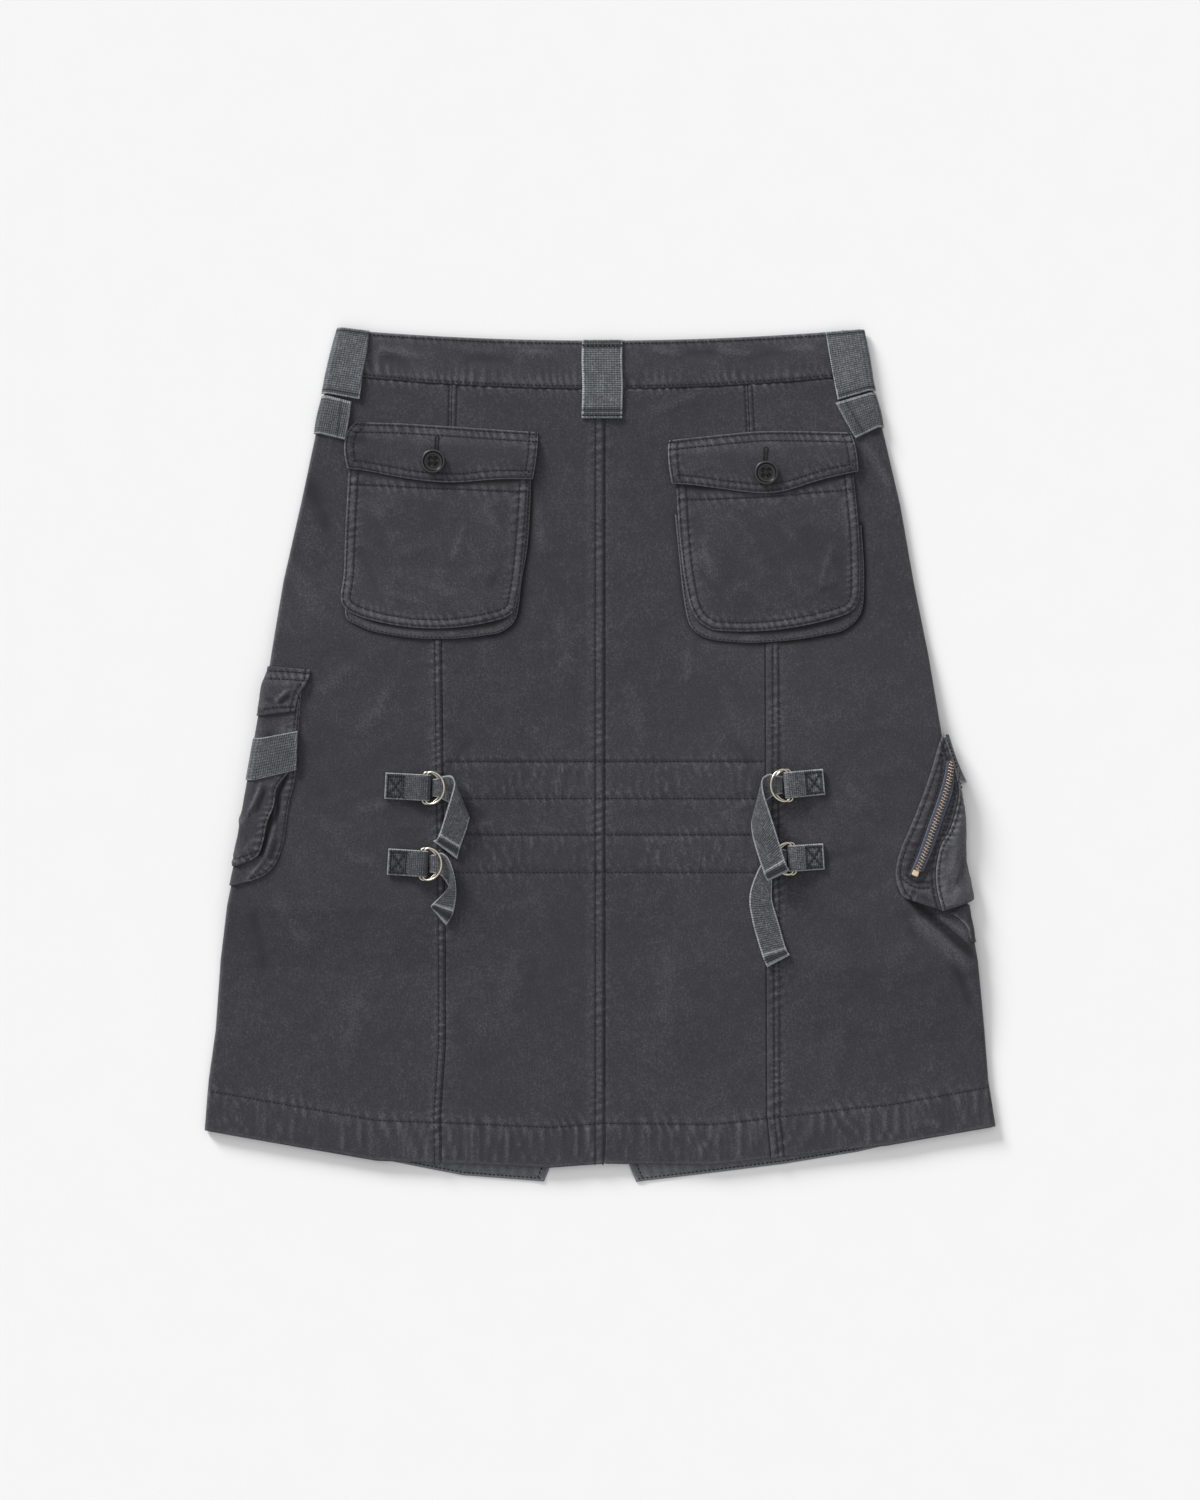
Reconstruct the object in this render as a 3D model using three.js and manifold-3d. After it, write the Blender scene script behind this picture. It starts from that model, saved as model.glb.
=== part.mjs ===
// Knee-length cargo utility skirt of washed cotton, laid flat with its back upwards.
// Millimetres: X runs across the skirt, Y from hem to waist, Z up from the table it lies on.
// Left and right are as seen from above. Each piece that is cut and sewn on is a mesh of its own.
import * as THREE from 'three';
import { mergeVertices } from 'three/addons/utils/BufferGeometryUtils.js';
import Module from 'manifold-3d';

// Driving dimensions
const CLOTH = 1.2; // wall of a single panel
const PLY = 1.0; // wall of a pocket piece
const WEBBING = 1.3; // wall of a webbing strap
const GAP = 0.3; // between pieces that meet at a seam or lie on each other
const FOLD_RADIUS = 3; // outside of the side fold, half the height of the flat skirt
const TURN = Math.PI * FOLD_RADIUS; // length of the cloth round the side fold
const TURN_STEPS = 5;
const HEM = 30.5; // depth of the hem band
const HEM_RISE = 0.4; // the hem is double cloth
const SEAM_RISE = 0.5; // a felled seam is four plies
const WAISTBAND = 34.5; // depth of the waistband
const WAIST_OUT = 0.5; // waistband cloth outside the panel's surface
const WAIST_IN = 1.7; // and inside it
const CENTRE_BACK = 3.75; // X of the centre back seam
const CENTRE_FRONT = -1.5; // X of the centre front seam, on the underside
const FELL_WIDTH = 12.5; // felled strip at the centre back seam
const PRINCESS_STRIP = { left: 6, right: 10 }; // strip beside each princess seam
const POCKETS_END = 60; // below this height the strips stand out
const UNDER_REACH = 12; // how far a side panel runs on under the fold
const GATHER_COLUMNS = 33; // columns over one half of a casing: every second one is a gather
const GATHER_HEIGHT = 1.1;
const BUTTON = { radius: 9, height: 3, rim: 1.6, dish: 1.1, eye: 1.1, spread: 2.3 };
const RING = { wire: 0.9, height: 25.5, width: 15, tilt: 3.2, steps: 16, sides: 5 };
const TAB = { width: 19.6, ply: 1.0, barLow: 2.5, barHigh: 4.6, slot: 15 };

// Where the cloth turns under at the sides
const FOLDS = [
  { y: 320, left: -195, right: 195.8 },
  { y: 281, left: -204.4, right: 202.5 },
  { y: 235, left: -214.1, right: 213.8 },
  { y: 187, left: -224.3, right: 225 },
  { y: 131, left: -237, right: 234.8 },
  { y: 75, left: -246, right: 246 },
  { y: 15, left: -255.4, right: 255.8 },
  { y: -20, left: -261.6, right: 264.5 },
  { y: -50, left: -267, right: 268.5 },
  { y: -75, left: -271.5, right: 270.5 },
  { y: -112, left: -279, right: 275.3 },
  { y: -154, left: -284.3, right: 282.8 },
  { y: -206, left: -288, right: 288 },
  { y: -244, left: -293.3, right: 291 },
  { y: -281, left: -296.2, right: 296.8 },
];

// The two princess seams of the back
const PRINCESS = [
  { y: 290, left: -110.2, right: 110 },
  { y: 240, left: -111.4, right: 112.5 },
  { y: 140, left: -116.5, right: 120.5 },
  { y: 90, left: -118.5, right: 123.8 },
  { y: -4.5, left: -117.4, right: 123.9 },
  { y: -115, left: -115.9, right: 124.2 },
  { y: -215, left: -115.6, right: 124.8 },
  { y: -270, left: -119.2, right: 125 },
  { y: -310, left: -118.5, right: 129 },
];

// Lower edges: the back hem, and the front hem that hangs below it beside the slit
const HEM_LINE = [
  { x: -297, back: -281, front: -281 },
  { x: -232, back: -292.5, front: -291 },
  { x: -167, back: -303.8, front: -302.5 },
  { x: -124, back: -305.3, front: -311 },
  { x: -103, back: -306, front: -315 },
  { x: -38, back: -309, front: -320 },
  { x: 3, back: -306, front: -320 },
  { x: 27, back: -306.3, front: -320 },
  { x: 86, back: -306.8, front: -313 },
  { x: 138, back: -300.8, front: -306.5 },
  { x: 193, back: -294.5, front: -297.5 },
  { x: 215, back: -292.5, front: -292.5 },
  { x: 297, back: -278, front: -278 },
];

// Edges of the front slit
const SLIT = [
  { y: 330, left: CENTRE_FRONT, right: CENTRE_FRONT },
  { y: -228, left: CENTRE_FRONT, right: CENTRE_FRONT },
  { y: -266, left: -17.5, right: 8 },
  { y: -308, left: -37, right: 22 },
  { y: -320, left: -42, right: 27 },
];

// The cargo pocket and the zip pocket run on under the folds and lift the side panels off the table.
// Each lift is full between top and bottom, and falls to nothing at fadeTop and fadeBottom.
const LIFTS = [
  { side: -1, fadeTop: 140, top: 90, bottom: -115, fadeBottom: -160, rise: 4.4 },
  { side: 1, fadeTop: 90, top: 20, bottom: -160, fadeBottom: -215, rise: 4.4 },
];
const LIFT_START = 56; // distance from the middle where a lift begins; it is full at the princess seam

// Stitch lines of the two gathered casings, from seam to seam over the centre back
const CASINGS = [
  { top: -4.5, bottom: -32.2 },
  { top: -59.2, bottom: -87.8 },
];

const lerp = (a, b, t) => a + (b - a) * t;
const clamp01 = (t) => Math.min(1, Math.max(0, t));
const smooth = (t) => clamp01(t) ** 2 * (3 - 2 * clamp01(t));
const range = (count) => Array.from({ length: count }, (_, k) => k);
const sideName = (side) => (side < 0 ? 'left' : 'right');

// Value of a table's column where its key column has the given value, on straight lines between rows
function read(table, key, at, column) {
  const rising = table[0][key] < table[table.length - 1][key];
  const rows = rising ? table : [...table].reverse();
  let k = 0;
  while (k < rows.length - 2 && at > rows[k + 1][key]) k += 1;
  const t = clamp01((at - rows[k][key]) / (rows[k + 1][key] - rows[k][key]));
  return lerp(rows[k][column], rows[k + 1][column], t);
}

const foldX = (side, y) => read(FOLDS, 'y', y, sideName(side));
const tangentX = (side, y) => foldX(side, y) - side * FOLD_RADIUS;
const princessX = (side, y) => read(PRINCESS, 'y', y, sideName(side));
const hemY = (x) => read(HEM_LINE, 'x', x, 'back');
const frontHemY = (x) => read(HEM_LINE, 'x', x, 'front');
const bandSeamY = (x) => 274 + 0.000274 * x * x; // seam under the back waistband
const bandTopY = (x) => 310.3 + 0.00022 * x * x;
const frontSeamY = (x) => 264 + 0.00052 * x * x; // the front waist dips lower

// Height of the front's lower face over the table
function underside(x, y) {
  let z = 0;
  for (const { side, fadeTop, top, bottom, fadeBottom, rise } of LIFTS) {
    const across = clamp01((side * x - LIFT_START) / (side * princessX(side, y) - LIFT_START));
    const above = clamp01((fadeTop - y) / (fadeTop - top));
    const below = clamp01((y - fadeBottom) / (bottom - fadeBottom));
    z += rise * across * above * below;
  }
  return z;
}

// Height of the back's upper face: the flat stack, with slow waves that die out towards the folds
function backTop(x, y) {
  const inside = Math.min(x - foldX(-1, y), foldX(1, y) - x);
  const wave = Math.sin(x / 31 + 0.4) * Math.cos(y / 74 + 0.9) + 0.6 * Math.sin(x / 47 - y / 58);
  return underside(x, y) + 2 * FOLD_RADIUS + 0.2 * wave * smooth((inside - FOLD_RADIUS) / 45);
}

const overBack = (x, y, lift) => new THREE.Vector3(x, y, backTop(x, y) + lift);

// A point over the skin near a side fold. inward is the length along the cloth from the line where the
// fold begins, negative round the fold and on under it; lift is the height over the skin.
function skinPoint(side, inward, y, lift) {
  const x0 = tangentX(side, y);
  if (inward >= 0) return overBack(x0 - side * inward, y, lift);
  if (inward > -TURN) {
    const angle = -inward / FOLD_RADIUS;
    const radius = FOLD_RADIUS + lift;
    const middle = underside(x0, y) + FOLD_RADIUS;
    return new THREE.Vector3(x0 + side * radius * Math.sin(angle), y, middle + radius * Math.cos(angle));
  }
  const x = x0 + side * (inward + TURN);
  return new THREE.Vector3(x, y, underside(x, y) - lift);
}

// A closed wall between two grids of points. The inner face and the rims use only the kept rows and
// columns of the inner grid, so fine relief stands on a plain inside.
function closedWall(outer, inner, keptRows, keptColumns) {
  const rows = outer.length;
  const columns = outer[0].length;
  const innerRows = keptRows ?? range(rows);
  const innerColumns = keptColumns ?? range(columns);
  const points = outer.flat().slice();
  const innerStart = points.length;
  for (const j of innerRows) for (const i of innerColumns) points.push(inner[j][i]);
  const out = (j, i) => j * columns + i;
  const inn = (row, column) => innerStart + row * innerColumns.length + column;
  const faces = [];
  for (let j = 0; j < rows - 1; j += 1) {
    for (let i = 0; i < columns - 1; i += 1) {
      faces.push([out(j, i), out(j + 1, i), out(j + 1, i + 1)]);
      faces.push([out(j, i), out(j + 1, i + 1), out(j, i + 1)]);
    }
  }
  for (let j = 0; j < innerRows.length - 1; j += 1) {
    for (let i = 0; i < innerColumns.length - 1; i += 1) {
      faces.push([inn(j, i), inn(j + 1, i + 1), inn(j + 1, i)]);
      faces.push([inn(j, i), inn(j, i + 1), inn(j + 1, i + 1)]);
    }
  }
  const rim = (kept, outerAt, innerAt, backwards) => {
    for (let k = 0; k < kept.length - 1; k += 1) {
      for (let m = kept[k]; m < kept[k + 1]; m += 1) {
        faces.push([outerAt(m), outerAt(m + 1), innerAt(k)]);
        if (backwards) faces[faces.length - 1].reverse();
      }
      faces.push([innerAt(k), outerAt(kept[k + 1]), innerAt(k + 1)]);
      if (backwards) faces[faces.length - 1].reverse();
    }
  };
  const lastRow = innerRows.length - 1;
  const lastColumn = innerColumns.length - 1;
  rim(innerColumns, (m) => out(0, m), (k) => inn(0, k), false);
  rim(innerColumns, (m) => out(rows - 1, m), (k) => inn(lastRow, k), true);
  rim(innerRows, (m) => out(m, 0), (k) => inn(k, 0), true);
  rim(innerRows, (m) => out(m, columns - 1), (k) => inn(k, lastColumn), false);
  return closedGeometry(points, faces);
}

// Geometry from points and triangles, turned so that its faces point out
function closedGeometry(points, faces) {
  let volume = 0;
  for (const [a, b, c] of faces) volume += points[a].dot(points[b].clone().cross(points[c]));
  const triangles = volume < 0 ? faces.map(([a, b, c]) => [a, c, b]) : faces;
  const geometry = new THREE.BufferGeometry().setFromPoints(points);
  geometry.setIndex(triangles.flat());
  geometry.computeVertexNormals();
  return geometry;
}

const MATERIALS = {
  cloth: { color: 0x3f3e43, roughness: 0.9, metalness: 0 },
  waistband: { color: 0x454449, roughness: 0.9, metalness: 0 },
  webbing: { color: 0x52535a, roughness: 0.85, metalness: 0 },
  tape: { color: 0x505564, roughness: 0.8, metalness: 0 },
  brass: { color: 0xc8a06e, roughness: 0.35, metalness: 1 },
  ring: { color: 0xb8ae98, roughness: 0.3, metalness: 1 },
  button: { color: 0x363638, roughness: 0.5, metalness: 0 },
};

const skirt = new THREE.Group();

function add(name, geometry, finish) {
  const mesh = new THREE.Mesh(geometry, new THREE.MeshStandardMaterial(MATERIALS[finish]));
  mesh.name = name;
  skirt.add(mesh);
  return mesh;
}

// Panels. A row is a function from X to Y; a column is one from Y to X, or a place round a fold.
const column = (x) => ({ x });
const wrapColumn = (side, inward) => ({ side, inward, x: (y) => foldX(side, y) });

function gridPoint(row, col) {
  let y = row(0);
  for (let turn = 0; turn < 4; turn += 1) y = row(col.x(y));
  return { x: col.x(y), y };
}

const LEVELS_ABOVE = [240, 190, 140, 90, 50, 20, 2];
const LEVELS_BELOW = [-115, -160, -215];
const GATHER_MARGIN = 4.5; // height over which a gather rises inside its stitch line
const casingLevels = ({ top, bottom }) => [
  top,
  top - GATHER_MARGIN,
  (top + bottom) / 2,
  bottom + GATHER_MARGIN,
  bottom,
];
const BETWEEN_CASINGS = (CASINGS[0].bottom + CASINGS[1].top) / 2;
const BELOW_CASINGS = CASINGS[1].bottom - 8;

const levels = [
  ...LEVELS_ABOVE,
  ...casingLevels(CASINGS[0]),
  BETWEEN_CASINGS,
  ...casingLevels(CASINGS[1]),
  BELOW_CASINGS,
  ...LEVELS_BELOW,
];
const levelRows = levels.map((y) => () => y);

const backRows = [
  (x) => bandSeamY(x) - GAP / 2,
  ...levelRows,
  (x) => hemY(x) + HEM + 0.8,
  (x) => hemY(x) + HEM,
  hemY,
];
const HEM_ROW = backRows.length - 2; // from this row down the cloth is double

// The inner face leaves out the rows that only shape the gathers. It keeps every row where a lift
// bends, so that the wall stays one thickness there.
const gatherLevels = CASINGS.flatMap(({ top, bottom }) => [top - GATHER_MARGIN, bottom + GATHER_MARGIN]);
const KEPT_ROWS = range(backRows.length).filter((k) => !gatherLevels.includes(levels[k - 1]));

// How full a gathered casing stands at a height: full between its stitch lines, a little outside them
function casingFullness(y) {
  for (const { top, bottom } of CASINGS) {
    if (y < top - 1 && y > bottom + 1) return 1;
    if (y <= top + 0.1 && y >= bottom - 0.1) return 0;
  }
  const near = Math.min(...CASINGS.flatMap(({ top, bottom }) => [Math.abs(y - top), Math.abs(y - bottom)]));
  return 0.3 * smooth(1 - near / 16);
}

// relief(rowIndex, columnIndex, x, y) is what stands over the plain surface
function backPanel(name, columns, relief, keptColumns) {
  const outer = [];
  const inner = [];
  backRows.forEach((row, j) => {
    outer.push([]);
    inner.push([]);
    columns.forEach((col, i) => {
      const { x, y } = gridPoint(row, col);
      const rise = relief(j, i, x, y) + (j >= HEM_ROW ? HEM_RISE : 0);
      if (col.inward === undefined) {
        const z = backTop(x, y);
        outer[j].push(new THREE.Vector3(x, y, z + rise));
        inner[j].push(new THREE.Vector3(x, y, z - CLOTH));
      } else {
        const lift = col.inward > -TURN ? 0 : -0.01;
        outer[j].push(skinPoint(col.side, col.inward, y, lift));
        inner[j].push(skinPoint(col.side, col.inward, y, -CLOTH));
      }
    });
  });
  add(name, closedWall(outer, inner, KEPT_ROWS, keptColumns), 'cloth');
}

// Two centre panels, gathered between the stitch lines of the casings
function centrePanel(name, side, from, to, stripStart) {
  const fractions = range(GATHER_COLUMNS).map((k) => (k * (stripStart ?? 1)) / (GATHER_COLUMNS - 1));
  if (stripStart) fractions.push(stripStart + 0.008, (stripStart + 1) / 2, 1);
  const columns = fractions.map((f) => column((y) => lerp(from(y), to(y), f)));
  const relief = (j, i, x, y) => {
    const onStrip = i >= GATHER_COLUMNS;
    const uneven = 0.72 + 0.28 * Math.sin(i * 2.7 + side);
    const gather = onStrip || i === 0 ? 0.3 : (i % 2) * uneven;
    return GATHER_HEIGHT * casingFullness(y) * (0.25 + 0.75 * gather) + (onStrip ? SEAM_RISE : 0);
  };
  const last = columns.length - 1;
  const kept = range(columns.length).filter((k) => k % 4 === 0 || k === last);
  backPanel(name, columns, relief, kept);
}

const fellStart = 1 - FELL_WIDTH / (CENTRE_BACK + 117);
centrePanel(
  'back_center_left',
  -1,
  (y) => princessX(-1, y) + GAP / 2,
  () => CENTRE_BACK - GAP / 2,
  fellStart,
);
centrePanel(
  'back_center_right',
  1,
  () => CENTRE_BACK + GAP / 2,
  (y) => princessX(1, y) - GAP / 2,
);

// Two side panels, which turn round the fold and end on the underside
const turnStops = range(TURN_STEPS + 1).map((k) => (-TURN * k) / TURN_STEPS);

function sidePanel(side) {
  const strip = PRINCESS_STRIP[sideName(side)];
  const start = (y) => princessX(side, y) + (side * GAP) / 2;
  const offsets = [0, strip, strip + 0.8].map((d) => column((y) => start(y) + side * d));
  const stretch = [0.15, 0.35, 0.55, 0.75, 0.9].map((f) =>
    column((y) => lerp(start(y) + side * strip, tangentX(side, y), f)),
  );
  const wraps = [...turnStops, -TURN - UNDER_REACH].map((inward) => wrapColumn(side, inward));
  const relief = (j, i, x, y) => (i < 2 && y < POCKETS_END ? SEAM_RISE : 0);
  const kept = range(3 + stretch.length + wraps.length).filter((k) => k !== 1 && k !== 2);
  backPanel(`back_side_${sideName(side)}`, [...offsets, ...stretch, ...wraps], relief, kept);
}
sidePanel(-1);
sidePanel(1);

// Two front panels, flat on the table, parted by the slit
function frontPanel(side) {
  const rows = [
    (x) => frontSeamY(x) - GAP / 2,
    ...levelRows,
    (x) => frontHemY(x) + HEM + 0.8,
    (x) => frontHemY(x) + HEM,
    frontHemY,
  ];
  const inside = (y) => read(SLIT, 'y', y, sideName(side)) + (side * GAP) / 2;
  const outside = (y) => tangentX(side, y) - side * (UNDER_REACH + GAP);
  const seam = (y) => princessX(side, y);
  const columns = [
    column(inside),
    column(() => side * LIFT_START),
    ...[0.5, 1].map((f) => column((y) => lerp(side * LIFT_START, seam(y), f))),
    ...[0.35, 0.7, 1].map((f) => column((y) => lerp(seam(y), outside(y), f))),
  ];
  const outer = rows.map((row) =>
    columns.map((col) => {
      const { x, y } = gridPoint(row, col);
      return new THREE.Vector3(x, y, underside(x, y));
    }),
  );
  const inner = outer.map((line) => line.map((p) => new THREE.Vector3(p.x, p.y, p.z + CLOTH)));
  add(`front_${sideName(side)}`, closedWall(outer, inner, KEPT_ROWS), 'cloth');
}
frontPanel(-1);
frontPanel(1);

// Waistband: one back piece from fold to fold, and two front pieces that meet at the centre front
function backWaistband() {
  const wraps = [-TURN - UNDER_REACH, ...turnStops.slice().reverse()];
  const stations = [
    ...wraps.map((inward) => wrapColumn(-1, inward)),
    ...range(11).map((k) => column((y) => lerp(tangentX(-1, y), tangentX(1, y), (k + 1) / 12))),
    ...wraps.slice().reverse().map((inward) => wrapColumn(1, inward)),
  ];
  const rows = [bandTopY, (x) => lerp(bandTopY(x), bandSeamY(x), 0.5), (x) => bandSeamY(x) + GAP / 2];
  const face = (lift) =>
    rows.map((row) =>
      stations.map((col) => {
        const { x, y } = gridPoint(row, col);
        if (col.inward === undefined) return overBack(x, y, lift);
        const share = lift > 0 ? 1 - clamp01(-col.inward / TURN) : 1; // flush on the underside
        return skinPoint(col.side, col.inward, y, lift * share);
      }),
    );
  add('waistband_back', closedWall(face(WAIST_OUT), face(-WAIST_IN)), 'waistband');
}
backWaistband();

function frontWaistband(side) {
  const inside = () => CENTRE_FRONT + (side * GAP) / 2;
  const outside = (y) => tangentX(side, y) - side * (UNDER_REACH + GAP);
  const columns = [0, 0.25, 0.5, 0.75, 1].map((f) => column((y) => lerp(inside(y), outside(y), f)));
  const rows = [(x) => frontSeamY(x) + WAISTBAND, (x) => frontSeamY(x) + GAP / 2];
  const face = (rise) =>
    rows.map((row) =>
      columns.map((col) => {
        const { x, y } = gridPoint(row, col);
        return new THREE.Vector3(x, y, underside(x, y) + rise);
      }),
    );
  add(`waistband_front_${sideName(side)}`, closedWall(face(0), face(WAIST_IN)), 'waistband');
}
frontWaistband(-1);
frontWaistband(1);

// Belt loop at the centre back: a strip of webbing that stands off the waistband between its ends
function backLoop() {
  const span = { left: -13.5, right: 16.9 };
  const profile = [
    { y: 310.8, lift: 0.85 },
    { y: 306, lift: 1.4 },
    { y: 292, lift: 1.9 },
    { y: 276, lift: 1.9 },
    { y: 263, lift: 1.4 },
    { y: 256, lift: 0.85 },
    { y: 252, lift: 0.85 },
  ];
  const face = (rise) =>
    profile.map(({ y, lift }) =>
      [0, 0.33, 0.67, 1].map((f) => {
        const x = lerp(span.left, span.right, f);
        return overBack(x, y, lift + rise);
      }),
    );
  add('belt_loop_back', closedWall(face(WEBBING), face(0)), 'webbing');
}
backLoop();

// A piece laid over the skin round a side fold. Each row gives the piece's visible edge (x, y), its
// height on the fold line (foldY), its lift over the skin and how far it runs on underneath. With
// under 0 it ends on the fold, at the share of the turn that endTurn gives.
function wrappedPiece(name, side, rows, thickness, finish, flatSteps, underSteps, endTurn = 1) {
  const face = (rise) =>
    rows.map(({ x, y, foldY, lift, under }) => {
      const reach = Math.abs(tangentX(side, y) - x);
      const places = [
        ...range(flatSteps).map((k) => lerp(reach, 0, k / flatSteps)),
        ...turnStops.map((inward) => inward * endTurn),
        ...range(underSteps).map((k) => -TURN - (under * (k + 1)) / underSteps),
      ];
      return places.map((inward) => {
        const height = inward > 0 ? lerp(foldY, y, inward / reach) : foldY;
        return skinPoint(side, inward, height, lift + rise);
      });
    });
  add(name, closedWall(face(thickness), face(0)), finish);
}

// Side belt loops, and the side bands sewn below them: both end on the fold, at the side seam
const LOOP_TURN = 0.55;
const BAND_TURN = 0.68;
const loopRows = {
  left: [
    { x: -172.5, y: 317.5, foldY: 320, lift: 0.85 },
    { x: -174.2, y: 302, foldY: 305, lift: 1.5 },
    { x: -177.5, y: 285, foldY: 288, lift: 1.5 },
    { x: -180, y: 266.2, foldY: 270.5, lift: 0.9 },
  ],
  right: [
    { x: 168.8, y: 316.5, foldY: 318.5, lift: 0.85 },
    { x: 171.5, y: 300, foldY: 304, lift: 1.5 },
    { x: 174.6, y: 283, foldY: 289, lift: 1.5 },
    { x: 177.8, y: 265.8, foldY: 272.8, lift: 0.9 },
  ],
};
const bandRows = {
  left: [
    { x: -186, y: 264.4, foldY: 269, lift: GAP },
    { x: -188, y: 250, foldY: 253, lift: 1 },
    { x: -190, y: 235.6, foldY: 240.5, lift: GAP },
  ],
  right: [
    { x: 176.2, y: 263.6, foldY: 271.2, lift: GAP },
    { x: 183.5, y: 250, foldY: 258, lift: 1 },
    { x: 191.2, y: 237, foldY: 245.2, lift: GAP },
  ],
};
for (const side of [-1, 1]) {
  const where = sideName(side);
  wrappedPiece(`belt_loop_${where}`, side, loopRows[where], WEBBING, 'webbing', 3, 0, LOOP_TURN);
  wrappedPiece(`side_band_${where}`, side, bandRows[where], WEBBING, 'webbing', 3, 0, BAND_TURN);
}

// Patch pockets with a bellows gusset, a flap and a button. A row runs from a left to a right point.
const POCKETS = {
  left: {
    body: [
      { lx: -186.8, ly: 227.2, rx: -52.5, ry: 219.8, sag: 0, puff: 0 },
      { lx: -187.9, ly: 214.5, rx: -53.2, ry: 204, sag: 0, puff: 0 },
      { lx: -190.5, ly: 168.8, rx: -55.5, ry: 168.8, sag: 0, puff: 1 },
      { lx: -191.6, ly: 136.5, rx: -58.5, ry: 136.5, sag: 0, puff: 1 },
      { lx: -193.8, ly: 120, rx: -61.5, ry: 117, sag: 1, puff: 0.8 },
      { lx: -192.6, ly: 112.5, rx: -63.5, ry: 109.5, sag: 3, puff: 0.5 },
      { lx: -187.5, ly: 107.2, rx: -67.2, ry: 105, sag: 6, puff: 0.2 },
      { lx: -178.5, ly: 103.1, rx: -73, ry: 102, sag: 8, puff: 0 },
    ],
    gusset: [
      { ox: -190.5, oy: 115, ix: -180, iy: 120 },
      { ox: -189.5, oy: 102.5, ix: -178, iy: 112 },
      { ox: -179, oy: 96, ix: -172, iy: 108 },
      { ox: -165.8, oy: 91.5, ix: -160, iy: 104 },
      { ox: -136.5, oy: 87.2, ix: -135, iy: 101 },
      { ox: -118.5, oy: 87, ix: -118.5, iy: 101 },
      { ox: -106.5, oy: 87.2, ix: -108, iy: 101 },
      { ox: -86, oy: 89.5, ix: -90, iy: 102 },
      { ox: -73.1, oy: 92.5, ix: -80, iy: 104 },
      { ox: -62.6, oy: 103.1, ix: -74, iy: 110 },
      { ox: -58.5, oy: 131.2, ix: -70, iy: 132 },
      { ox: -54, oy: 158, ix: -66, iy: 158 },
      { ox: -52, oy: 190, ix: -64, iy: 190 },
      { ox: -51.5, oy: 212, ix: -62, iy: 212 },
    ],
    flap: [
      { tx: -183, ty: 249, mx: -190.8, my: 236, bx: -189, by: 214.5 },
      { tx: -150.8, ty: 248.2, mx: -155, my: 231, bx: -156, by: 209.2 },
      { tx: -121, ty: 246.4, mx: -122, my: 228, bx: -122.6, by: 204 },
      { tx: -81, ty: 243.8, mx: -84, my: 227, bx: -86.2, by: 205.5 },
      { tx: -46.5, ty: 241.5, mx: -47.2, my: 226, bx: -50.2, by: 206.6 },
    ],
    button: { x: -124.7, y: 219.5 },
  },
  right: {
    body: [
      { lx: 56.2, ly: 213.8, rx: 189, ry: 221.2, sag: 0, puff: 0 },
      { lx: 57, ly: 201.8, rx: 189.8, ry: 208.5, sag: 0, puff: 0 },
      { lx: 59, ly: 168.4, rx: 193.2, ry: 174, sag: 0, puff: 1 },
      { lx: 62, ly: 139, rx: 194.7, ry: 142, sag: 0, puff: 1 },
      { lx: 66.5, ly: 115, rx: 194.4, ry: 124, sag: 1, puff: 0.8 },
      { lx: 69.5, ly: 107, rx: 192.8, ry: 114, sag: 3, puff: 0.5 },
      { lx: 74.5, ly: 99.5, rx: 188, ry: 107.5, sag: 5, puff: 0.2 },
      { lx: 84, ly: 93.5, rx: 180.8, ry: 104, sag: 5, puff: 0 },
    ],
    gusset: [
      { ox: 56, oy: 180, ix: 68, iy: 180 },
      { ox: 59, oy: 150, ix: 71, iy: 150 },
      { ox: 62.2, oy: 120, ix: 75, iy: 122 },
      { ox: 67.5, oy: 96.8, ix: 79, iy: 107 },
      { ox: 80, oy: 87.4, ix: 88, iy: 101 },
      { ox: 98, oy: 84.8, ix: 102, iy: 99 },
      { ox: 117.8, oy: 84, ix: 119, iy: 98.5 },
      { ox: 147, oy: 86.4, ix: 145, iy: 100 },
      { ox: 168, oy: 90, ix: 163, iy: 104 },
      { ox: 183, oy: 93.8, ix: 175, iy: 108 },
      { ox: 195.6, oy: 107.2, ix: 183, iy: 114 },
      { ox: 197.6, oy: 136.5, ix: 185, iy: 138 },
      { ox: 195.6, oy: 172, ix: 184, iy: 172 },
    ],
    flap: [
      { tx: 51.8, ty: 235.5, mx: 51, my: 222, bx: 53.7, by: 203.2 },
      { tx: 86.2, ty: 239.2, mx: 88, my: 222, bx: 90, by: 199.5 },
      { tx: 120, ty: 242.2, mx: 124, my: 223, bx: 126, by: 195.6 },
      { tx: 155, ty: 242.2, mx: 158, my: 227, bx: 159, by: 204 },
      { tx: 187.6, ty: 241.3, mx: 191.2, my: 229.5, bx: 193.2, by: 212.6 },
    ],
    button: { x: 124.2, y: 210.9 },
  },
};
const BODY_LIFT = 2 * GAP + PLY + 0.15; // the body lies on the gusset
const BODY_PUFF = 1.5;
const FLAP_LIFT = BODY_LIFT + PLY + GAP + 0.4; // the flap hangs over the body's mouth

function pocketBody(name, rows) {
  const columns = [0, 0.06, 0.2, 0.4, 0.6, 0.8, 0.94, 1];
  const face = (rise) =>
    rows.map(({ lx, ly, rx, ry, sag, puff }) =>
      columns.map((f) => {
        const x = lerp(lx, rx, f);
        const y = lerp(ly, ry, f) - sag * 4 * f * (1 - f);
        const fullness = BODY_PUFF * puff * smooth(5 * f) * smooth(5 * (1 - f));
        return overBack(x, y, BODY_LIFT + fullness + rise);
      }),
    );
  add(name, closedWall(face(PLY), face(0)), 'cloth');
}

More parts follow.
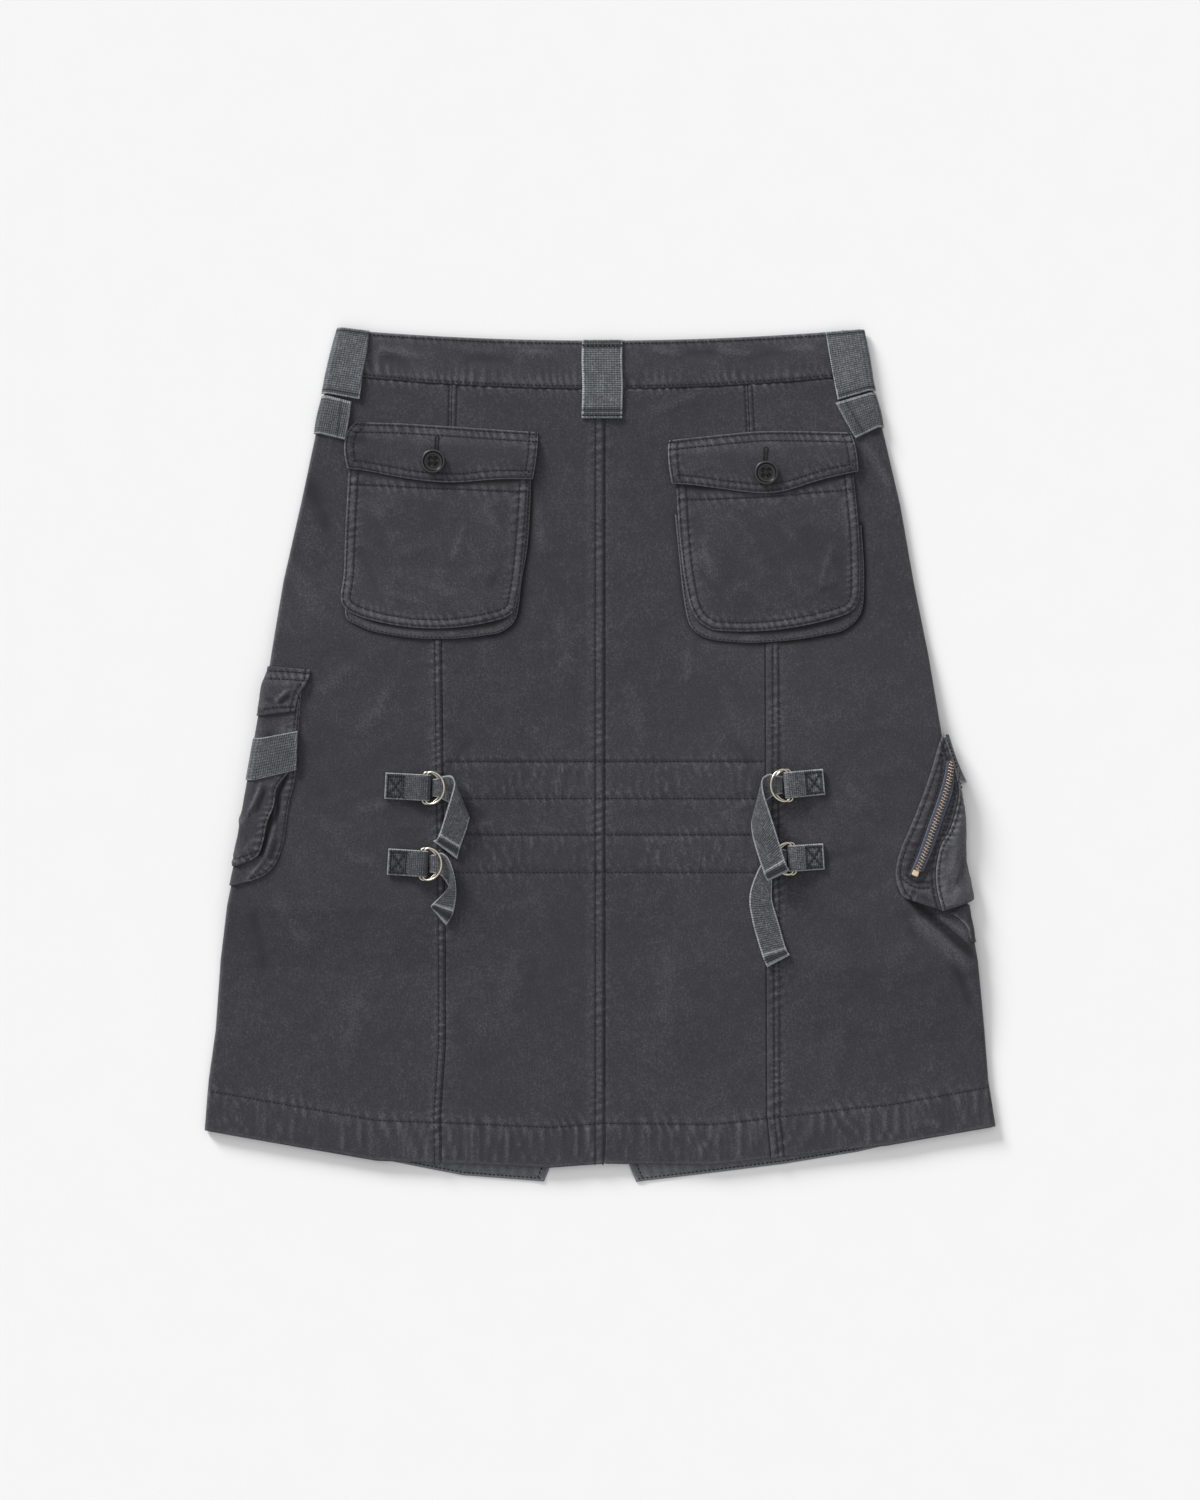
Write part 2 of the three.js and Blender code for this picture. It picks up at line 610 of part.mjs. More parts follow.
function pocketGusset(name, rows) {
  const face = (rise) =>
    rows.map(({ ox, oy, ix, iy }) =>
      [0, 1].map((f) => overBack(lerp(ox, ix, f), lerp(oy, iy, f), GAP + rise)),
    );
  add(name, closedWall(face(PLY), face(0)), 'cloth');
}

// Rises from its seam over the pocket's mouth, and dips a little at the lower edge
const FLAP_PROFILE = [
  { along: 0, lift: GAP },
  { along: 0.16, lift: 0.7 },
  { along: 0.4, lift: FLAP_LIFT },
  { along: 0.7, lift: FLAP_LIFT + 0.5 },
  { along: 1, lift: FLAP_LIFT - 0.1 },
];

function flapPoint(columns, across, along, rise) {
  const place = across * (columns.length - 1);
  const k = Math.min(columns.length - 2, Math.floor(place));
  const t = place - k;
  const mix = (key) => lerp(columns[k][key], columns[k + 1][key], t);
  const bend = (top, middle, bottom) =>
    top * (1 - along) * (1 - 2 * along) + 4 * middle * along * (1 - along) + bottom * along * (2 * along - 1);
  const x = bend(mix('tx'), mix('mx'), mix('bx'));
  const y = bend(mix('ty'), mix('my'), mix('by'));
  return overBack(x, y, read(FLAP_PROFILE, 'along', along, 'lift') + rise);
}

function pocketFlap(name, columns) {
  const acrossSteps = 2 * (columns.length - 1);
  const face = (rise) =>
    FLAP_PROFILE.map(({ along }) =>
      range(acrossSteps + 1).map((k) => flapPoint(columns, k / acrossSteps, along, rise)),
    );
  add(name, closedWall(face(PLY), face(0)), 'cloth');
}

// Manifold solids, for the button's four eyes
const wasm = await Module();
wasm.setup();

function toManifold(geometry) {
  const bare = geometry.clone();
  bare.deleteAttribute('normal');
  bare.deleteAttribute('uv');
  const merged = mergeVertices(bare);
  const vertProperties = new Float32Array(merged.attributes.position.array);
  const triVerts = new Uint32Array(merged.index.array);
  return new wasm.Manifold(new wasm.Mesh({ numProp: 3, vertProperties, triVerts }));
}

function fromManifold(solid) {
  const { vertProperties, triVerts, numProp } = solid.getMesh();
  const geometry = new THREE.BufferGeometry();
  const attribute = new THREE.BufferAttribute(new Float32Array(vertProperties), numProp);
  geometry.setAttribute('position', attribute);
  geometry.setIndex([...triVerts]);
  geometry.computeVertexNormals();
  return geometry;
}

function buttonGeometry() {
  const { radius, height, rim, dish, eye, spread } = BUTTON;
  const profile = [
    [0, 0],
    [radius - 1, 0],
    [radius, height / 2],
    [radius - 0.7, height],
    [radius - rim, height],
    [radius - rim - 1, height - dish],
    [0, height - dish],
  ].map(([r, z]) => new THREE.Vector2(r, z));
  const disc = new THREE.LatheGeometry(profile, 18).rotateX(Math.PI / 2);
  let solid = toManifold(disc);
  for (const [sx, sy] of [[1, 1], [1, -1], [-1, 1], [-1, -1]]) {
    const hole = new THREE.CylinderGeometry(eye, eye, 3 * height, 6).rotateX(Math.PI / 2);
    hole.translate((sx * spread) / 2 + sx * 0.7, (sy * spread) / 2 + sy * 0.7, 0);
    solid = solid.subtract(toManifold(hole));
  }
  return fromManifold(solid);
}

for (const where of ['left', 'right']) {
  const pocket = POCKETS[where];
  pocketGusset(`pocket_${where}_gusset`, pocket.gusset);
  pocketBody(`pocket_${where}_body`, pocket.body);
  pocketFlap(`pocket_${where}_flap`, pocket.flap);
  const button = add(`pocket_${where}_button`, buttonGeometry(), 'button');
  const seat = backTop(pocket.button.x, pocket.button.y) + FLAP_LIFT + 0.5 + PLY + GAP + 0.25;
  button.position.set(pocket.button.x, pocket.button.y, seat);
}

// Cargo pocket round the left fold: base with its gusset, pouch, flap and a webbing strap across it
const CARGO = {
  base: [
    { x: -223, y: 50, foldY: 50, lift: GAP, under: 100 },
    { x: -225, y: 24, foldY: 24, lift: GAP, under: 100 },
    { x: -226.5, y: 5, foldY: 5, lift: GAP, under: 100 },
    { x: -228, y: -17.2, foldY: -18, lift: GAP, under: 100 },
    { x: -232.5, y: -36.8, foldY: -39, lift: GAP, under: 100 },
    { x: -236.2, y: -63, foldY: -65, lift: GAP, under: 100 },
    { x: -241.5, y: -79.1, foldY: -82, lift: GAP, under: 96 },
    { x: -249, y: -88.5, foldY: -91, lift: GAP, under: 88 },
    { x: -260, y: -93.8, foldY: -97.5, lift: GAP, under: 78 },
  ],
  pouch: [
    { x: -224.5, y: 42, foldY: 42, lift: BODY_LIFT, under: 95 },
    { x: -226.5, y: 24, foldY: 24, lift: BODY_LIFT, under: 95 },
    { x: -229, y: -7.5, foldY: -8, lift: BODY_LIFT, under: 95 },
    { x: -234, y: -14.5, foldY: -17, lift: BODY_LIFT, under: 94 },
    { x: -241.5, y: -24.8, foldY: -29, lift: BODY_LIFT, under: 93 },
    { x: -243.8, y: -38.2, foldY: -42, lift: BODY_LIFT, under: 92 },
    { x: -249, y: -51, foldY: -55, lift: BODY_LIFT, under: 91 },
    { x: -251.2, y: -63, foldY: -67, lift: BODY_LIFT, under: 90 },
    { x: -255, y: -74, foldY: -77, lift: BODY_LIFT, under: 86 },
    { x: -261.5, y: -79, foldY: -83, lift: BODY_LIFT, under: 78 },
  ],
  flap: [
    { x: -216.8, y: 63.8, foldY: 66.4, lift: GAP, under: 98 },
    { x: -217.5, y: 57.5, foldY: 59, lift: 1.4, under: 98 },
    { x: -220.5, y: 52, foldY: 53, lift: 2.9, under: 98 },
    { x: -225, y: 45, foldY: 45, lift: 2.9, under: 98 },
    { x: -228, y: 32.6, foldY: 29.4, lift: 2.9, under: 98 },
  ],
  strap: [
    { x: -225.8, y: 18, foldY: 12.8, lift: 2.9, under: 60 },
    { x: -226.8, y: -11.2, foldY: -18.8, lift: 2.9, under: 60 },
  ],
};
wrappedPiece('cargo_base', -1, CARGO.base, PLY, 'cloth', 2, 3);
wrappedPiece('cargo_pouch', -1, CARGO.pouch, PLY, 'cloth', 2, 3);
wrappedPiece('cargo_flap', -1, CARGO.flap, PLY, 'cloth', 3, 3);
wrappedPiece('cargo_strap', -1, CARGO.strap, PLY, 'webbing', 3, 3);

// Zip pocket round the right fold: a face with the zip, and an outer panel that bulges past the fold
const ZIP_EDGES = [
  { y: 13.5, left: 255.2, seam: 256.8, out: 258 },
  { y: 8, left: 253.3, seam: 258.6, out: 259.8 },
  { y: -2, left: 250.4, seam: 262, out: 263.8 },
  { y: -15, left: 246.5, seam: 265.6, out: 267.8 },
  { y: -27, left: 242.4, seam: 268, out: 270.6 },
  { y: -42, left: 236.8, seam: 265.6, out: 273.2 },
  { y: -56, left: 231, seam: 261, out: 273.8 },
  { y: -67, left: 226.2, seam: 254.8, out: 273.8 },
  { y: -80, left: 222, seam: 251.5, out: 274.4 },
  { y: -92, left: 221.2, seam: 250.6, out: 276.5 },
  { y: -104, left: 225.2, seam: 252.2, out: 279 },
];
const ZIP_BOTTOM = { leftX: 229, leftY: -107.5, seamX: 255.6, seamY: -116.5, outX: 279.4, outY: -108 };
const FACE_LIFT = 3; // the face stands over the skirt, past its slope beside the stitched edge
const FACE_SLOPE = 0.28; // share of the face's width that slopes
const UNDER_POCKET = { z: 0.5, reach: 80 };

const zipEdge = (y, name) => read(ZIP_EDGES, 'y', y, name);
const faceTop = (x, y) => backTop(x, y) + FACE_LIFT + PLY;

function zipFace() {
  const columns = [0, FACE_SLOPE, 0.52, 0.76, 1];
  const lifts = [GAP, FACE_LIFT, FACE_LIFT, FACE_LIFT, FACE_LIFT];
  const face = (rise) => {
    const lines = ZIP_EDGES.map(({ y, left, seam }) =>
      columns.map((f, i) => overBack(lerp(left, seam - GAP / 2, f), y, lifts[i] + rise)),
    );
    const { leftX, leftY, seamX, seamY } = ZIP_BOTTOM;
    lines.push(
      columns.map((f, i) =>
        overBack(lerp(leftX, seamX - GAP / 2, f), lerp(leftY, seamY, f), lifts[i] + rise),
      ),
    );
    return lines;
  };
  add('zip_pocket_face', closedWall(face(PLY), face(0)), 'cloth');
}
zipFace();

// Section of the outer panel: x from the seam to the outermost point, then z and the wall's direction
function zipOuter() {
  const section = (seam, out, y) => {
    const top = backTop(seam, y) + FACE_LIFT + PLY;
    const { z, reach } = UNDER_POCKET;
    return [
      { x: seam + GAP / 2, z: top, nx: 0, nz: 1 },
      { x: lerp(seam, out, 0.62), z: top - 1.1, nx: 0.5, nz: 0.85 },
      { x: out, z: top - 5.8, nx: 1, nz: 0 },
      { x: out - 1.2, z: z + 3.2, nx: 0.85, nz: -0.5 },
      { x: out - 4.5, z: z + 0.6, nx: 0.35, nz: -0.9 },
      { x: out - 0.35 * reach, z, nx: 0, nz: -1 },
      { x: out - reach, z, nx: 0, nz: -1 },
    ];
  };
  const rows = ZIP_EDGES.map(({ y, seam, out }) => ({ seam, out, y0: y, y1: y }));
  const { seamX, seamY, outX, outY } = ZIP_BOTTOM;
  rows.push({ seam: seamX, out: outX, y0: seamY, y1: outY });
  const face = (inset) =>
    rows.map(({ seam, out, y0, y1 }) =>
      section(seam, out, y0).map(({ x, z, nx, nz }, i) => {
        const y = i < 2 ? lerp(y0, y1, i / 2) : y1;
        return new THREE.Vector3(x - nx * inset, y, z - nz * inset);
      }),
    );
  add('zip_pocket_outer', closedWall(face(0), face(PLY)), 'cloth');
}
zipOuter();

// The zip on the face: tape, chain of teeth and bottom stop
const ZIP_LINE = [
  { x: 262.2, y: -3.8, left: 3, right: 0.1 },
  { x: 261.3, y: -15.8, left: 4.6, right: 3 },
  { x: 257.2, y: -31.5, left: 5.2, right: 5.2 },
  { x: 250.5, y: -50.2, left: 5.2, right: 5.2 },
  { x: 243.8, y: -69.8, left: 5.2, right: 5.2 },
  { x: 236.2, y: -88.4, left: 5.2, right: 5.2 },
];
const TAPE = 0.6;
const CHAIN = { half: 2.05, height: 1.2 };

function zipStrip(name, finish, half, lift, thickness) {
  const rows = ZIP_LINE.map(({ x, y, left, right }) => ({
    x,
    y,
    left: Math.min(left, half),
    right: Math.min(right, half),
  }));
  const face = (rise) =>
    rows.map(({ x, y, left, right }) =>
      [-left, right].map((d) => new THREE.Vector3(x + d, y + 0.3 * d, faceTop(x, y) + lift + rise)),
    );
  add(name, closedWall(face(thickness), face(0)), finish);
}
zipStrip('zip_tape', 'tape', 5.2, GAP, TAPE);
zipStrip('zip_chain', 'brass', CHAIN.half, 2 * GAP + TAPE, CHAIN.height);

function zipStop() {
  const end = ZIP_LINE[ZIP_LINE.length - 1];
  const stop = add('zip_stop', new THREE.BoxGeometry(5, 4.6, 1.4), 'brass');
  stop.position.set(end.x - 0.9, end.y + 0.2, faceTop(end.x, end.y) + 4 * GAP + TAPE + CHAIN.height + 0.7);
  stop.rotation.z = -0.36;
}
zipStop();

// Webbing pull at the top of the zip pocket, seen on edge outside the fold
function ribbon(name, rows, thickness, finish) {
  const centre = rows.map(({ a, b }) => [a, b].map((p) => new THREE.Vector3(...p)));
  const normals = centre.map(([a, b], k) => {
    const before = centre[Math.max(0, k - 1)];
    const after = centre[Math.min(centre.length - 1, k + 1)];
    const along = after[0].clone().add(after[1]).sub(before[0]).sub(before[1]);
    return along.cross(b.clone().sub(a)).normalize();
  });
  const face = (way) =>
    centre.map(([a, b], k) => {
      const half = (way * (rows[k].thick ?? thickness)) / 2;
      return [0, 0.5, 1].map((f) => a.clone().lerp(b, f).addScaledVector(normals[k], half));
    });
  add(name, closedWall(face(1), face(-1)), finish);
}

ribbon(
  'zip_pull',
  [
    { a: [259.6, 15.5, 9.5], b: [260.1, 14.5, 5] },
    { a: [264.2, 0, 11.5], b: [264.4, -0.5, 3.2] },
    { a: [268.9, -13, 12], b: [269.4, -14, 2.6] },
    { a: [272.6, -21, 12], b: [273.4, -22, 2.6] },
  ],
  WEBBING,
  'webbing',
);

// Reinforcing patch below the zip pocket, round the fold
wrappedPiece(
  'zip_pocket_patch',
  1,
  [
    { x: 262, y: -118.4, foldY: -112, lift: GAP, under: 60 },
    { x: 268, y: -122, foldY: -121, lift: GAP, under: 60 },
    { x: 274.5, y: -129, foldY: -131, lift: GAP, under: 60 },
    { x: 278.2, y: -139, foldY: -140, lift: GAP, under: 60 },
  ],
  PLY,
  'cloth',
  2,
  2,
);

// Adjusting straps at the casings. Each has a tab sewn to the side panel, two rings and a free end.
// way is the direction from the tab to its rings; x is the bar of the upper ring.
const ADJUSTERS = [
  { name: 'upper_left', way: 1, x: -129.6, y: -24.4, turn: -0.05, length: 31 },
  { name: 'lower_left', way: 1, x: -131.6, y: -81.2, turn: -0.06, length: 27 },
  { name: 'upper_right', way: -1, x: 140.6, y: -22.4, turn: 0.09, length: 27 },
  { name: 'lower_right', way: -1, x: 143.4, y: -77.2, turn: 0.06, length: 24 },
];
const RING_OFFSET = 2.6; // the lower ring lies this much nearer the tab

// Side view of a tab: webbing folded round both ring bars and sewn flat behind them
function tabGeometry(length) {
  const { width, ply, barLow, barHigh, slot } = TAB;
  const wire = RING.wire + GAP;
  const low = barLow - wire;
  const high = barHigh + wire;
  const middle = (low + high) / 2;
  const inner = (high - low) / 2;
  const outerRadius = inner + ply;
  const arc = (radius, steps, from, to) =>
    range(steps + 1).map((k) => {
      const angle = lerp(from, to, k / steps);
      return new THREE.Vector2(radius * Math.cos(angle), middle + radius * Math.sin(angle));
    });
  const outline = new THREE.Shape([
    ...arc(outerRadius, 5, -Math.PI / 2, Math.PI / 2),
    new THREE.Vector2(-slot + 3, high + ply - 0.8),
    new THREE.Vector2(-slot - 3, low + ply + 0.4),
    new THREE.Vector2(-length, low + ply),
    new THREE.Vector2(-length, low - ply),
  ]);
  outline.holes.push(
    new THREE.Path([
      ...arc(inner, 4, -Math.PI / 2, Math.PI / 2),
      new THREE.Vector2(-5, high - 0.2),
      new THREE.Vector2(-slot, low + 0.2),
      new THREE.Vector2(-5, low),
    ]),
  );
  const solid = new THREE.ExtrudeGeometry(outline, { depth: width, bevelEnabled: false });
  solid.translate(0, 0, -width / 2);
  return solid.rotateX(Math.PI / 2);
}

// A ring is a straight bar and a round bow, of round wire. rise tilts the bow up from the bar.
function ringGeometry(rise) {
  const { wire, height, width, steps, sides } = RING;
  const half = height / 2 - wire;
  const corner = 1.2;
  const bow = range(steps - 3).map((k) => {
    const angle = lerp(-Math.PI / 2, Math.PI / 2, k / (steps - 4));
    const reach = width - 2 * wire - corner;
    return [corner + reach * Math.cos(angle), half * Math.sin(angle)];
  });
  const path = [[0, -half + corner], ...bow, [0, half - corner], [0, 0]];
  const spine = path.map(([x, y]) => new THREE.Vector3(x, y, (rise * x) / width));
  const count = spine.length;
  const points = [];
  const faces = [];
  const up = new THREE.Vector3(0, 0, 1);
  spine.forEach((p, k) => {
    const ahead = spine[(k + 1) % count].clone().sub(spine[(k + count - 1) % count]).normalize();
    const side = ahead.clone().cross(up).normalize();
    const top = side.clone().cross(ahead).normalize();
    for (let s = 0; s < sides; s += 1) {
      const angle = (2 * Math.PI * s) / sides;
      points.push(
        p.clone().addScaledVector(side, wire * Math.cos(angle)).addScaledVector(top, wire * Math.sin(angle)),
      );
      const a = k * sides + s;
      const b = k * sides + ((s + 1) % sides);
      const c = ((k + 1) % count) * sides + s;
      const d = ((k + 1) % count) * sides + ((s + 1) % sides);
      faces.push([a, b, d], [a, d, c]);
    }
  });
  return closedGeometry(points, faces);
}

for (const { name, way, x, y, turn, length } of ADJUSTERS) {
  const ground = backTop(x, y);
  const place = (mesh, dx, dz) => {
    mesh.position.set(x + dx, y, ground + dz);
    mesh.rotation.z = turn + (way < 0 ? Math.PI : 0);
  };
  place(add(`tab_${name}`, tabGeometry(length), 'webbing'), 0, SEAM_RISE + 0.1);
  place(add(`ring_${name}_low`, ringGeometry(0), 'ring'), -way * RING_OFFSET, SEAM_RISE + 0.1 + TAB.barLow);
  place(add(`ring_${name}_high`, ringGeometry(RING.tilt), 'ring'), 0, SEAM_RISE + 0.1 + TAB.barHigh);
}

// Free ends. Each strap leaves its casing, turns back round the bow of the lower ring, passes under
// the bow of the upper one and falls over itself. Columns: edge a, edge b, height of each over the back.
const STRAPS = {
  upper_left: [
    { ax: -117, ay: -15.4, ah: 1.4, bx: -117, by: -33.4, bh: 1.4 },
    { ax: -121.5, ay: -17, ah: 1.4, bx: -121.5, by: -31.6, bh: 1.4 },
    { ax: -125.2, ay: -18, ah: 3.3, bx: -125.2, by: -30.8, bh: 3.3 },
    { ax: -121.5, ay: -17.4, ah: 5.2, bx: -121.5, by: -31.4, bh: 5.2 },
    { ax: -116, ay: -15.5, ah: 5.2, bx: -116, by: -34, bh: 5.2 },
    { ax: -112, ay: -15.2, ah: 6, bx: -104, by: -40, bh: 3.6 },
    { ax: -109.5, ay: -17, ah: 8.2, bx: -98, by: -46, bh: 4.8 },
    { ax: -109, ay: -23, ah: 9.6, bx: -98, by: -49, bh: 6.6 },
    { ax: -113.6, ay: -38.8, ah: 8, bx: -99.5, by: -55, bh: 5.4 },
    { ax: -120.6, ay: -60.3, ah: 4, bx: -104.6, by: -70, bh: 3.2 },
    { ax: -124.6, ay: -64.2, ah: 3.4, bx: -106.6, by: -77.8, bh: 2.4, thick: 2.4 },
  ],
  lower_left: [
    { ax: -116.9, ay: -73, ah: 1.4, bx: -116.9, by: -90, bh: 1.4 },
    { ax: -123.5, ay: -74, ah: 1.4, bx: -123.5, by: -88.4, bh: 1.4 },
    { ax: -127.2, ay: -74.8, ah: 3.3, bx: -127.2, by: -87.6, bh: 3.3 },
    { ax: -123.5, ay: -74.2, ah: 5.2, bx: -123.5, by: -88.2, bh: 5.2 },
    { ax: -118, ay: -73, ah: 5.2, bx: -118, by: -90.6, bh: 5.2 },
    { ax: -112.6, ay: -78, ah: 6.4, bx: -112.6, by: -99, bh: 3.6 },
    { ax: -108.4, ay: -91, ah: 7.2, bx: -114, by: -100.5, bh: 4.6 },
    { ax: -107.4, ay: -104, ah: 4.8, bx: -119, by: -105.5, bh: 4.6 },
    { ax: -110, ay: -119, ah: 2.6, bx: -125.6, by: -111.8, bh: 3.4 },
    { ax: -115, ay: -127.4, ah: 2.2, bx: -126.2, by: -113.6, bh: 2.8, thick: 2.4 },
  ],
  upper_right: [
    { ax: 126.5, ay: -14, ah: 1.4, bx: 126.5, by: -31.5, bh: 1.4 },
    { ax: 132.5, ay: -15, ah: 1.4, bx: 132.5, by: -30, bh: 1.4 },
    { ax: 136.2, ay: -16, ah: 3.3, bx: 136.2, by: -28.8, bh: 3.3 },
    { ax: 132.5, ay: -15.4, ah: 5.2, bx: 132.5, by: -29.4, bh: 5.2 },
    { ax: 127, ay: -14, ah: 5.2, bx: 127, by: -32, bh: 5.2 },
    { ax: 123.4, ay: -15.5, ah: 6.4, bx: 117, by: -40, bh: 3.6 },
    { ax: 121, ay: -19, ah: 8.6, bx: 113.8, by: -47, bh: 5 },
    { ax: 122.4, ay: -30, ah: 10.5, bx: 113, by: -54, bh: 7.2 },
    { ax: 127.6, ay: -46, ah: 11, bx: 115, by: -66, bh: 9 },
    { ax: 137.6, ay: -77.9, ah: 10.8, bx: 121.8, by: -87.4, bh: 9.6 },
    { ax: 141.3, ay: -86, ah: 9.6, bx: 124.8, by: -94, bh: 8.4, thick: 2.4 },
  ],
  lower_right: [
    { ax: 127, ay: -68.5, ah: 1.4, bx: 127, by: -86, bh: 1.4 },
    { ax: 135.5, ay: -70, ah: 1.4, bx: 135.5, by: -84.6, bh: 1.4 },
    { ax: 139.1, ay: -70.8, ah: 3.3, bx: 139.1, by: -83.6, bh: 3.3 },
    { ax: 135.5, ay: -70.2, ah: 5.2, bx: 135.5, by: -84.2, bh: 5.2 },
    { ax: 130, ay: -70, ah: 5.2, bx: 129, by: -88, bh: 5.2 },
    { ax: 119.5, ay: -83, ah: 2.4, bx: 128.5, by: -98, bh: 2 },
    { ax: 111.8, ay: -104.2, ah: 2.2, bx: 128.8, by: -109, bh: 1.8 },
    { ax: 113.8, ay: -124, ah: 2, bx: 132.4, by: -121.5, bh: 1.8 },
    { ax: 120.7, ay: -148.4, ah: 1.8, bx: 138.7, by: -143.2, bh: 1.8 },
    { ax: 124.8, ay: -158.6, ah: 2.2, bx: 142, by: -149.4, bh: 2.2, thick: 2.4 },
  ],
};
for (const [name, rows] of Object.entries(STRAPS)) {
  const lifted = rows.map(({ ax, ay, ah, bx, by, bh, thick }) => ({
    a: [ax, ay, backTop(ax, ay) + ah],
    b: [bx, by, backTop(bx, by) + bh],
    thick,
  }));
  ribbon(`strap_${name}`, lifted, PLY, 'webbing');
}

export default skirt;
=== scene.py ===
import bpy
import numpy as np
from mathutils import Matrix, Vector
from bpy.props import FloatProperty, FloatVectorProperty, PointerProperty


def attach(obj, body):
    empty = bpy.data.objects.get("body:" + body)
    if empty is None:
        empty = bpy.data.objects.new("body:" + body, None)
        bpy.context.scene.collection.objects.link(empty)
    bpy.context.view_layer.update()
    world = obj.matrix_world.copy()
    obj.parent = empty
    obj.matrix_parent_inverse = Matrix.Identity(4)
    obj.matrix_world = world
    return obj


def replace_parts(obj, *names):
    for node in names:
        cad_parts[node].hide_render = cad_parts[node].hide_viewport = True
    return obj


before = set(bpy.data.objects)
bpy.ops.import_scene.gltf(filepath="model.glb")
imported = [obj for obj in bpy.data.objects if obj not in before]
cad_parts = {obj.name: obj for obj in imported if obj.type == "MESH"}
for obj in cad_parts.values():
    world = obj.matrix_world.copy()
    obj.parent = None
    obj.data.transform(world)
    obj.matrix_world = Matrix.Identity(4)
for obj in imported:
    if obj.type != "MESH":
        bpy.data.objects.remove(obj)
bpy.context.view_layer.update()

bl_info = {
    "name": "Cargo utility skirt",
    "version": (1, 0, 0),
    "blender": (4, 5, 0),
    "location": "3D View > Sidebar > Skirt",
    "description": "Dresses the packed skirt: washed cloth, webbing straps, rings, buttons, zip and sewing",
    "category": "Mesh",
}

# Lengths are in millimetres up to the mesh, which is in metres. X runs across the skirt, Y from the
# hem to the waist and Z up from the table. Left and right are as seen from above.
MM = 0.001

CLOTH = 1.2  # wall of a single panel
PLY = 1.0  # wall of a pocket piece
WEBBING = 1.3
GAP = 0.3  # between pieces that meet at a seam or lie on each other
FOLD_RADIUS = 3.0  # outside of the side fold, half the height of the flat skirt
TURN = np.pi * FOLD_RADIUS
UNDER_REACH = 12.0  # how far a side panel runs on under the fold
HEM = 30.5
HEM_RISE = 0.4
SEAM_RISE = 0.5
WAISTBAND = 34.5
WAIST_OUT = 0.5
WAIST_IN = 1.7
CENTRE_BACK = 3.75
CENTRE_FRONT = -1.5
FELL_WIDTH = 12.5
LIFT_START = 56.0
GATHER_HEIGHT = 1.1
CRUMPLE_BROAD, CRUMPLE_FINE = 0.16, 0.09
BODY_LIFT = 2 * GAP + PLY + 0.15
BODY_PUFF = 1.5
FLAP_LIFT = BODY_LIFT + PLY + GAP + 0.4


def columns(names, *rows):
    """Rows of numbers as named columns, kept in their order."""
    return dict(zip(names.split(), np.array(rows, float).T))


def rising(names, *rows):
    """Rows of numbers as named columns, in rising order of the first column."""
    return columns(names, *sorted(rows))


# Where the cloth turns under at the sides
FOLDS = rising(
    "y left right",
    (320, -195, 195.8),
    (281, -204.4, 202.5),
    (235, -214.1, 213.8),
    (187, -224.3, 225),
    (131, -237, 234.8),
    (75, -246, 246),
    (15, -255.4, 255.8),
    (-20, -261.6, 264.5),
    (-50, -267, 268.5),
    (-75, -271.5, 270.5),
    (-112, -279, 275.3),
    (-154, -284.3, 282.8),
    (-206, -288, 288),
    (-244, -293.3, 291),
    (-281, -296.2, 296.8),
)

# The two princess seams of the back
PRINCESS = rising(
    "y left right",
    (290, -110.2, 110),
    (240, -111.4, 112.5),
    (140, -116.5, 120.5),
    (90, -118.5, 123.8),
    (-4.5, -117.4, 123.9),
    (-115, -115.9, 124.2),
    (-215, -115.6, 124.8),
    (-270, -119.2, 125),
    (-310, -118.5, 129),
)

# Lower edges: the back hem, and the front hem that hangs below it beside the slit
HEM_LINE = rising(
    "x back front",
    (-297, -281, -281),
    (-232, -292.5, -291),
    (-167, -303.8, -302.5),
    (-124, -305.3, -311),
    (-103, -306, -315),
    (-38, -309, -320),
    (3, -306, -320),
    (27, -306.3, -320),
    (86, -306.8, -313),
    (138, -300.8, -306.5),
    (193, -294.5, -297.5),
    (215, -292.5, -292.5),
    (297, -278, -278),
)

# Edges of the front slit
SLIT = rising(
    "y left right",
    (-320, -42, 27),
    (-308, -37, 22),
    (-266, -17.5, 8),
    (-228, CENTRE_FRONT, CENTRE_FRONT),
    (330, CENTRE_FRONT, CENTRE_FRONT),
)

# The pockets that run on under the folds lift the side panels off the table
LIFTS = columns(
    "side fade_top top bottom fade_bottom rise",
    (-1, 140, 90, -115, -160, 4.4),
    (1, 90, 20, -160, -215, 4.4),
)

# Stitch lines of the two gathered casings
CASINGS = columns("top bottom", (-4.5, -32.2), (-59.2, -87.8))


def blend(a, b, t):
    return a + (b - a) * t


def ease(t):
    """0 below 0, 1 above 1, and a smooth cubic step between."""
    t = np.clip(t, 0, 1)
    return t * t * (3 - 2 * t)


def bump(distance, width):
    """A bell of height 1 over the distance, with the given half width."""
    return np.exp(-((distance / width) ** 2))


def side_name(side):
    return "left" if side < 0 else "right"


def fold_x(side, y):
    return np.interp(y, FOLDS["y"], FOLDS[side_name(side)])


def tangent_x(side, y):
    return fold_x(side, y) - side * FOLD_RADIUS


def princess_x(side, y):
    return np.interp(y, PRINCESS["y"], PRINCESS[side_name(side)])


def slit_x(side, y):
    return np.interp(y, SLIT["y"], SLIT[side_name(side)])


def hem_y(x):
    return np.interp(x, HEM_LINE["x"], HEM_LINE["back"])


def front_hem_y(x):
    return np.interp(x, HEM_LINE["x"], HEM_LINE["front"])


def band_seam_y(x):
    return 274 + 0.000274 * x * x


def band_top_y(x):
    return 310.3 + 0.00022 * x * x


def front_seam_y(x):
    return 264 + 0.00052 * x * x


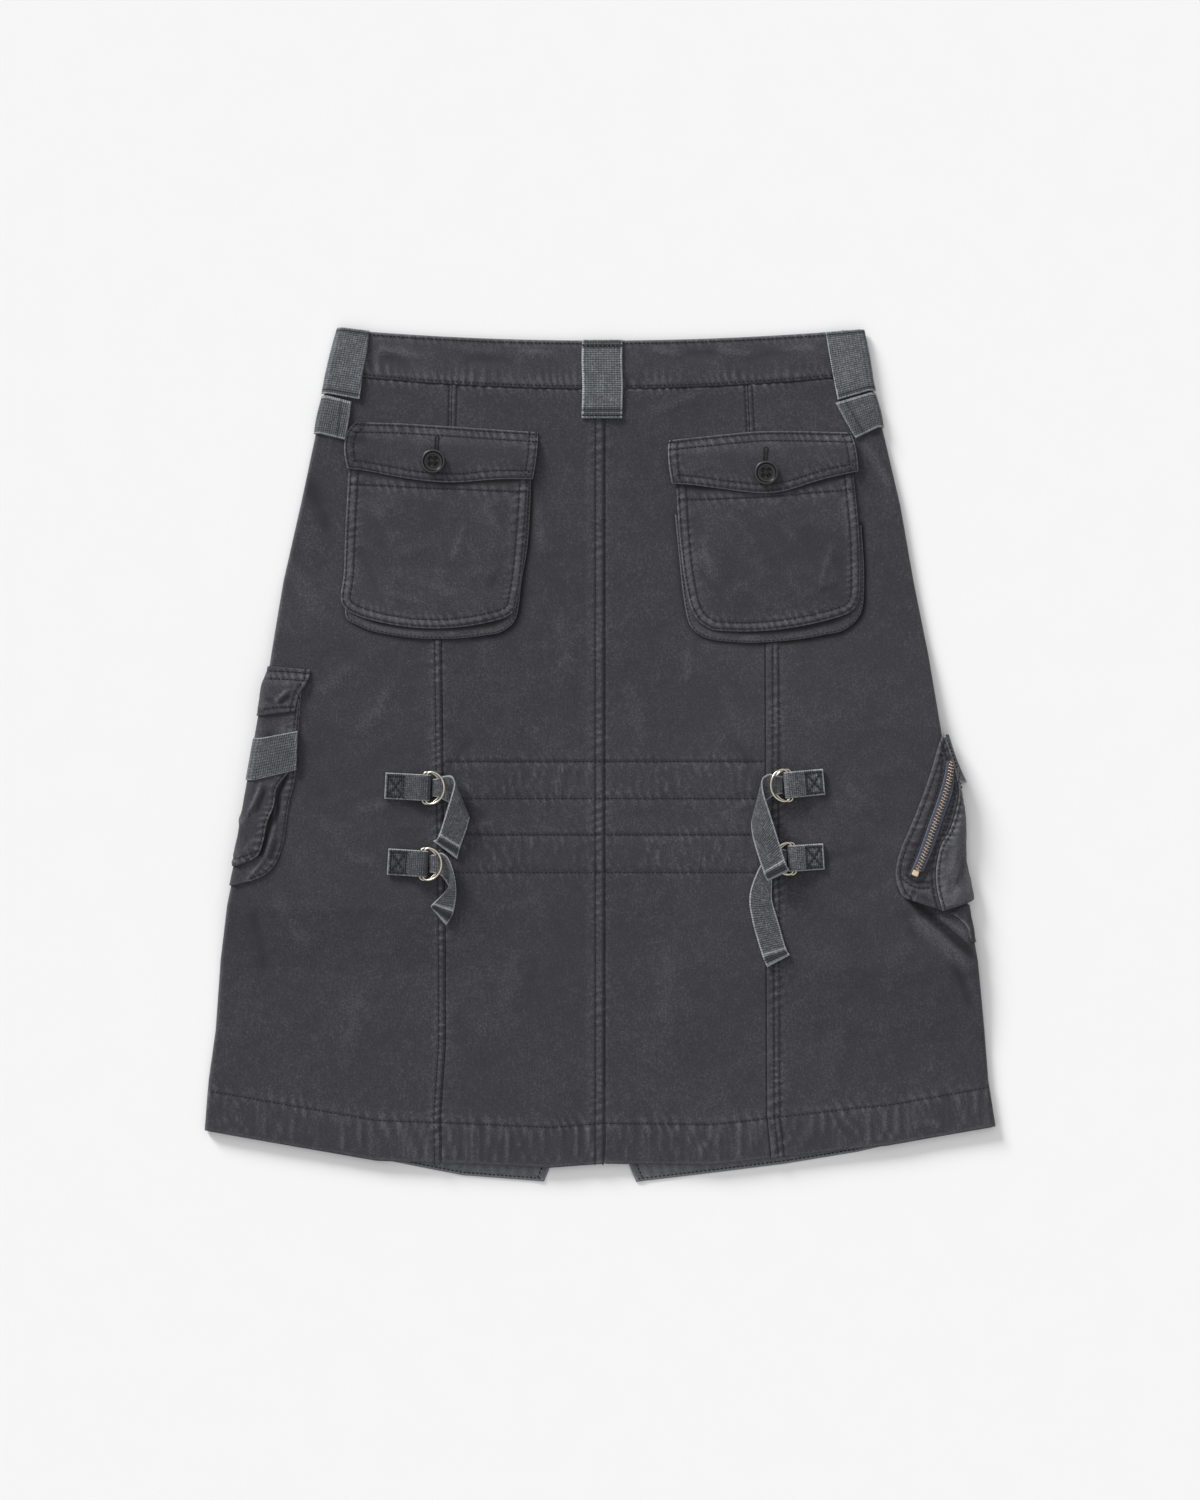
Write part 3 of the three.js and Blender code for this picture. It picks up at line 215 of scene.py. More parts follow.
def underside(x, y):
    """Height of the front's lower face: a plateau over each side pocket, with straight slopes round it."""
    z = np.zeros(np.broadcast(x, y).shape)
    for side, fade_top, top, bottom, fade_bottom, rise in zip(*LIFTS.values()):
        across = np.clip((side * x - LIFT_START) / (side * princess_x(side, y) - LIFT_START), 0, 1)
        above = np.clip((fade_top - y) / (fade_top - top), 0, 1)
        below = np.clip((y - fade_bottom) / (bottom - fade_bottom), 0, 1)
        z = z + rise * across * above * below
    return z


def back_top(x, y):
    """Height of the back's plain upper face: two fold radii, with slow waves that die out at the folds."""
    inside = np.minimum(x - fold_x(-1, y), fold_x(1, y) - x)
    wave = np.sin(x / 31 + 0.4) * np.cos(y / 74 + 0.9) + 0.6 * np.sin(x / 47 - y / 58)
    return underside(x, y) + 2 * FOLD_RADIUS + 0.2 * wave * ease((inside - FOLD_RADIUS) / 45)


def points(x, y, z):
    """Three arrays as one array of points."""
    return np.stack(np.broadcast_arrays(x, y, z), axis=-1).astype(float)


def pairs(x, y):
    """Two arrays as one array of points in plan."""
    return np.stack([x, y], axis=-1)


def unit(vectors):
    return vectors / np.linalg.norm(vectors, axis=1, keepdims=True)


def over_back(x, y, lift):
    return points(x, y, back_top(x, y) + lift)


def skin(side, inward, y, lift):
    """Points over the skin near a side fold. inward is the length along the cloth from where the fold
    begins: positive on the back, a half circle for the next TURN, and then flat on the underside."""
    x0 = tangent_x(side, y)
    flat_x = x0 - side * inward
    flat_z = back_top(flat_x, y) + lift
    angle = np.clip(-inward / FOLD_RADIUS, 0, np.pi)
    radius = FOLD_RADIUS + lift
    turn_x = x0 + side * radius * np.sin(angle)
    turn_z = underside(x0, y) + FOLD_RADIUS + radius * np.cos(angle)
    under_x = x0 + side * (inward + TURN)
    under_z = underside(under_x, y) - lift
    x = np.where(inward >= 0, flat_x, np.where(inward > -TURN, turn_x, under_x))
    z = np.where(inward >= 0, flat_z, np.where(inward > -TURN, turn_z, under_z))
    return points(x, y, z)


def flow(values, at):
    """A smooth curve through values numbered 0, 1, 2 and on, read at the numbers in at: a cubic between
    neighbours whose slope at each value is that of the chord over it."""
    values = np.asarray(values, float)
    k = np.clip(np.floor(at).astype(int), 0, len(values) - 2)
    t = at - k
    before = 2 * values[0] - values[1]
    after = 2 * values[-1] - values[-2]
    longer = np.concatenate([[before], values, [after]])
    a, b, c, d = longer[k], longer[k + 1], longer[k + 2], longer[k + 3]
    return b + 0.5 * t * (c - a + t * (2 * a - 5 * b + 4 * c - d + t * (3 * (b - c) + d - a)))


def smooth_rows(table, at):
    """The table's columns, read on their smooth curves at the row numbers in at."""
    return {key: flow(values, at) for key, values in table.items()}


def lengths_reached(steps):
    return np.concatenate([[0], np.cumsum(steps)])


def even_places(steps, pitch):
    """Row numbers that lie a pitch apart, where steps holds the distances between following rows."""
    reached = lengths_reached(steps)
    count = max(2, int(round(reached[-1] / pitch)) + 1)
    return np.interp(np.linspace(0, reached[-1], count), reached, np.arange(len(reached)))


def spacing(*coordinates):
    """Distances between following points."""
    return np.sqrt(sum(np.diff(c) ** 2 for c in coordinates))


def resample(path, pitch):
    """Points a pitch apart on the smooth curve through the path's points."""
    path = np.asarray(path, float)
    at = even_places(spacing(*path.T), pitch)
    return np.stack([flow(c, at) for c in path.T], axis=-1)


def shift(path, offset):
    """The path moved to its left by the offset."""
    ahead = unit(np.gradient(path[:, :2], axis=0))
    normal = pairs(-ahead[:, 1], ahead[:, 0])
    return path[:, :2] + normal * offset


def lattice_noise(x, y, size, seed):
    """Smooth random heights from -1 to 1: random values on a square lattice, blended by cubic steps."""
    values = np.random.default_rng(seed).uniform(-1, 1, (64, 64))
    u, v = x / size, y / size
    i, j = np.floor(u).astype(int), np.floor(v).astype(int)
    s, t = ease(u - i), ease(v - j)
    i0, i1, j0, j1 = i % 64, (i + 1) % 64, j % 64, (j + 1) % 64
    low = blend(values[i0, j0], values[i1, j0], s)
    high = blend(values[i0, j1], values[i1, j1], s)
    return blend(low, high, t)


def uneven_wave(along, period, seed):
    """A wave whose steps and strength wander, as in cloth drawn up by a seam."""
    phase = along / period + 0.33 * np.sin(along / 17 + seed) + 0.21 * np.sin(along / 6.1 + 2.3 * seed)
    strength = 0.68 + 0.32 * np.sin(along / 11 + 3 * seed)
    return np.sin(2 * np.pi * phase) * strength


def nearest_on(path, x, y):
    """Signed distance of each point from a path, positive on its left, and the length along the path to
    the sample nearest to it."""
    path = resample(np.asarray(path, float)[:, :2], 1.5).astype(np.float32)
    ahead = unit(np.gradient(path, axis=0))
    reached = lengths_reached(spacing(*path.T))
    flat = pairs(np.ravel(x), np.ravel(y)).astype(np.float32)
    nearest = np.empty(len(flat), int)
    for start in range(0, len(flat), 4096):
        part = flat[start : start + 4096]
        gaps = ((part[:, None, :] - path[None, :, :]) ** 2).sum(axis=-1)
        nearest[start : start + 4096] = gaps.argmin(axis=1)
    away = flat - path[nearest]
    on_path = ahead[nearest]
    beside = on_path[:, 0] * away[:, 1] - on_path[:, 1] * away[:, 0]
    beyond = (on_path * away).sum(axis=1)
    distance = np.where(np.abs(beyond) > 2, np.hypot(*away.T) * np.sign(beside), beside)
    return distance.reshape(np.shape(x)), (reached[nearest] + beyond).reshape(np.shape(x))


class Seam:
    """A sewn line: its path, the offsets of its stitch rows to the path's left, how deep and far the cloth puckers
    across it, the puckers' step, and how pale its ridges are worn, which also sets the painted shade in the pucker
    hollows."""

    def __init__(self, path, rows=(0,), depth=0.28, reach=4.5, period=6.3, pale=0.5, seed=1.0, dent=0.2):
        self.path = np.asarray(path, float)[:, :2]
        self.rows = rows
        self.depth = depth
        self.reach = reach
        self.period = period
        self.pale = pale
        self.seed = seed
        self.dent = dent

    def mark(self, x, y, relief, wear):
        """Adds the seam's pucker bars and the dents under its stitches to the relief. The wear attribute gets pale worn
        crests, and painted shade in the pucker hollows and in the dents.
        """
        scale = bpy.context.scene.skirt_sizes.pucker
        distance, along = nearest_on(self.path, x, y)
        middle = float(np.mean(self.rows)) if self.rows else 0.0
        near = bump(distance - middle, self.reach)
        wave = uneven_wave(along + 0.4 * distance, self.period, self.seed) * near
        relief += scale * self.depth * wave
        # crests paler with wear, hollows darker with painted shade
        wear += self.pale * (0.75 * np.maximum(wave, 0) - 0.35 * np.maximum(-wave, 0) + 0.25 * near)
        for row in self.rows:
            dent = bump(distance - row, 0.75)
            relief -= self.dent * dent
            # painted shade in the dent under the stitch row
            wear -= 0.45 * dent

    def runs(self):
        return [shift(resample(self.path, 3.0), row) for row in self.rows]


def creases(x, y, table):
    """Listed soft folds. Each is a bell-shaped ridge, or a trough where its height is negative, along a straight line,
    which fades out at both ends."""
    relief = np.zeros(np.shape(x))
    for x0, y0, x1, y1, width, height in zip(*table.values()):
        run = np.array([x1 - x0, y1 - y0])
        length = np.hypot(*run)
        ahead = run / length
        along = ((x - x0) * ahead[0] + (y - y0) * ahead[1]) / length
        beside = (y - y0) * ahead[0] - (x - x0) * ahead[1]
        bend = 0.12 * length * (along - along**2)
        relief += height * bump(beside - bend, width) * ease(3.5 * along) * ease(3.5 * (1 - along))
    return relief


def crumple(x, y, seed):
    """Small all-over unevenness of washed cloth: the creased edges between patches of slow noise."""
    a = lattice_noise(x + 0.4 * y, y - 0.3 * x, 17, seed)
    b = lattice_noise(x - 0.5 * y, y + 0.2 * x, 31, seed + 1)
    c = lattice_noise(x, y, 7.5, seed + 2)
    return CRUMPLE_BROAD * (1 - 3 * np.abs(a)) * 0.5 + CRUMPLE_BROAD * b + CRUMPLE_FINE * c


def creased(x, y, seed, amount, folds, seams, worn=0.35, bright=0.0):
    """Relief of crumpled cloth with its own folds, the wear attribute of its ridges with painted shade in its hollows,
    and the seams' marks on both.
    """
    relief = bpy.context.scene.skirt_sizes.crumple * (amount * crumple(x, y, seed) + creases(x, y, folds))
    # pale on ridges; the clip at -0.5 darkens the hollows as painted shade
    wear = bright + worn * np.clip(relief, -0.5, 0.8)
    for seam in seams:
        seam.mark(x, y, relief, wear)
    return relief, wear


def carried(name, seams):
    """The stitch rows of the seams, each with the piece that carries it."""
    return [(name, run) for seam in seams for run in seam.runs()]


# Mesh making

made = {}  # piece name: the face that its stitches lie on
SHEET_LEAST = 0.0101  # metres: the least side that a sheet's size is worked out with


def new_object(name, coordinates, faces, material, attributes=None, smooth=True):
    """An object at the origin from points in millimetres and arrays of quads and triangles. The faces
    are turned outwards by the sign of the volume."""
    triangles = np.concatenate([f[:, [0, 1, 2]] for f in faces] + [f[:, [0, 2, 3]] for f in faces if f.shape[1] == 4])
    a, b, c = (coordinates[triangles[:, k]] for k in range(3))
    if (a * np.cross(b, c)).sum() < 0:
        faces = [f[:, ::-1] for f in faces]
    mesh = bpy.data.meshes.new(name)
    corners = np.concatenate([f.ravel() for f in faces]).astype(np.int32)
    sizes = np.concatenate([np.full(len(f), f.shape[1]) for f in faces])
    starts = np.concatenate([[0], np.cumsum(sizes)[:-1]]).astype(np.int32)
    mesh.vertices.add(len(coordinates))
    mesh.vertices.foreach_set("co", (coordinates * MM).astype(np.float32).ravel())
    mesh.loops.add(len(corners))
    mesh.loops.foreach_set("vertex_index", corners)
    mesh.polygons.add(len(starts))
    mesh.polygons.foreach_set("loop_start", starts)
    mesh.update(calc_edges=True)
    for key, values in (attributes or {}).items():
        mesh.attributes.new(key, "FLOAT", "POINT").data.foreach_set("value", values.astype(np.float32))
    if smooth:
        mesh.shade_smooth()
    mesh.materials.append(finishes()[material])
    piece = bpy.data.objects.new(name, mesh)
    bpy.context.scene.collection.objects.link(piece)
    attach(piece, "root")
    return piece


def grid_quads(rows, cols):
    first = (np.arange(rows - 1)[:, None] * cols + np.arange(cols - 1)[None, :]).ravel()
    return np.stack([first, first + cols, first + cols + 1, first + 1], axis=-1)


def kept_places(count, every):
    kept = np.arange(0, count, every)
    return kept if kept[-1] == count - 1 else np.append(kept, count - 1)


def rim(outer_line, inner_line, kept):
    """Triangles between an outer edge and the inner edge, which has only the kept points."""
    m = np.arange(len(outer_line) - 1)
    k = np.searchsorted(kept, m, side="right") - 1
    fans = np.stack([outer_line[m], outer_line[m + 1], inner_line[k]], axis=-1)
    joins = np.stack([inner_line[:-1], outer_line[kept[1:]], inner_line[1:]], axis=-1)
    return np.concatenate([fans, joins])


def face_normals(outer):
    """Unit normals of a grid of points, from the cross product of its two directions."""
    down = np.gradient(outer, axis=0)
    across = np.gradient(outer, axis=1)
    normal = np.cross(across, down)
    length = np.linalg.norm(normal, axis=-1, keepdims=True)
    return normal / np.maximum(length, 1e-9)


def closed_shell(name, outer, inner, material, attributes, base=None, every=2):
    """A closed wall of cloth between two grids of points, whose size and area as a sheet are worked out but not kept.
    The inner face has only every second row and column, unless every is 1, with the attributes of the outer points over
    them. base is the plain surface without relief, where it isn't the inner grid."""
    rows, cols = outer.shape[:2]
    kept_rows, kept_cols = kept_places(rows, every), kept_places(cols, every)
    inside = inner[np.ix_(kept_rows, kept_cols)]
    number = np.arange(rows * cols).reshape(rows, cols)
    inside_number = rows * cols + np.arange(inside.shape[0] * inside.shape[1]).reshape(inside.shape[:2])
    inside_quads = grid_quads(*inside.shape[:2]) + rows * cols
    rims = [
        rim(number[0], inside_number[0], kept_cols),
        rim(number[-1], inside_number[-1], kept_cols)[:, ::-1],
        rim(number[:, 0], inside_number[:, 0], kept_rows)[:, ::-1],
        rim(number[:, -1], inside_number[:, -1], kept_rows),
    ]
    coordinates = np.concatenate([outer.reshape(-1, 3), inside.reshape(-1, 3)])
    spread = {
        key: np.concatenate([values.ravel(), values[np.ix_(kept_rows, kept_cols)].ravel()])
        for key, values in attributes.items()
    }
    faces = [grid_quads(rows, cols), inside_quads[:, ::-1], np.concatenate(rims)]
    piece = new_object(name, coordinates, faces, material, spread)
    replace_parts(piece, name)
    made[name] = outer
    declare(inner if base is None else base)


def declare(base):
    """Works out a piece's size and area as a sheet of cloth, but keeps neither. Its cut is the plain surface without
    relief: the longest row and column give its size, and the sum of its cells its area."""
    widths = np.linalg.norm(np.diff(base, axis=1), axis=-1).sum(axis=1)
    lengths = np.linalg.norm(np.diff(base, axis=0), axis=-1).sum(axis=0)
    one, other = base[1:, 1:] - base[:-1, :-1], base[1:, :-1] - base[:-1, 1:]
    area = 0.5 * np.linalg.norm(np.cross(one, other), axis=-1).sum() * MM**2
    size = [max(SHEET_LEAST, round(float(v.max()) * MM, 4)) for v in (widths, lengths)]
    area = min(area, size[0] * size[1])


# Materials

RIB_PITCH = 1.6  # of webbing, in millimetres along it
WARP_STEPS = 48.0  # radians of the warp's wave over half the webbing's width
MIDDLE_STOP = 0.4  # the level at which a cloth's colour ramp has its plain colour


def add_node(material, kind, inputs=None, **settings):
    """Adds a shader node. A socket given as an input is linked, and anything else is its value."""
    tree = material.node_tree
    node = tree.nodes.new(kind)
    for key, value in settings.items():
        setattr(node, key, value)
    for key, value in (inputs or {}).items():
        if isinstance(value, bpy.types.NodeSocket):
            tree.links.new(value, node.inputs[key])
        else:
            node.inputs[key].default_value = value
    return node


def sum_up(material, operation, a, b=0.0, c=0.0):
    return add_node(material, "ShaderNodeMath", {0: a, 1: b, 2: c}, operation=operation).outputs[0]


def add_shares(material, level, *shares):
    """The level plus each part times its share."""
    for part, share in shares:
        level = sum_up(material, "MULTIPLY_ADD", part, share, level)
    return level


def object_place(material):
    return add_node(material, "ShaderNodeTexCoord").outputs["Object"]


def noise(material, coordinates, scale, detail=2.0, rough=0.55):
    inputs = {"Vector": coordinates, "Scale": scale, "Detail": detail, "Roughness": rough}
    return add_node(material, "ShaderNodeTexNoise", inputs).outputs["Fac"]


def attribute(material, name):
    return add_node(material, "ShaderNodeAttribute", attribute_name=name).outputs["Fac"]


def shades(material, factor, stops):
    """A colour ramp through (place, colour) stops."""
    ramp = add_node(material, "ShaderNodeValToRGB", {"Fac": factor})
    elements = ramp.color_ramp.elements
    while len(elements) < len(stops):
        elements.new(0.5)
    for element, (place, colour) in zip(elements, stops):
        element.position = place
        element.color = (*colour, 1)
    return ramp.outputs["Color"]


def scaled(colour, by):
    return tuple(min(1.0, c * by) for c in colour)


def start_material(name, roughness, sheen=0.0, metallic=0.0, specular=0.5):
    material = bpy.data.materials.new(name)
    material.use_nodes = True
    shader = material.node_tree.nodes["Principled BSDF"]
    shader.inputs["Roughness"].default_value = roughness
    shader.inputs["Metallic"].default_value = metallic
    shader.inputs["Specular IOR Level"].default_value = specular
    shader.inputs["Sheen Weight"].default_value = sheen
    shader.inputs["Sheen Roughness"].default_value = 0.5
    return material, shader


def link(material, socket, shader, name):
    material.node_tree.links.new(socket, shader.inputs[name])


def raise_surface(material, shader, height, strength, distance):
    inputs = {"Height": height, "Strength": strength, "Distance": distance}
    link(material, add_node(material, "ShaderNodeBump", inputs).outputs["Normal"], shader, "Normal")


def vary_roughness(material, shader, factor, low, high):
    span = {"Value": factor, "To Min": low, "To Max": high}
    link(material, add_node(material, "ShaderNodeMapRange", span).outputs[0], shader, "Roughness")


def colour_by(material, shader, factor, *stops):
    link(material, shades(material, factor, stops), shader, "Base Color")


def washed_cloth(name, colour, worn):
    """Garment-washed cotton: a fine mottle of lighter and darker yarn, slow cloudy fading, colour raised and lowered by
    the wear attribute, which holds pale worn ridges and edges along with painted shade in hollows, dents and recesses,
    and the bump of a twill weave."""
    material, shader = start_material(name, 0.88, sheen=0.12, specular=0.25)
    place = object_place(material)
    yarn = noise(material, place, 760, 3.0, 0.75)
    streak_place = add_node(material, "ShaderNodeMapping", {"Vector": place, "Scale": (1.0, 0.3, 1.0)}).outputs[0]
    streaks = noise(material, streak_place, 900, 2.0, 0.6)
    clouds = noise(material, place, 130, 3.0, 0.65)
    fading = noise(material, place, 9, 2.0, 0.5)
    rubbed = sum_up(material, "MULTIPLY_ADD", yarn, 1.1, 0.45)
    # the wear attribute lightens worn ridges and darkens hollows, dents and recesses with painted shade
    wear_and_shading_here = sum_up(material, "MULTIPLY", attribute(material, "wear"), rubbed)
    yarn_share, streak_share, cloud_share, fading_share, wear_and_shading_share = 0.5, 0.16, 0.12, 0.06, 0.36
    # every noise has the mean 0.5, so that this start brings plain cloth to the middle stop
    start = MIDDLE_STOP - 0.5 * (yarn_share + streak_share + cloud_share + fading_share)
    shares = (streaks, streak_share), (clouds, cloud_share), (fading, fading_share), (wear_and_shading_here, wear_and_shading_share)
    level = add_shares(material, sum_up(material, "MULTIPLY_ADD", yarn, yarn_share, start), *shares)
    colour_by(material, shader, level, (0.0, scaled(colour, 0.3)), (MIDDLE_STOP, colour), (1.0, worn))
    twill_place = add_node(material, "ShaderNodeMapping", {"Vector": place, "Rotation": (0, 0, 0.9)}).outputs[0]
    wave = {"Vector": twill_place, "Scale": 260.0, "Distortion": 1.2, "Detail": 1.0, "Detail Scale": 2.0}
    twill = add_node(material, "ShaderNodeTexWave", wave).outputs["Fac"]
    crinkle = noise(material, place, 260, 4.0, 0.6)
    raise_surface(material, shader, add_shares(material, crinkle, (twill, 0.25)), 0.55, 0.0005)
    return material


def ribbed_webbing(name, colour, selvedge, edge_share=0.9):
    """Cotton webbing: fine cross ribs along its length, lengthwise yarn, and pale selvedges where the across attribute
    nears -1 and 1. The wear attribute adds pale worn ends and painted shade in tucks and stitch grooves."""
    material, shader = start_material(name, 0.85, sheen=0.15, specular=0.25)
    place = object_place(material)
    across, along = attribute(material, "across"), attribute(material, "along")
    yarn = noise(material, place, 640, 3.0, 0.8)
    clouds = noise(material, place, 170, 3.0, 0.65)
    ribs = sum_up(material, "SINE", sum_up(material, "MULTIPLY", along, 2 * np.pi / RIB_PITCH))
    warp = sum_up(material, "SINE", sum_up(material, "MULTIPLY", across, WARP_STEPS))
    edge = add_node(
        material,
        "ShaderNodeMapRange",
        {
            "Value": add_shares(material, sum_up(material, "ABSOLUTE", across), (yarn, 0.1)),
            "From Min": edge_share,
            "From Max": edge_share + 0.07,
        },
        interpolation_type="SMOOTHSTEP",
    ).outputs[0]
    # selvedge paleness plus the wear attribute, which holds worn ends and painted shade
    pale = sum_up(material, "ADD", edge, attribute(material, "wear"))
    pale = sum_up(material, "MULTIPLY", pale, sum_up(material, "ADD", yarn, 0.35))
    yarn_share, cloud_share = 1.15, 0.42
    start = MIDDLE_STOP - 0.5 * (yarn_share + cloud_share)
    shares = (ribs, 0.06), (warp, 0.08), (clouds, cloud_share), (pale, 0.72)
    level = add_shares(material, sum_up(material, "MULTIPLY_ADD", yarn, yarn_share, start), *shares)
    colour_by(material, shader, level, (0.0, scaled(colour, 0.35)), (MIDDLE_STOP, colour), (1.0, selvedge))
    raise_surface(material, shader, add_shares(material, yarn, (ribs, 0.5), (warp, 0.25)), 0.7, 0.0005)
    return material


def spun_thread(name, colour):
    material, shader = start_material(name, 0.8, sheen=0.1, specular=0.3)
    twist = noise(material, object_place(material), 1500, 1.0)
    colour_by(material, shader, twist, (0.3, scaled(colour, 0.7)), (0.7, scaled(colour, 1.6)))
    raise_surface(material, shader, twist, 0.4, 0.0002)
    return material


def aged_metal(name, colour, roughness):
    """Metal with a slight cloudy tarnish and fine scratches."""
    material, shader = start_material(name, roughness, metallic=1.0)
    place = object_place(material)
    tarnish = noise(material, place, 300, 2.0, 0.5)
    colour_by(material, shader, tarnish, (0.25, scaled(colour, 0.8)), (0.6, colour))
    scratches = noise(material, place, 2400, 2.0, 0.6)
    vary_roughness(material, shader, scratches, roughness - 0.08, roughness + 0.12)
    raise_surface(material, shader, scratches, 0.15, 0.0001)
    return material


def satin_resin(name, colour):
    """Near-black resin with slow swirls, made paler and darker by the wear attribute, which holds painted highlights on
    the button's turned rings and painted shade in its eyes.
    """
    material, shader = start_material(name, 0.36, specular=0.4)
    place = object_place(material)
    swirl = noise(material, place, 340, 3.0, 0.6)
    level = sum_up(material, "MULTIPLY_ADD", swirl, 0.3, 0.2)
    level = add_shares(material, level, (attribute(material, "wear"), 0.5))
    colour_by(material, shader, level, (0.0, scaled(colour, 0.15)), (0.35, colour), (1.0, scaled(colour, 9)))
    vary_roughness(material, shader, swirl, 0.26, 0.42)
    raise_surface(material, shader, noise(material, place, 2000, 2.0), 0.12, 0.0001)
    return material


def pale_paper(name, colour):
    material, shader = start_material(name, 0.95, specular=0.1)
    grain = noise(material, object_place(material), 30, 2.0)
    colour_by(material, shader, grain, (0.3, scaled(colour, 0.995)), (0.7, colour))
    return material


finish_cache = {}


def finishes():
    """The skirt's materials by name, made on first use."""
    if not finish_cache:
        group = bpy.context.scene.skirt_colours
        colour = {key: tuple(getattr(group, key)) for key in group.__annotations__}
        cloth, worn, selvedge = colour["cloth"], colour["worn_ridge"], colour["selvedge"]
        loop, strap_colour, tape = colour["loop"], colour["strap"], colour["zip_tape"]
        made_now = [
            washed_cloth("washed_cloth", cloth, worn),
            washed_cloth("washed_waistband", scaled(cloth, 1.16), scaled(worn, 1.1)),
            ribbed_webbing("grey_webbing", loop, selvedge, 0.93),
            ribbed_webbing("charcoal_webbing", scaled(loop, 0.72), scaled(selvedge, 0.7)),
            ribbed_webbing("dark_webbing", strap_colour, scaled(selvedge, 0.85)),
            ribbed_webbing("tab_webbing", scaled(strap_colour, 0.9), scaled(selvedge, 0.9), 0.95),
            ribbed_webbing("zip_tape_weave", tape, scaled(tape, 1.8), 0.93),
            spun_thread("dark_thread", colour["thread"]),
            aged_metal("coppery_brass", colour["zip_metal"], 0.34),
            aged_metal("pale_wire", colour["ring_metal"], 0.26),
            satin_resin("button_resin", colour["button"]),
        ]
        finish_cache.update((material.name, material) for material in made_now)
    return finish_cache


# Back panels

ROUNDS = 5  # x and y of a row depend on each other, and settle in a few rounds
POCKET_FOOT = 92.0  # the princess seams come out from under the pockets here


def rows_between(curves, pitches):
    """Row numbers for a panel: whole numbers are the curves, with rows about a pitch apart between."""
    levels = [float(curve(0.0)) for curve in curves]
    parts = []
    for k, pitch in enumerate(pitches):
        count = int(round(abs(levels[k + 1] - levels[k]) / pitch))
        parts.append(k + np.arange(count) / count)
    return np.append(np.concatenate(parts), len(levels) - 1)


def row_height(curves, row, x):
    """Y on a row at x, on straight lines between the curves above and below."""
    k = np.clip(np.floor(row).astype(int), 0, len(curves) - 2)
    heights = np.stack([np.broadcast_to(curve(x), np.broadcast(x, row).shape) for curve in curves])
    k = np.broadcast_to(k, heights.shape[1:])
    above = np.take_along_axis(heights, k[None], axis=0)[0]
    below = np.take_along_axis(heights, k[None] + 1, axis=0)[0]
    return blend(above, below, row - k)


BACK_CURVES = [
    lambda x: band_seam_y(x) - GAP / 2,
    lambda x: 235.0 + 0 * x,
    lambda x: 15.0 + 0 * x,
    lambda x: -108.0 + 0 * x,
    lambda x: hem_y(x) + 46,
    hem_y,
]
BACK_PITCHES = [2.2, 2.4, 1.6, 2.4, 1.5]

# Soft folds of the back: the radiating drag lines beside the straps, the folds beside the pockets and
# the slack over the zip pocket. x0 y0 to x1 y1, half width and height
BACK_FOLDS = columns(
    "x0 y0 x1 y1 width height",
    (34, 253, 80, 271, 3.5, 0.55),
    (195, 237, 220, 194, 3.2, 1.0),
    (186, 246, 214, 238, 3, -0.4),
    (-46, 186, -44, 141, 4, 0.5),
    (66, 84, 64, 50, 3.5, 0.55),
    (-222, 215, -200, 150, 6, -0.5),
    (-236, 150, -205, 95, 6, 0.4),
    (-150, 60, -185, 8, 5, 0.45),
    (-118, -18, -90, 16, 4, -0.5),
    (-112, -30, -80, -52, 3, -0.45),
    (-110, -60, -70, -48, 3, 0.4),
    (-140, -30, -190, -44, 4, 0.45),
    (-160, -84, -196, -72, 4, 0.4),
    (118, -14, 96, 22, 4, -0.45),
    (120, -30, 84, -48, 3, 0.45),
    (150, -30, 204, -46, 4, 0.4),
    (160, -80, 210, -70, 4, -0.4),
    (214, -44, 178, -18, 5, 0.5),
    (222, -92, 178, -124, 6, 0.3),
    (250, -124, 206, -166, 6, 0.25),
    (222, -97, 246, -123, 2.6, -2.2),
    (232, -110, 284, -156, 2.8, -2.6),
    (228, -119, 278, -164, 5.0, 1.5),
    (248, -118, 280, -143, 3.4, 1.4),
    (262, -150, 279, -196, 4, -0.7),
    (224, -112, 240, -148, 4, -0.5),
    (-248, -104, -215, -152, 6, 0.55),
    (-262, -110, -250, -170, 5, -0.5),
    (-216, 40, -180, 70, 5, 0.45),
    (-220, -40, -186, -70, 5, 0.4),
    (-60, -120, -72, -200, 6, 0.35),
    (52, -128, 44, -214, 6, 0.35),
    (176, -190, 168, -262, 7, 0.35),
    (-180, -170, -196, -250, 7, 0.35),
    (20, 60, 34, -6, 6, 0.35),
    (-34, 120, -26, 40, 6, 0.3),
    (90, 60, 104, 4, 5, 0.3),
)


def vertical_line(x, top, bottom):
    y = np.linspace(top, bottom, 60)
    return pairs(np.broadcast_to(x(y) if callable(x) else x, y.shape), y)


def level_line(y, left, right):
    x = np.linspace(left, right, 90)
    return pairs(x, np.broadcast_to(y(x) if callable(y) else y, x.shape))


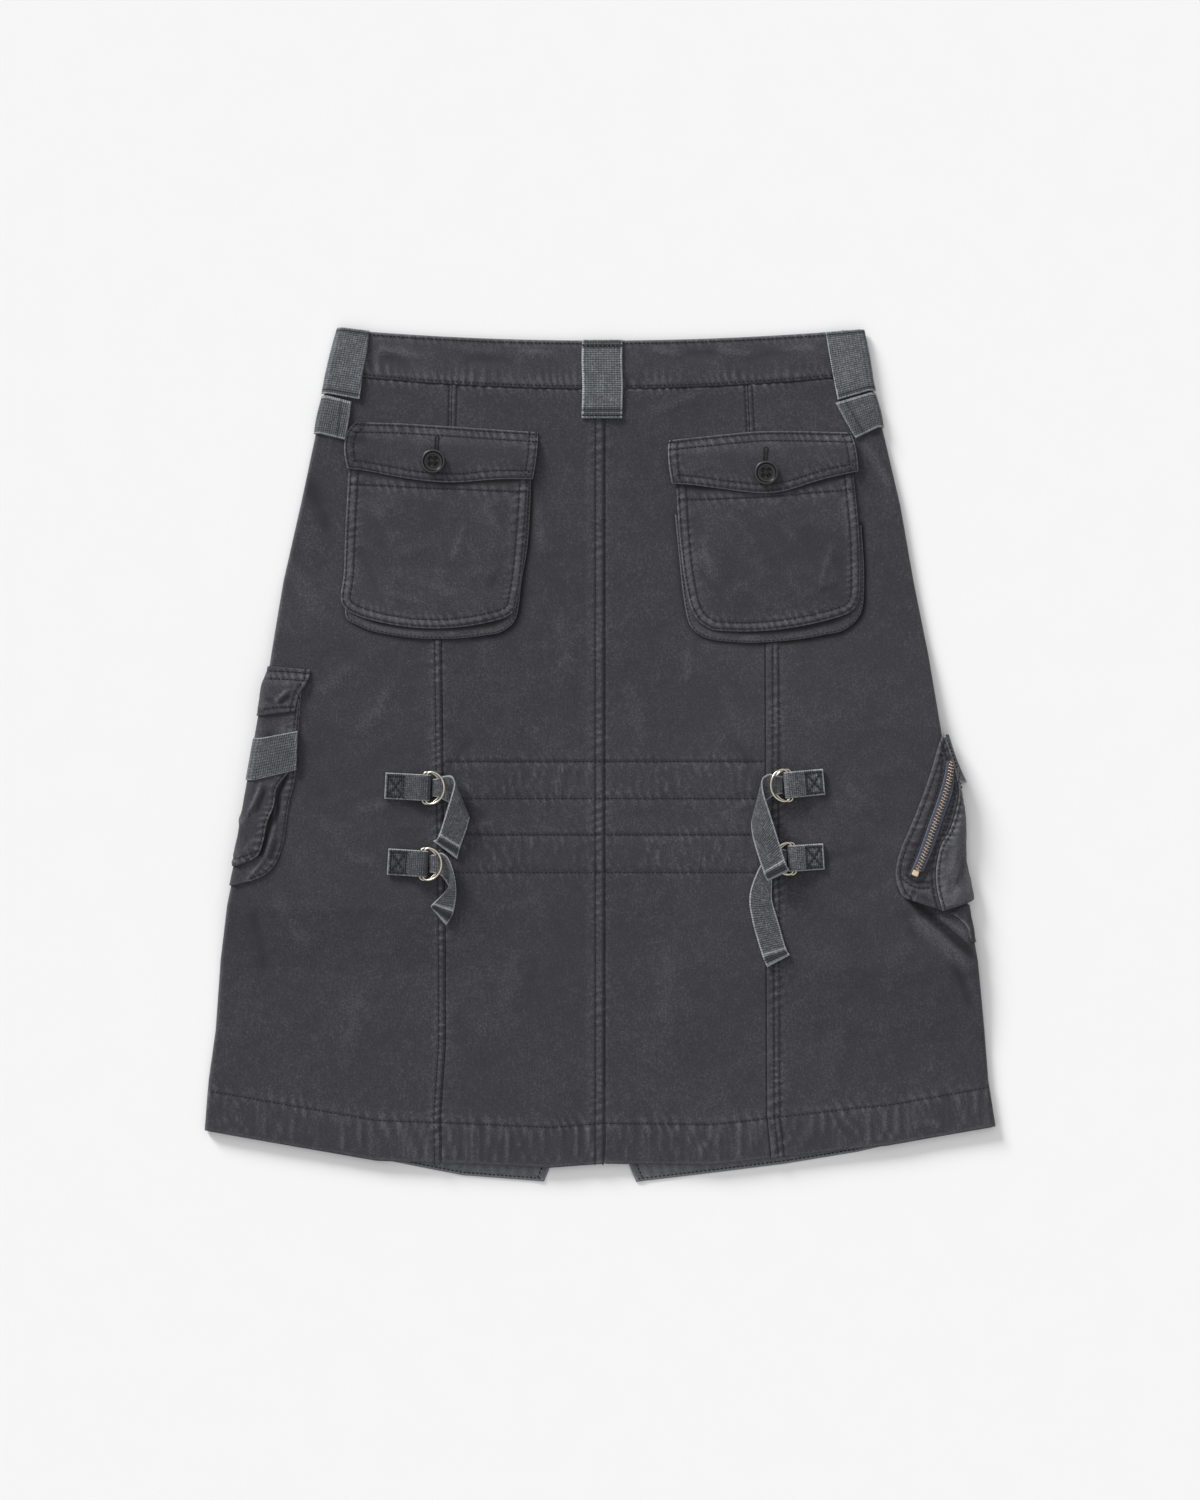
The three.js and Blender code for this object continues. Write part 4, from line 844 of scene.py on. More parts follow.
def back_seams():
    """The sewn lines of the back, by name."""
    left = lambda y: princess_x(-1, y)
    right = lambda y: princess_x(1, y)
    found = {
        "centre": Seam(vertical_line(CENTRE_BACK, 273, -306), (-7.6, -1.6), 0.17, 6.5, 6.3, 0.6, 1.3),
        "left_low": Seam(vertical_line(left, POCKET_FOOT, -306), (-5.4, -1.4), 0.3, 5.0, 6.1, 0.75, 2.1),
        "right_low": Seam(vertical_line(right, POCKET_FOOT, -304), (5.0, 9.3), 0.3, 6.0, 6.3, 0.7, 0.7),
        "left_high": Seam(vertical_line(left, 276, 242), (-2.8, 2.8), 0.2, 5, 5.8, 0.4, 0.4),
        "right_high": Seam(vertical_line(right, 276, 238), (-2.8, 2.8), 0.2, 5, 5.8, 0.4, 1.9),
        "hem": Seam(level_line(lambda x: hem_y(x) + HEM, -296, 296), (0,), 0.3, 6, 8.2, 0.4, 2.6),
        "waist": Seam(level_line(lambda x: band_seam_y(x) - 0.5, -204, 204), (), 0.25, 5, 6.6, 0.35, 3.3),
    }
    for k, (top, bottom) in enumerate(zip(*CASINGS.values())):
        for name, y in (("top", top), ("bottom", bottom)):
            path = level_line(y, -115, 123)
            found[f"casing_{k}_{name}"] = Seam(path, (0,), 0.3, 4.5, 6.9, 0.3, 1.1 * k + 0.3, 0.32)
    return found


def sharp(wave):
    """The same wave with narrow crests and flat hollows, as creased cotton has."""
    return 1.25 * np.maximum(wave, 0) ** 1.6 - 0.55 * np.maximum(-wave, 0)


def gathers(x, y):
    """Height of the gathered puffs: full between a casing's stitch lines, a little beyond them. The
    gathers are uneven upright waves that lean and fork with slow noise."""
    inside = np.zeros(np.shape(x))
    for top, bottom in zip(*CASINGS.values()):
        middle, half = (top + bottom) / 2, (top - bottom) / 2
        away = np.abs(y - middle)
        full = ease((half - away) / 5) + 0.42 * bump(np.maximum(away - half, 0), 9) * (away > half)
        inside = np.maximum(inside, full)
    ends = ease((x + 117) / 8) * ease((124 - x) / 8)
    lean = 7 * lattice_noise(x, y, 21, 71) + 2.6 * lattice_noise(x, y, 8, 72)
    wave = 0.7 * np.sin(2 * np.pi * (x + lean) / 8.1) + 0.5 * np.sin(2 * np.pi * (x - 1.4 * lean) / 5.3)
    strength = 0.6 + 0.5 * lattice_noise(x, y, 13, 73)
    fork = 0.6 + 0.4 * np.sin(0.55 * y + 3 * lattice_noise(x, y, 12, 74))
    return inside * ends, sharp(wave * (0.55 + 0.45 * fork)) * strength * inside * ends


def hem_puckers(x, y):
    """Upright puckers of the doubled hem, uneven in step, strongest midway between stitches and edge."""
    depth = (y - hem_y(x)) / HEM
    inside = ease(depth * 5) * ease((1.06 - depth) * 6)
    lean = 10 * lattice_noise(x, y, 27, 81) + 5 * lattice_noise(x, y * 0.6, 10, 82) + 0.16 * (y - hem_y(x))
    wave = 0.65 * np.sin(2 * np.pi * (x + lean) / 11.5) + 0.5 * np.sin(2 * np.pi * (x - 0.8 * lean) / 6.7)
    strength = 0.75 + 0.35 * lattice_noise(x, 0.4 * y, 17, 83)
    return sharp(wave) * strength * inside


def painted_shade_beside_pockets(x, y):
    """Painted shade in the recess round the patch pockets, standing in for their shadows: 1 along their right halves,
    0.45 along their left halves and 0 away from them."""
    shade = np.zeros(np.shape(x))
    for pocket in POCKETS.values():
        table = pocket["gusset"]
        edge = pairs(table["ox"], table["oy"])
        distance, _ = nearest_on(edge, x, y)
        towards = np.where(x > np.median(table["ox"]), 1.0, 0.45)
        shade = np.maximum(shade, bump(np.abs(distance) - 0.6, 1.7) * towards)
    return shade


def back_surface(x, y, seams):
    """Relief over the plain back, and the wear attribute: pale worn ridges, with painted shade in its hollows and
    beside the pockets.
    """
    sizes = bpy.context.scene.skirt_sizes
    relief = sizes.crumple * (crumple(x, y, 11) + creases(x, y, BACK_FOLDS))
    # ridges pale with wear; hollows darkened with painted shade
    wear = 0.3 * np.clip(relief, -0.5, 0.8) - 0.9 * np.clip(-relief - 0.25, 0, 1)
    # painted shade beside the pockets, darker on their right halves, away from the key light
    wear -= 1.1 * painted_shade_beside_pockets(x, y)
    for seam in seams:
        seam.mark(x, y, relief, wear)
    full, wave = gathers(x, y)
    relief += sizes.gather * GATHER_HEIGHT * (0.52 * full + 0.4 * wave)
    # gather crests paler, gather hollows darker with painted shade
    wear += 0.3 * wave
    puckers = hem_puckers(x, y)
    relief += 0.42 * sizes.pucker * puckers
    # hem pucker crests paler, their hollows darker with painted shade
    wear += 0.27 * puckers
    on_hem = ease((hem_y(x) + HEM + 1 - y) / 1.2)
    relief += HEM_RISE * on_hem
    wear += 0.5 * bump(y - hem_y(x), 1.6)
    return relief, wear


def centre_panel(name, place, count, seams, strip):
    """One half of the back's middle. place turns a share of the width (0 at its first edge, 1 at its
    last) and a height into an x, and strip gives the rise of a felled seam."""
    curves, pitches = BACK_CURVES, BACK_PITCHES
    row = rows_between(curves, pitches)[:, None]
    share = np.linspace(0, 1, count)[None, :]
    y = np.zeros((len(row), count))
    x = place(share, y)
    for _ in range(ROUNDS):
        y = row_height(curves, row, x)
        x = place(share, y)
    relief, wear = back_surface(x, y, seams)
    outer, inner = over_back(x, y, relief + strip(x, y)), over_back(x, y, -CLOTH)
    closed_shell(name, outer, inner, "washed_cloth", {"wear": wear}, over_back(x, y, 0.0))


def centre_panels():
    seams = back_seams()
    shared = [seams[k] for k in seams if k.startswith("casing")] + [seams["hem"], seams["waist"]]
    left_edge = lambda y: princess_x(-1, y) + GAP / 2
    right_edge = lambda y: princess_x(1, y) - GAP / 2
    fell = CENTRE_BACK - FELL_WIDTH
    centre_panel(
        "back_center_left",
        lambda share, y: blend(left_edge(y), CENTRE_BACK - GAP / 2, share),
        81,
        shared + [seams["centre"], seams["left_high"], seams["left_low"]],
        lambda x, y: SEAM_RISE * ease((x - fell + 0.6) / 1.4) * ease((CENTRE_BACK + 1 - x) / 1.6),
    )
    centre_panel(
        "back_center_right",
        lambda share, y: blend(CENTRE_BACK + GAP / 2, right_edge(y), share),
        80,
        shared + [seams["centre"], seams["right_high"], seams["right_low"]],
        lambda x, y: 0 * x,
    )


def side_panel(side):
    """From the princess seam over the back, round the fold and a little way on under it."""
    seams = back_seams()
    where = side_name(side)
    start = lambda y: (tangent_x(side, y) - princess_x(side, y)) * side - GAP / 2
    over, round_it = 92, 10
    row = rows_between(BACK_CURVES, BACK_PITCHES)[:, None]
    share = np.linspace(1, 0, over + 1)[None, :-1]
    turned = np.concatenate([np.linspace(0, -TURN, round_it), -TURN - UNDER_REACH * np.array([0.33, 0.66, 1])])
    y = np.zeros((len(row), over + len(turned)))
    for _ in range(ROUNDS + 1):
        inward = np.concatenate([share * start(y[:, :1]), np.broadcast_to(turned, (len(row), len(turned)))], axis=1)
        x = np.where(inward >= 0, tangent_x(side, y) - side * inward, fold_x(side, y))
        y = row_height(BACK_CURVES, row, x)
    chosen = [seams[k] for k in ("hem", "waist", f"{where}_high", f"{where}_low")]
    relief, wear = back_surface(x, y, chosen)
    strip_width = {"left": 6, "right": 10}[where]
    beside = start(y) - inward
    strip = ease((strip_width + 0.9 - beside) / 1.2) * ease((beside + 1) / 1.4) * ease((POCKET_FOOT - y) / 8)
    relief = relief * ease((inward + 0.6 * TURN) / (0.6 * TURN)) + SEAM_RISE * strip
    wear = wear + 0.35 * bump(inward + 0.4 * TURN, 2.5)
    outer, inner, base = (skin(side, inward, y, lift) for lift in (relief, -CLOTH, 0.0))
    closed_shell(f"back_side_{where}", outer, inner, "washed_cloth", {"wear": wear}, base)


def front_panel(side):
    """Flat on the table. Its outer face is the underside, which stays plain; the upper one shows at the
    slit and below the back hem."""
    where = side_name(side)
    curves = [
        lambda x: front_seam_y(x) - GAP / 2,
        lambda x: 235.0 + 0 * x,
        lambda x: -215.0 + 0 * x,
        lambda x: front_hem_y(x) + 46,
        front_hem_y,
    ]
    row = rows_between(curves, [5, 5, 5, 1.6])[:, None]
    share = np.linspace(0, 1, 100)[None, :]
    y = np.zeros((len(row), 100))
    for _ in range(ROUNDS + 1):
        inside = slit_x(side, y) + side * GAP / 2
        x = blend(inside, tangent_x(side, y) - side * (UNDER_REACH + GAP), share)
        y = row_height(curves, row, x)
    slit = slit_x(side, y)
    low = ease((-200 - y) / 40)
    depth = (y - front_hem_y(x)) / HEM
    band = ease(depth * 6) * ease((1.05 - depth) * 6)
    lean = 5 * lattice_noise(x, y, 20, 91 + side)
    puckers = np.sin(2 * np.pi * (x + lean) / 9.5) * band
    rubbed = 1.1 * bump(y - front_hem_y(x), 1.5) + 0.9 * bump(np.abs(x - slit), 1.5)
    # the front below the back hem is paler all over, and paler still along the hem and the slit
    wear = low * (0.4 * np.maximum(puckers, 0) + rubbed) + 0.8 * low + 0.12
    rise = low * (0.16 * (1 + puckers) * band + 0.5 * bump(np.abs(x - slit) - 3, 3) * ease((-240 - y) / 20))
    below = points(x, y, underside(x, y))
    above = points(x, y, underside(x, y) + CLOTH + rise)
    closed_shell(f"front_{where}", above, below, "washed_cloth", {"wear": wear})


# Waistband


BAND_FOLDS = columns(
    "x0 y0 x1 y1 width height",
    (-170, 304, -128, 297, 3, 0.5),
    (-166, 298, -140, 290, 3, -0.5),
    (-120, 305, -70, 300, 3, 0.4),
    (-104, 296, -60, 292, 3, -0.45),
    (-66, 303, -28, 298, 3, 0.4),
    (34, 304, 74, 295, 3, 0.5),
    (50, 296, 96, 300, 3, -0.5),
    (84, 303, 126, 296, 3, 0.45),
    (104, 294, 150, 302, 3, -0.45),
    (132, 300, 166, 306, 3, 0.4),
)


def back_waistband():
    """From fold to fold, doubled at its top edge, with a stitch row inside each edge."""
    curves = [band_top_y, lambda x: band_seam_y(x) + GAP / 2]
    row = np.linspace(0, 1, 25)[:, None]
    turned = np.concatenate([-TURN - UNDER_REACH * np.array([1, 0.5]), np.linspace(-TURN, 0, 10)])
    middle = 250
    count = 2 * len(turned) + middle
    y = np.zeros((25, count))
    share = np.linspace(0, 1, middle + 2)[1:-1]
    for _ in range(ROUNDS + 1):
        x = blend(tangent_x(-1, y), tangent_x(1, y), np.concatenate([0 * turned, share, 0 * turned + 1]))
        y = row_height(curves, row, x)
    sides = [(-1, slice(0, len(turned)), turned), (1, slice(count - len(turned), count), turned[::-1])]
    seams = waist_seams()
    relief = 0.9 * crumple(x, y, 41) + creases(x, y, BAND_FOLDS)
    # raised parts paler with wear, hollows darker with painted shade
    wear = 0.5 * relief
    for seam in seams.values():
        seam.mark(x, y, relief, wear)
    above_seam = y - band_seam_y(x)
    bars = uneven_wave(x, 6.3, 7.7) * bump((above_seam - 7) / 6.5, 1) * (0.6 + 0.4 * lattice_noise(x, y, 24, 47))
    relief += 0.3 * bars
    # bar crests paler, bar hollows darker with painted shade
    wear += 0.55 * np.maximum(bars, 0) - 0.25 * np.maximum(-bars, 0)
    puffed = bump((y - blend(band_top_y(x), band_seam_y(x), 0.5)) / 13, 1)
    relief += 0.25 * puffed * (1 + np.sin(x / 9 + 3 * lattice_noise(x, y, 30, 44)))
    wear += 0.6 * bump(y - band_top_y(x), 1.4)
    relief -= 0.7 * bump(y - band_top_y(x), 1.1)
    outer, inner = over_back(x, y, WAIST_OUT + relief), over_back(x, y, -WAIST_IN)
    base = over_back(x, y, 0.0)
    for side, part, inward in sides:
        fade = 1 - np.clip(-inward / TURN, 0, 1)
        outer[:, part] = skin(side, inward, y[:, part], (WAIST_OUT + relief[:, part] * ease(fade)) * fade)
        inner[:, part] = skin(side, inward, y[:, part], -WAIST_IN)
        base[:, part] = skin(side, inward, y[:, part], 0.0)
    closed_shell("waistband_back", outer, inner, "washed_waistband", {"wear": wear}, base)


def waist_seams():
    span = (-191, 191)
    return {
        "top": Seam(level_line(lambda x: band_top_y(x) - 2.2, *span), (0,), 0.22, 4, 6.4, 0.4, 0.9, 0.16),
        "low": Seam(level_line(lambda x: band_seam_y(x) + 2.4, *span), (0,), 0.3, 4.5, 6.0, 0.5, 2.4, 0.22),
    }


def front_waistband(side):
    where = side_name(side)
    curves = [lambda x: front_seam_y(x) + WAISTBAND, lambda x: front_seam_y(x) + GAP / 2]
    row = np.linspace(0, 1, 15)[:, None]
    share = np.linspace(0, 1, 90)[None, :]
    y = np.zeros((15, 90))
    for _ in range(ROUNDS):
        x = blend(CENTRE_FRONT + side * GAP / 2, tangent_x(side, y) - side * (UNDER_REACH + GAP), share)
        y = row_height(curves, row, x)
    puckers = uneven_wave(x, 6.2, 5.0 + side) * bump(row - 0.08, 0.16)
    above = points(x, y, underside(x, y) + WAIST_IN + 0.15 * puckers)
    below = points(x, y, underside(x, y))
    wear = 0.3 * np.maximum(puckers, 0) + 0.5 * bump(row, 0.05)
    closed_shell(f"waistband_front_{where}", above, below, "washed_waistband", {"wear": wear})


# Webbing loops


def webbing_marks(rows, cols, length, folded_ends):
    """Attributes of a webbing strip whose rows follow its length: across from -1 to 1, along in millimetres, and worn
    folded ends with a line of painted shade just inside each."""
    along = np.broadcast_to(np.linspace(0, length, rows)[:, None], (rows, cols))
    across = np.broadcast_to(np.linspace(-1, 1, cols)[None, :], (rows, cols))
    wear = 0 * along
    for end in folded_ends:
        wear = wear + 0.8 * bump(along - end * length, 0.9) - 0.9 * bump(np.abs(along - end * length) - 2.4, 0.8)
    return {"across": across, "along": along, "wear": wear}


def back_loop():
    """A strip of webbing that stands off the waistband between its sewn, folded ends."""
    profile = columns(
        "y lift",
        (310.8, 0.85),
        (306, 1.4),
        (292, 1.9),
        (276, 1.9),
        (263, 1.4),
        (256, 0.85),
        (252, 0.85),
    )
    left, right = -13.5, 16.9
    at = even_places(spacing(profile["y"]), 1.1)[:, None]
    share = np.linspace(0, 1, 29)[None, :]
    y = flow(profile["y"], at) + 0 * share
    x = blend(left, right, share) + 0.25 * np.sin(y / 7)
    tucked = bump(y - 305.5, 1.2) + bump(y - 258, 1.2)
    lift = flow(profile["lift"], at) - 0.3 * tucked + 0.25 * lattice_noise(x, y, 12, 51)
    rounded = WEBBING * (1 - 0.45 * np.abs(2 * share - 1) ** 8)
    marks = webbing_marks(len(at), 29, 58.8, (0, 1))
    # painted shade in the tucks, where the loop dips at its sewn ends
    marks["wear"] = marks["wear"] - 0.8 * tucked
    outer, inner = over_back(x, y, lift + rounded), over_back(x, y, flow(profile["lift"], at) + 0 * x)
    closed_shell("belt_loop_back", outer, inner, "grey_webbing", marks)


def wrapped(name, side, table, thickness, material, pitch, end_turn=1.0, relief=None, marks=None):
    """A piece laid over the skin round a side fold. Each table row has the visible edge (x, y), its height
    on the fold line (fold_y), its lift over the skin and how far it runs on underneath (under)."""
    at = even_places(spacing(table["x"], table["y"], table["fold_y"] * 0.5), pitch)[:, None]
    row = smooth_rows(table, at)
    reach = np.abs(tangent_x(side, row["y"]) - row["x"])
    flat_count = max(4, int(reach.max() / pitch))
    flat = np.linspace(1, 0, flat_count + 1)[None, :-1] * reach
    turn = np.broadcast_to(np.linspace(0, -TURN * end_turn, 9), (len(at), 9))
    parts = [flat, turn]
    if "under" in row:
        parts.append(-TURN - row["under"] * np.linspace(0, 1, 21)[None, 1:])
    inward = np.concatenate(parts, axis=1)
    y = blend(row["fold_y"], row["y"], np.clip(inward / np.maximum(reach, 1e-6), 0, 1))
    lift = row["lift"] + 0 * inward
    top, wear = relief(inward, y) if relief else (0 * inward, 0 * inward)
    shown = ease((inward + TURN) / (0.5 * TURN))
    outer = skin(side, inward, y, lift + thickness + top * shown)
    inner = skin(side, inward, y, lift)
    attributes = {"wear": wear * shown} if marks is None else marks(inward, at)
    closed_shell(name, outer, inner, material, attributes)


LOOPS = {
    "left": columns(
        "x y fold_y lift",
        (-172.5, 317.5, 320, 0.85),
        (-174.2, 302, 305, 1.5),
        (-177.5, 285, 288, 1.5),
        (-180, 266.2, 270.5, 0.9),
    ),
    "right": columns(
        "x y fold_y lift",
        (168.8, 316.5, 318.5, 0.85),
        (171.5, 300, 304, 1.5),
        (174.6, 283, 289, 1.5),
        (177.8, 265.8, 272.8, 0.9),
    ),
}
BANDS = {
    "left": columns(
        "x y fold_y lift",
        (-186, 264.4, 269, GAP),
        (-188, 250, 253, 1),
        (-190, 235.6, 240.5, GAP),
    ),
    "right": columns(
        "x y fold_y lift",
        (176.2, 263.6, 271.2, GAP),
        (183.5, 250, 258, 1),
        (191.2, 237, 245.2, GAP),
    ),
}
LOOP_TURN, BAND_TURN = 0.55, 0.68


def side_loop(side):
    """A loop runs up the waistband beside the fold, so its selvedges are its first and last columns."""
    where = side_name(side)

    def marks(inward, at):
        along = at / 3 * 52 + 0 * inward
        place = (inward - inward.min()) / (inward.max() - inward.min())
        ends = bump(along, 1) + bump(along - 52, 1)
        folded = bump(along - 2.6, 0.8) + bump(along - 49.2, 0.8)
        # worn pale ends, and painted shade along the folds where the ends turn under
        return {"across": 2 * place - 1, "along": along, "wear": 0.8 * ends - 0.9 * folded}

    name = f"belt_loop_{where}"
    wrapped(name, side, LOOPS[where], WEBBING, "grey_webbing", 1.2, LOOP_TURN, marks=marks)


def side_band(side):
    """A band lies across the fold below the loop, so its selvedges are its first and last rows."""
    where = side_name(side)

    def marks(inward, at):
        end = inward - inward.max(axis=1, keepdims=True)
        # worn pale end, and a line of painted shade 7.5 mm in from it where the end turns under
        rubbed = 0.9 * bump(end, 1.2) - 0.6 * bump(end + 7.5, 0.7)
        return {"across": at - 1 + 0 * inward, "along": inward, "wear": rubbed}

    name = f"side_band_{where}"
    wrapped(name, side, BANDS[where], WEBBING, "charcoal_webbing", 1.2, BAND_TURN, marks=marks)


# Patch pockets

RIM_CROWN = 4.3  # from a pocket's edge to the middle between its two stitch rows
POCKETS = {
    "left": {
        "body": columns(
            "lx ly rx ry sag puff",
            (-186.8, 227.2, -52.5, 219.8, 0, 0),
            (-187.9, 214.5, -53.2, 204, 0, 0),
            (-190.5, 168.8, -55.5, 168.8, 0, 1),
            (-191.6, 136.5, -58.5, 136.5, 0, 1),
            (-193.8, 120, -61.5, 117, 1, 0.8),
            (-192.6, 112.5, -63.5, 109.5, 3, 0.5),
            (-187.5, 107.2, -67.2, 105, 6, 0.2),
            (-178.5, 103.1, -73, 102, 8, 0),
        ),
        "gusset": columns(
            "ox oy ix iy",
            (-190.5, 115, -180, 120),
            (-189.5, 102.5, -178, 112),
            (-179, 96, -172, 108),
            (-165.8, 91.5, -160, 104),
            (-136.5, 87.2, -135, 101),
            (-118.5, 87, -118.5, 101),
            (-106.5, 87.2, -108, 101),
            (-86, 89.5, -90, 102),
            (-73.1, 92.5, -80, 104),
            (-62.6, 103.1, -74, 110),
            (-58.5, 131.2, -70, 132),
            (-54, 158, -66, 158),
            (-52, 190, -64, 190),
            (-51.5, 212, -62, 212),
        ),
        "flap": columns(
            "tx ty mx my bx by",
            (-183, 249, -190.8, 236, -189, 214.5),
            (-150.8, 248.2, -155, 231, -156, 209.2),
            (-121, 246.4, -122, 228, -122.6, 204),
            (-81, 243.8, -84, 227, -86.2, 205.5),
            (-46.5, 241.5, -47.2, 226, -50.2, 206.6),
        ),
        "mouth": ((-186, 203), (-120, 199.5), (-56, 197)),
        "button": (-124.7, 219.5),
        "buttonhole": ((-121.8, 237.6), (-122.6, 226.4)),
        "folds": columns(
            "x0 y0 x1 y1 width height",
            (-100, 179, -113, 141, 3, 0.6),
            (-176, 196, -150, 150, 3, 0.35),
            (-184, 160, -166, 120, 3, -0.4),
            (-92, 192, -70, 160, 3, 0.4),
            (-140, 132, -104, 116, 3, 0.4),
            (-70, 150, -84, 120, 3, -0.4),
            (-160, 122, -130, 112, 2.5, 0.35),
            (-66, 196, -70, 150, 2.5, 0.3),
        ),
    },
    "right": {
        "body": columns(
            "lx ly rx ry sag puff",
            (56.2, 213.8, 189, 221.2, 0, 0),
            (57, 201.8, 189.8, 208.5, 0, 0),
            (59, 168.4, 193.2, 174, 0, 1),
            (62, 139, 194.7, 142, 0, 1),
            (66.5, 115, 194.4, 124, 1, 0.8),
            (69.5, 107, 192.8, 114, 3, 0.5),
            (74.5, 99.5, 188, 107.5, 5, 0.2),
            (84, 93.5, 180.8, 104, 5, 0),
        ),
        "gusset": columns(
            "ox oy ix iy",
            (56, 180, 68, 180),
            (59, 150, 71, 150),
            (62.2, 120, 75, 122),
            (67.5, 96.8, 79, 107),
            (80, 87.4, 88, 101),
            (98, 84.8, 102, 99),
            (117.8, 84, 119, 98.5),
            (147, 86.4, 145, 100),
            (168, 90, 163, 104),
            (183, 93.8, 175, 108),
            (195.6, 107.2, 183, 114),
            (197.6, 136.5, 185, 138),
            (195.6, 172, 184, 172),
        ),
        "flap": columns(
            "tx ty mx my bx by",
            (51.8, 235.5, 51, 222, 53.7, 203.2),
            (86.2, 239.2, 88, 222, 90, 199.5),
            (120, 242.2, 124, 223, 126, 195.6),
            (155, 242.2, 158, 227, 159, 204),
            (187.6, 241.3, 191.2, 229.5, 193.2, 212.6),
        ),
        "mouth": ((59, 191), (124, 193.5), (189.5, 199)),
        "button": (124.2, 210.9),
        "buttonhole": ((124.2, 229.5), (123.2, 219.6)),
        "folds": columns(
            "x0 y0 x1 y1 width height",
            (164, 120, 178, 166, 3, 0.65),
            (92, 186, 120, 150, 3, 0.4),
            (74, 170, 84, 126, 3, 0.35),
            (130, 176, 156, 150, 3, 0.35),
            (96, 132, 130, 110, 3, 0.4),
            (182, 190, 186, 150, 2.5, 0.35),
            (70, 140, 96, 112, 3, -0.35),
            (150, 112, 182, 128, 2.5, -0.3),
        ),
    },
}

# The flap rises from its seam over the pocket's mouth, and dips a little at the lower edge
FLAP_PROFILE = columns(
    "along lift",
    (0, GAP),
    (0.16, 0.7),
    (0.4, FLAP_LIFT),
    (0.7, FLAP_LIFT + 0.5),
    (1, FLAP_LIFT - 0.1),
)


def three_sides(x, y):
    """Down the first column of a grid, along its last row and up its last column."""
    down, up = pairs(x[:, 0], y[:, 0]), pairs(x[::-1, -1], y[::-1, -1])
    return np.concatenate([down, pairs(x[-1, 1:-1], y[-1, 1:-1]), up])


def pocket_body(where):
    """A bag with a hemmed mouth, rounded lower corners, a stitched rim and a full middle. A point is
    between the row's left and right ends, lowered by the sag of a parabola."""
    pocket = POCKETS[where]
    table = pocket["body"]
    at = even_places(spacing(table["lx"], table["ly"]), 1.4)[:, None]
    row = smooth_rows(table, at)
    share = np.linspace(0, 1, 97)[None, :]
    x = blend(row["lx"], row["rx"], share)
    y = blend(row["ly"], row["ry"], share) - row["sag"] * 4 * share * (1 - share)
    outline = three_sides(x, y)
    seams = [
        Seam(outline, (1.7,), 0.24, 3.6, 5.6, 0.55, 1.7, 0.2),
        Seam(outline, (6.9,), 0.26, 4.2, 6.2, 0.45, 2.9, 0.24),
        Seam(np.array(pocket["mouth"]), (0,), 0.26, 4.5, 7.5, 0.45, 3.7, 0.24),
    ]
    relief, wear = creased(x, y, 21, 1.5, pocket["folds"], seams)
    distance, _ = nearest_on(outline, x, y)
    wear += 0.55 * bump(distance, 1.1) + 0.15 * bump(distance - RIM_CROWN, 2)
    flap = pocket["flap"]
    from_flap, _ = nearest_on(pairs(flap["bx"], flap["by"]), x, y)
    # painted shadow of the flap on the bag, under its lower edge
    wear -= 0.7 * bump(np.minimum(from_flap + 1.2, 0), 1.8) * ease((from_flap < 1) * 1.0)
    relief += 0.3 * bump(distance - RIM_CROWN, 2.2) - 0.4 * bump(distance, 0.9)
    lift = BODY_LIFT + BODY_PUFF * row["puff"] * ease(5 * share) * ease(5 * (1 - share))
    outer, inner = over_back(x, y, lift + PLY + relief), over_back(x, y, lift)
    name = f"pocket_{where}_body"
    closed_shell(name, outer, inner, "washed_cloth", {"wear": wear})
    return carried(name, seams)


def pocket_gusset(where):
    """The strip that joins the bag to the skirt, with a soft ridge where it doubles back, and painted shade on its
    inner part under the bag.
    """
    table = POCKETS[where]["gusset"]
    at = even_places(spacing(table["ox"], table["oy"]), 1.5)[:, None]
    row = smooth_rows(table, at)
    share = np.linspace(0, 1, 12)[None, :]
    x, y = blend(row["ox"], row["ix"], share), blend(row["oy"], row["iy"], share)
    along = 14.0 * at
    ridge = 0.5 * np.sin(np.pi * np.clip(share / 0.45, 0, 1)) * (1 + 0.6 * np.sin(along / 5.5 + 2 * np.sin(along / 13)))
    relief = 0.6 * ridge + 0.5 * crumple(x, y, 61) * ease(3 * share)
    relief = np.minimum(relief, 0.55 + 0.6 * (1 - ease(share * 2.2)))
    # worn outer edge and ridge; the inner part darker with painted shade in the recess under the bag
    wear = 0.6 * bump(share, 0.09) + 0.25 * ridge - 0.9 * ease((share - 0.35) * 4)
    outer, inner = over_back(x, y, GAP + PLY + relief * (1 - ease(share * 1.6))), over_back(x, y, GAP + 0 * x)
    name = f"pocket_{where}_gusset"
    closed_shell(name, outer, inner, "washed_cloth", {"wear": wear})
    outline = pairs(row["ox"][:, 0], row["oy"][:, 0])
    return carried(name, [Seam(outline, (1.3,))])


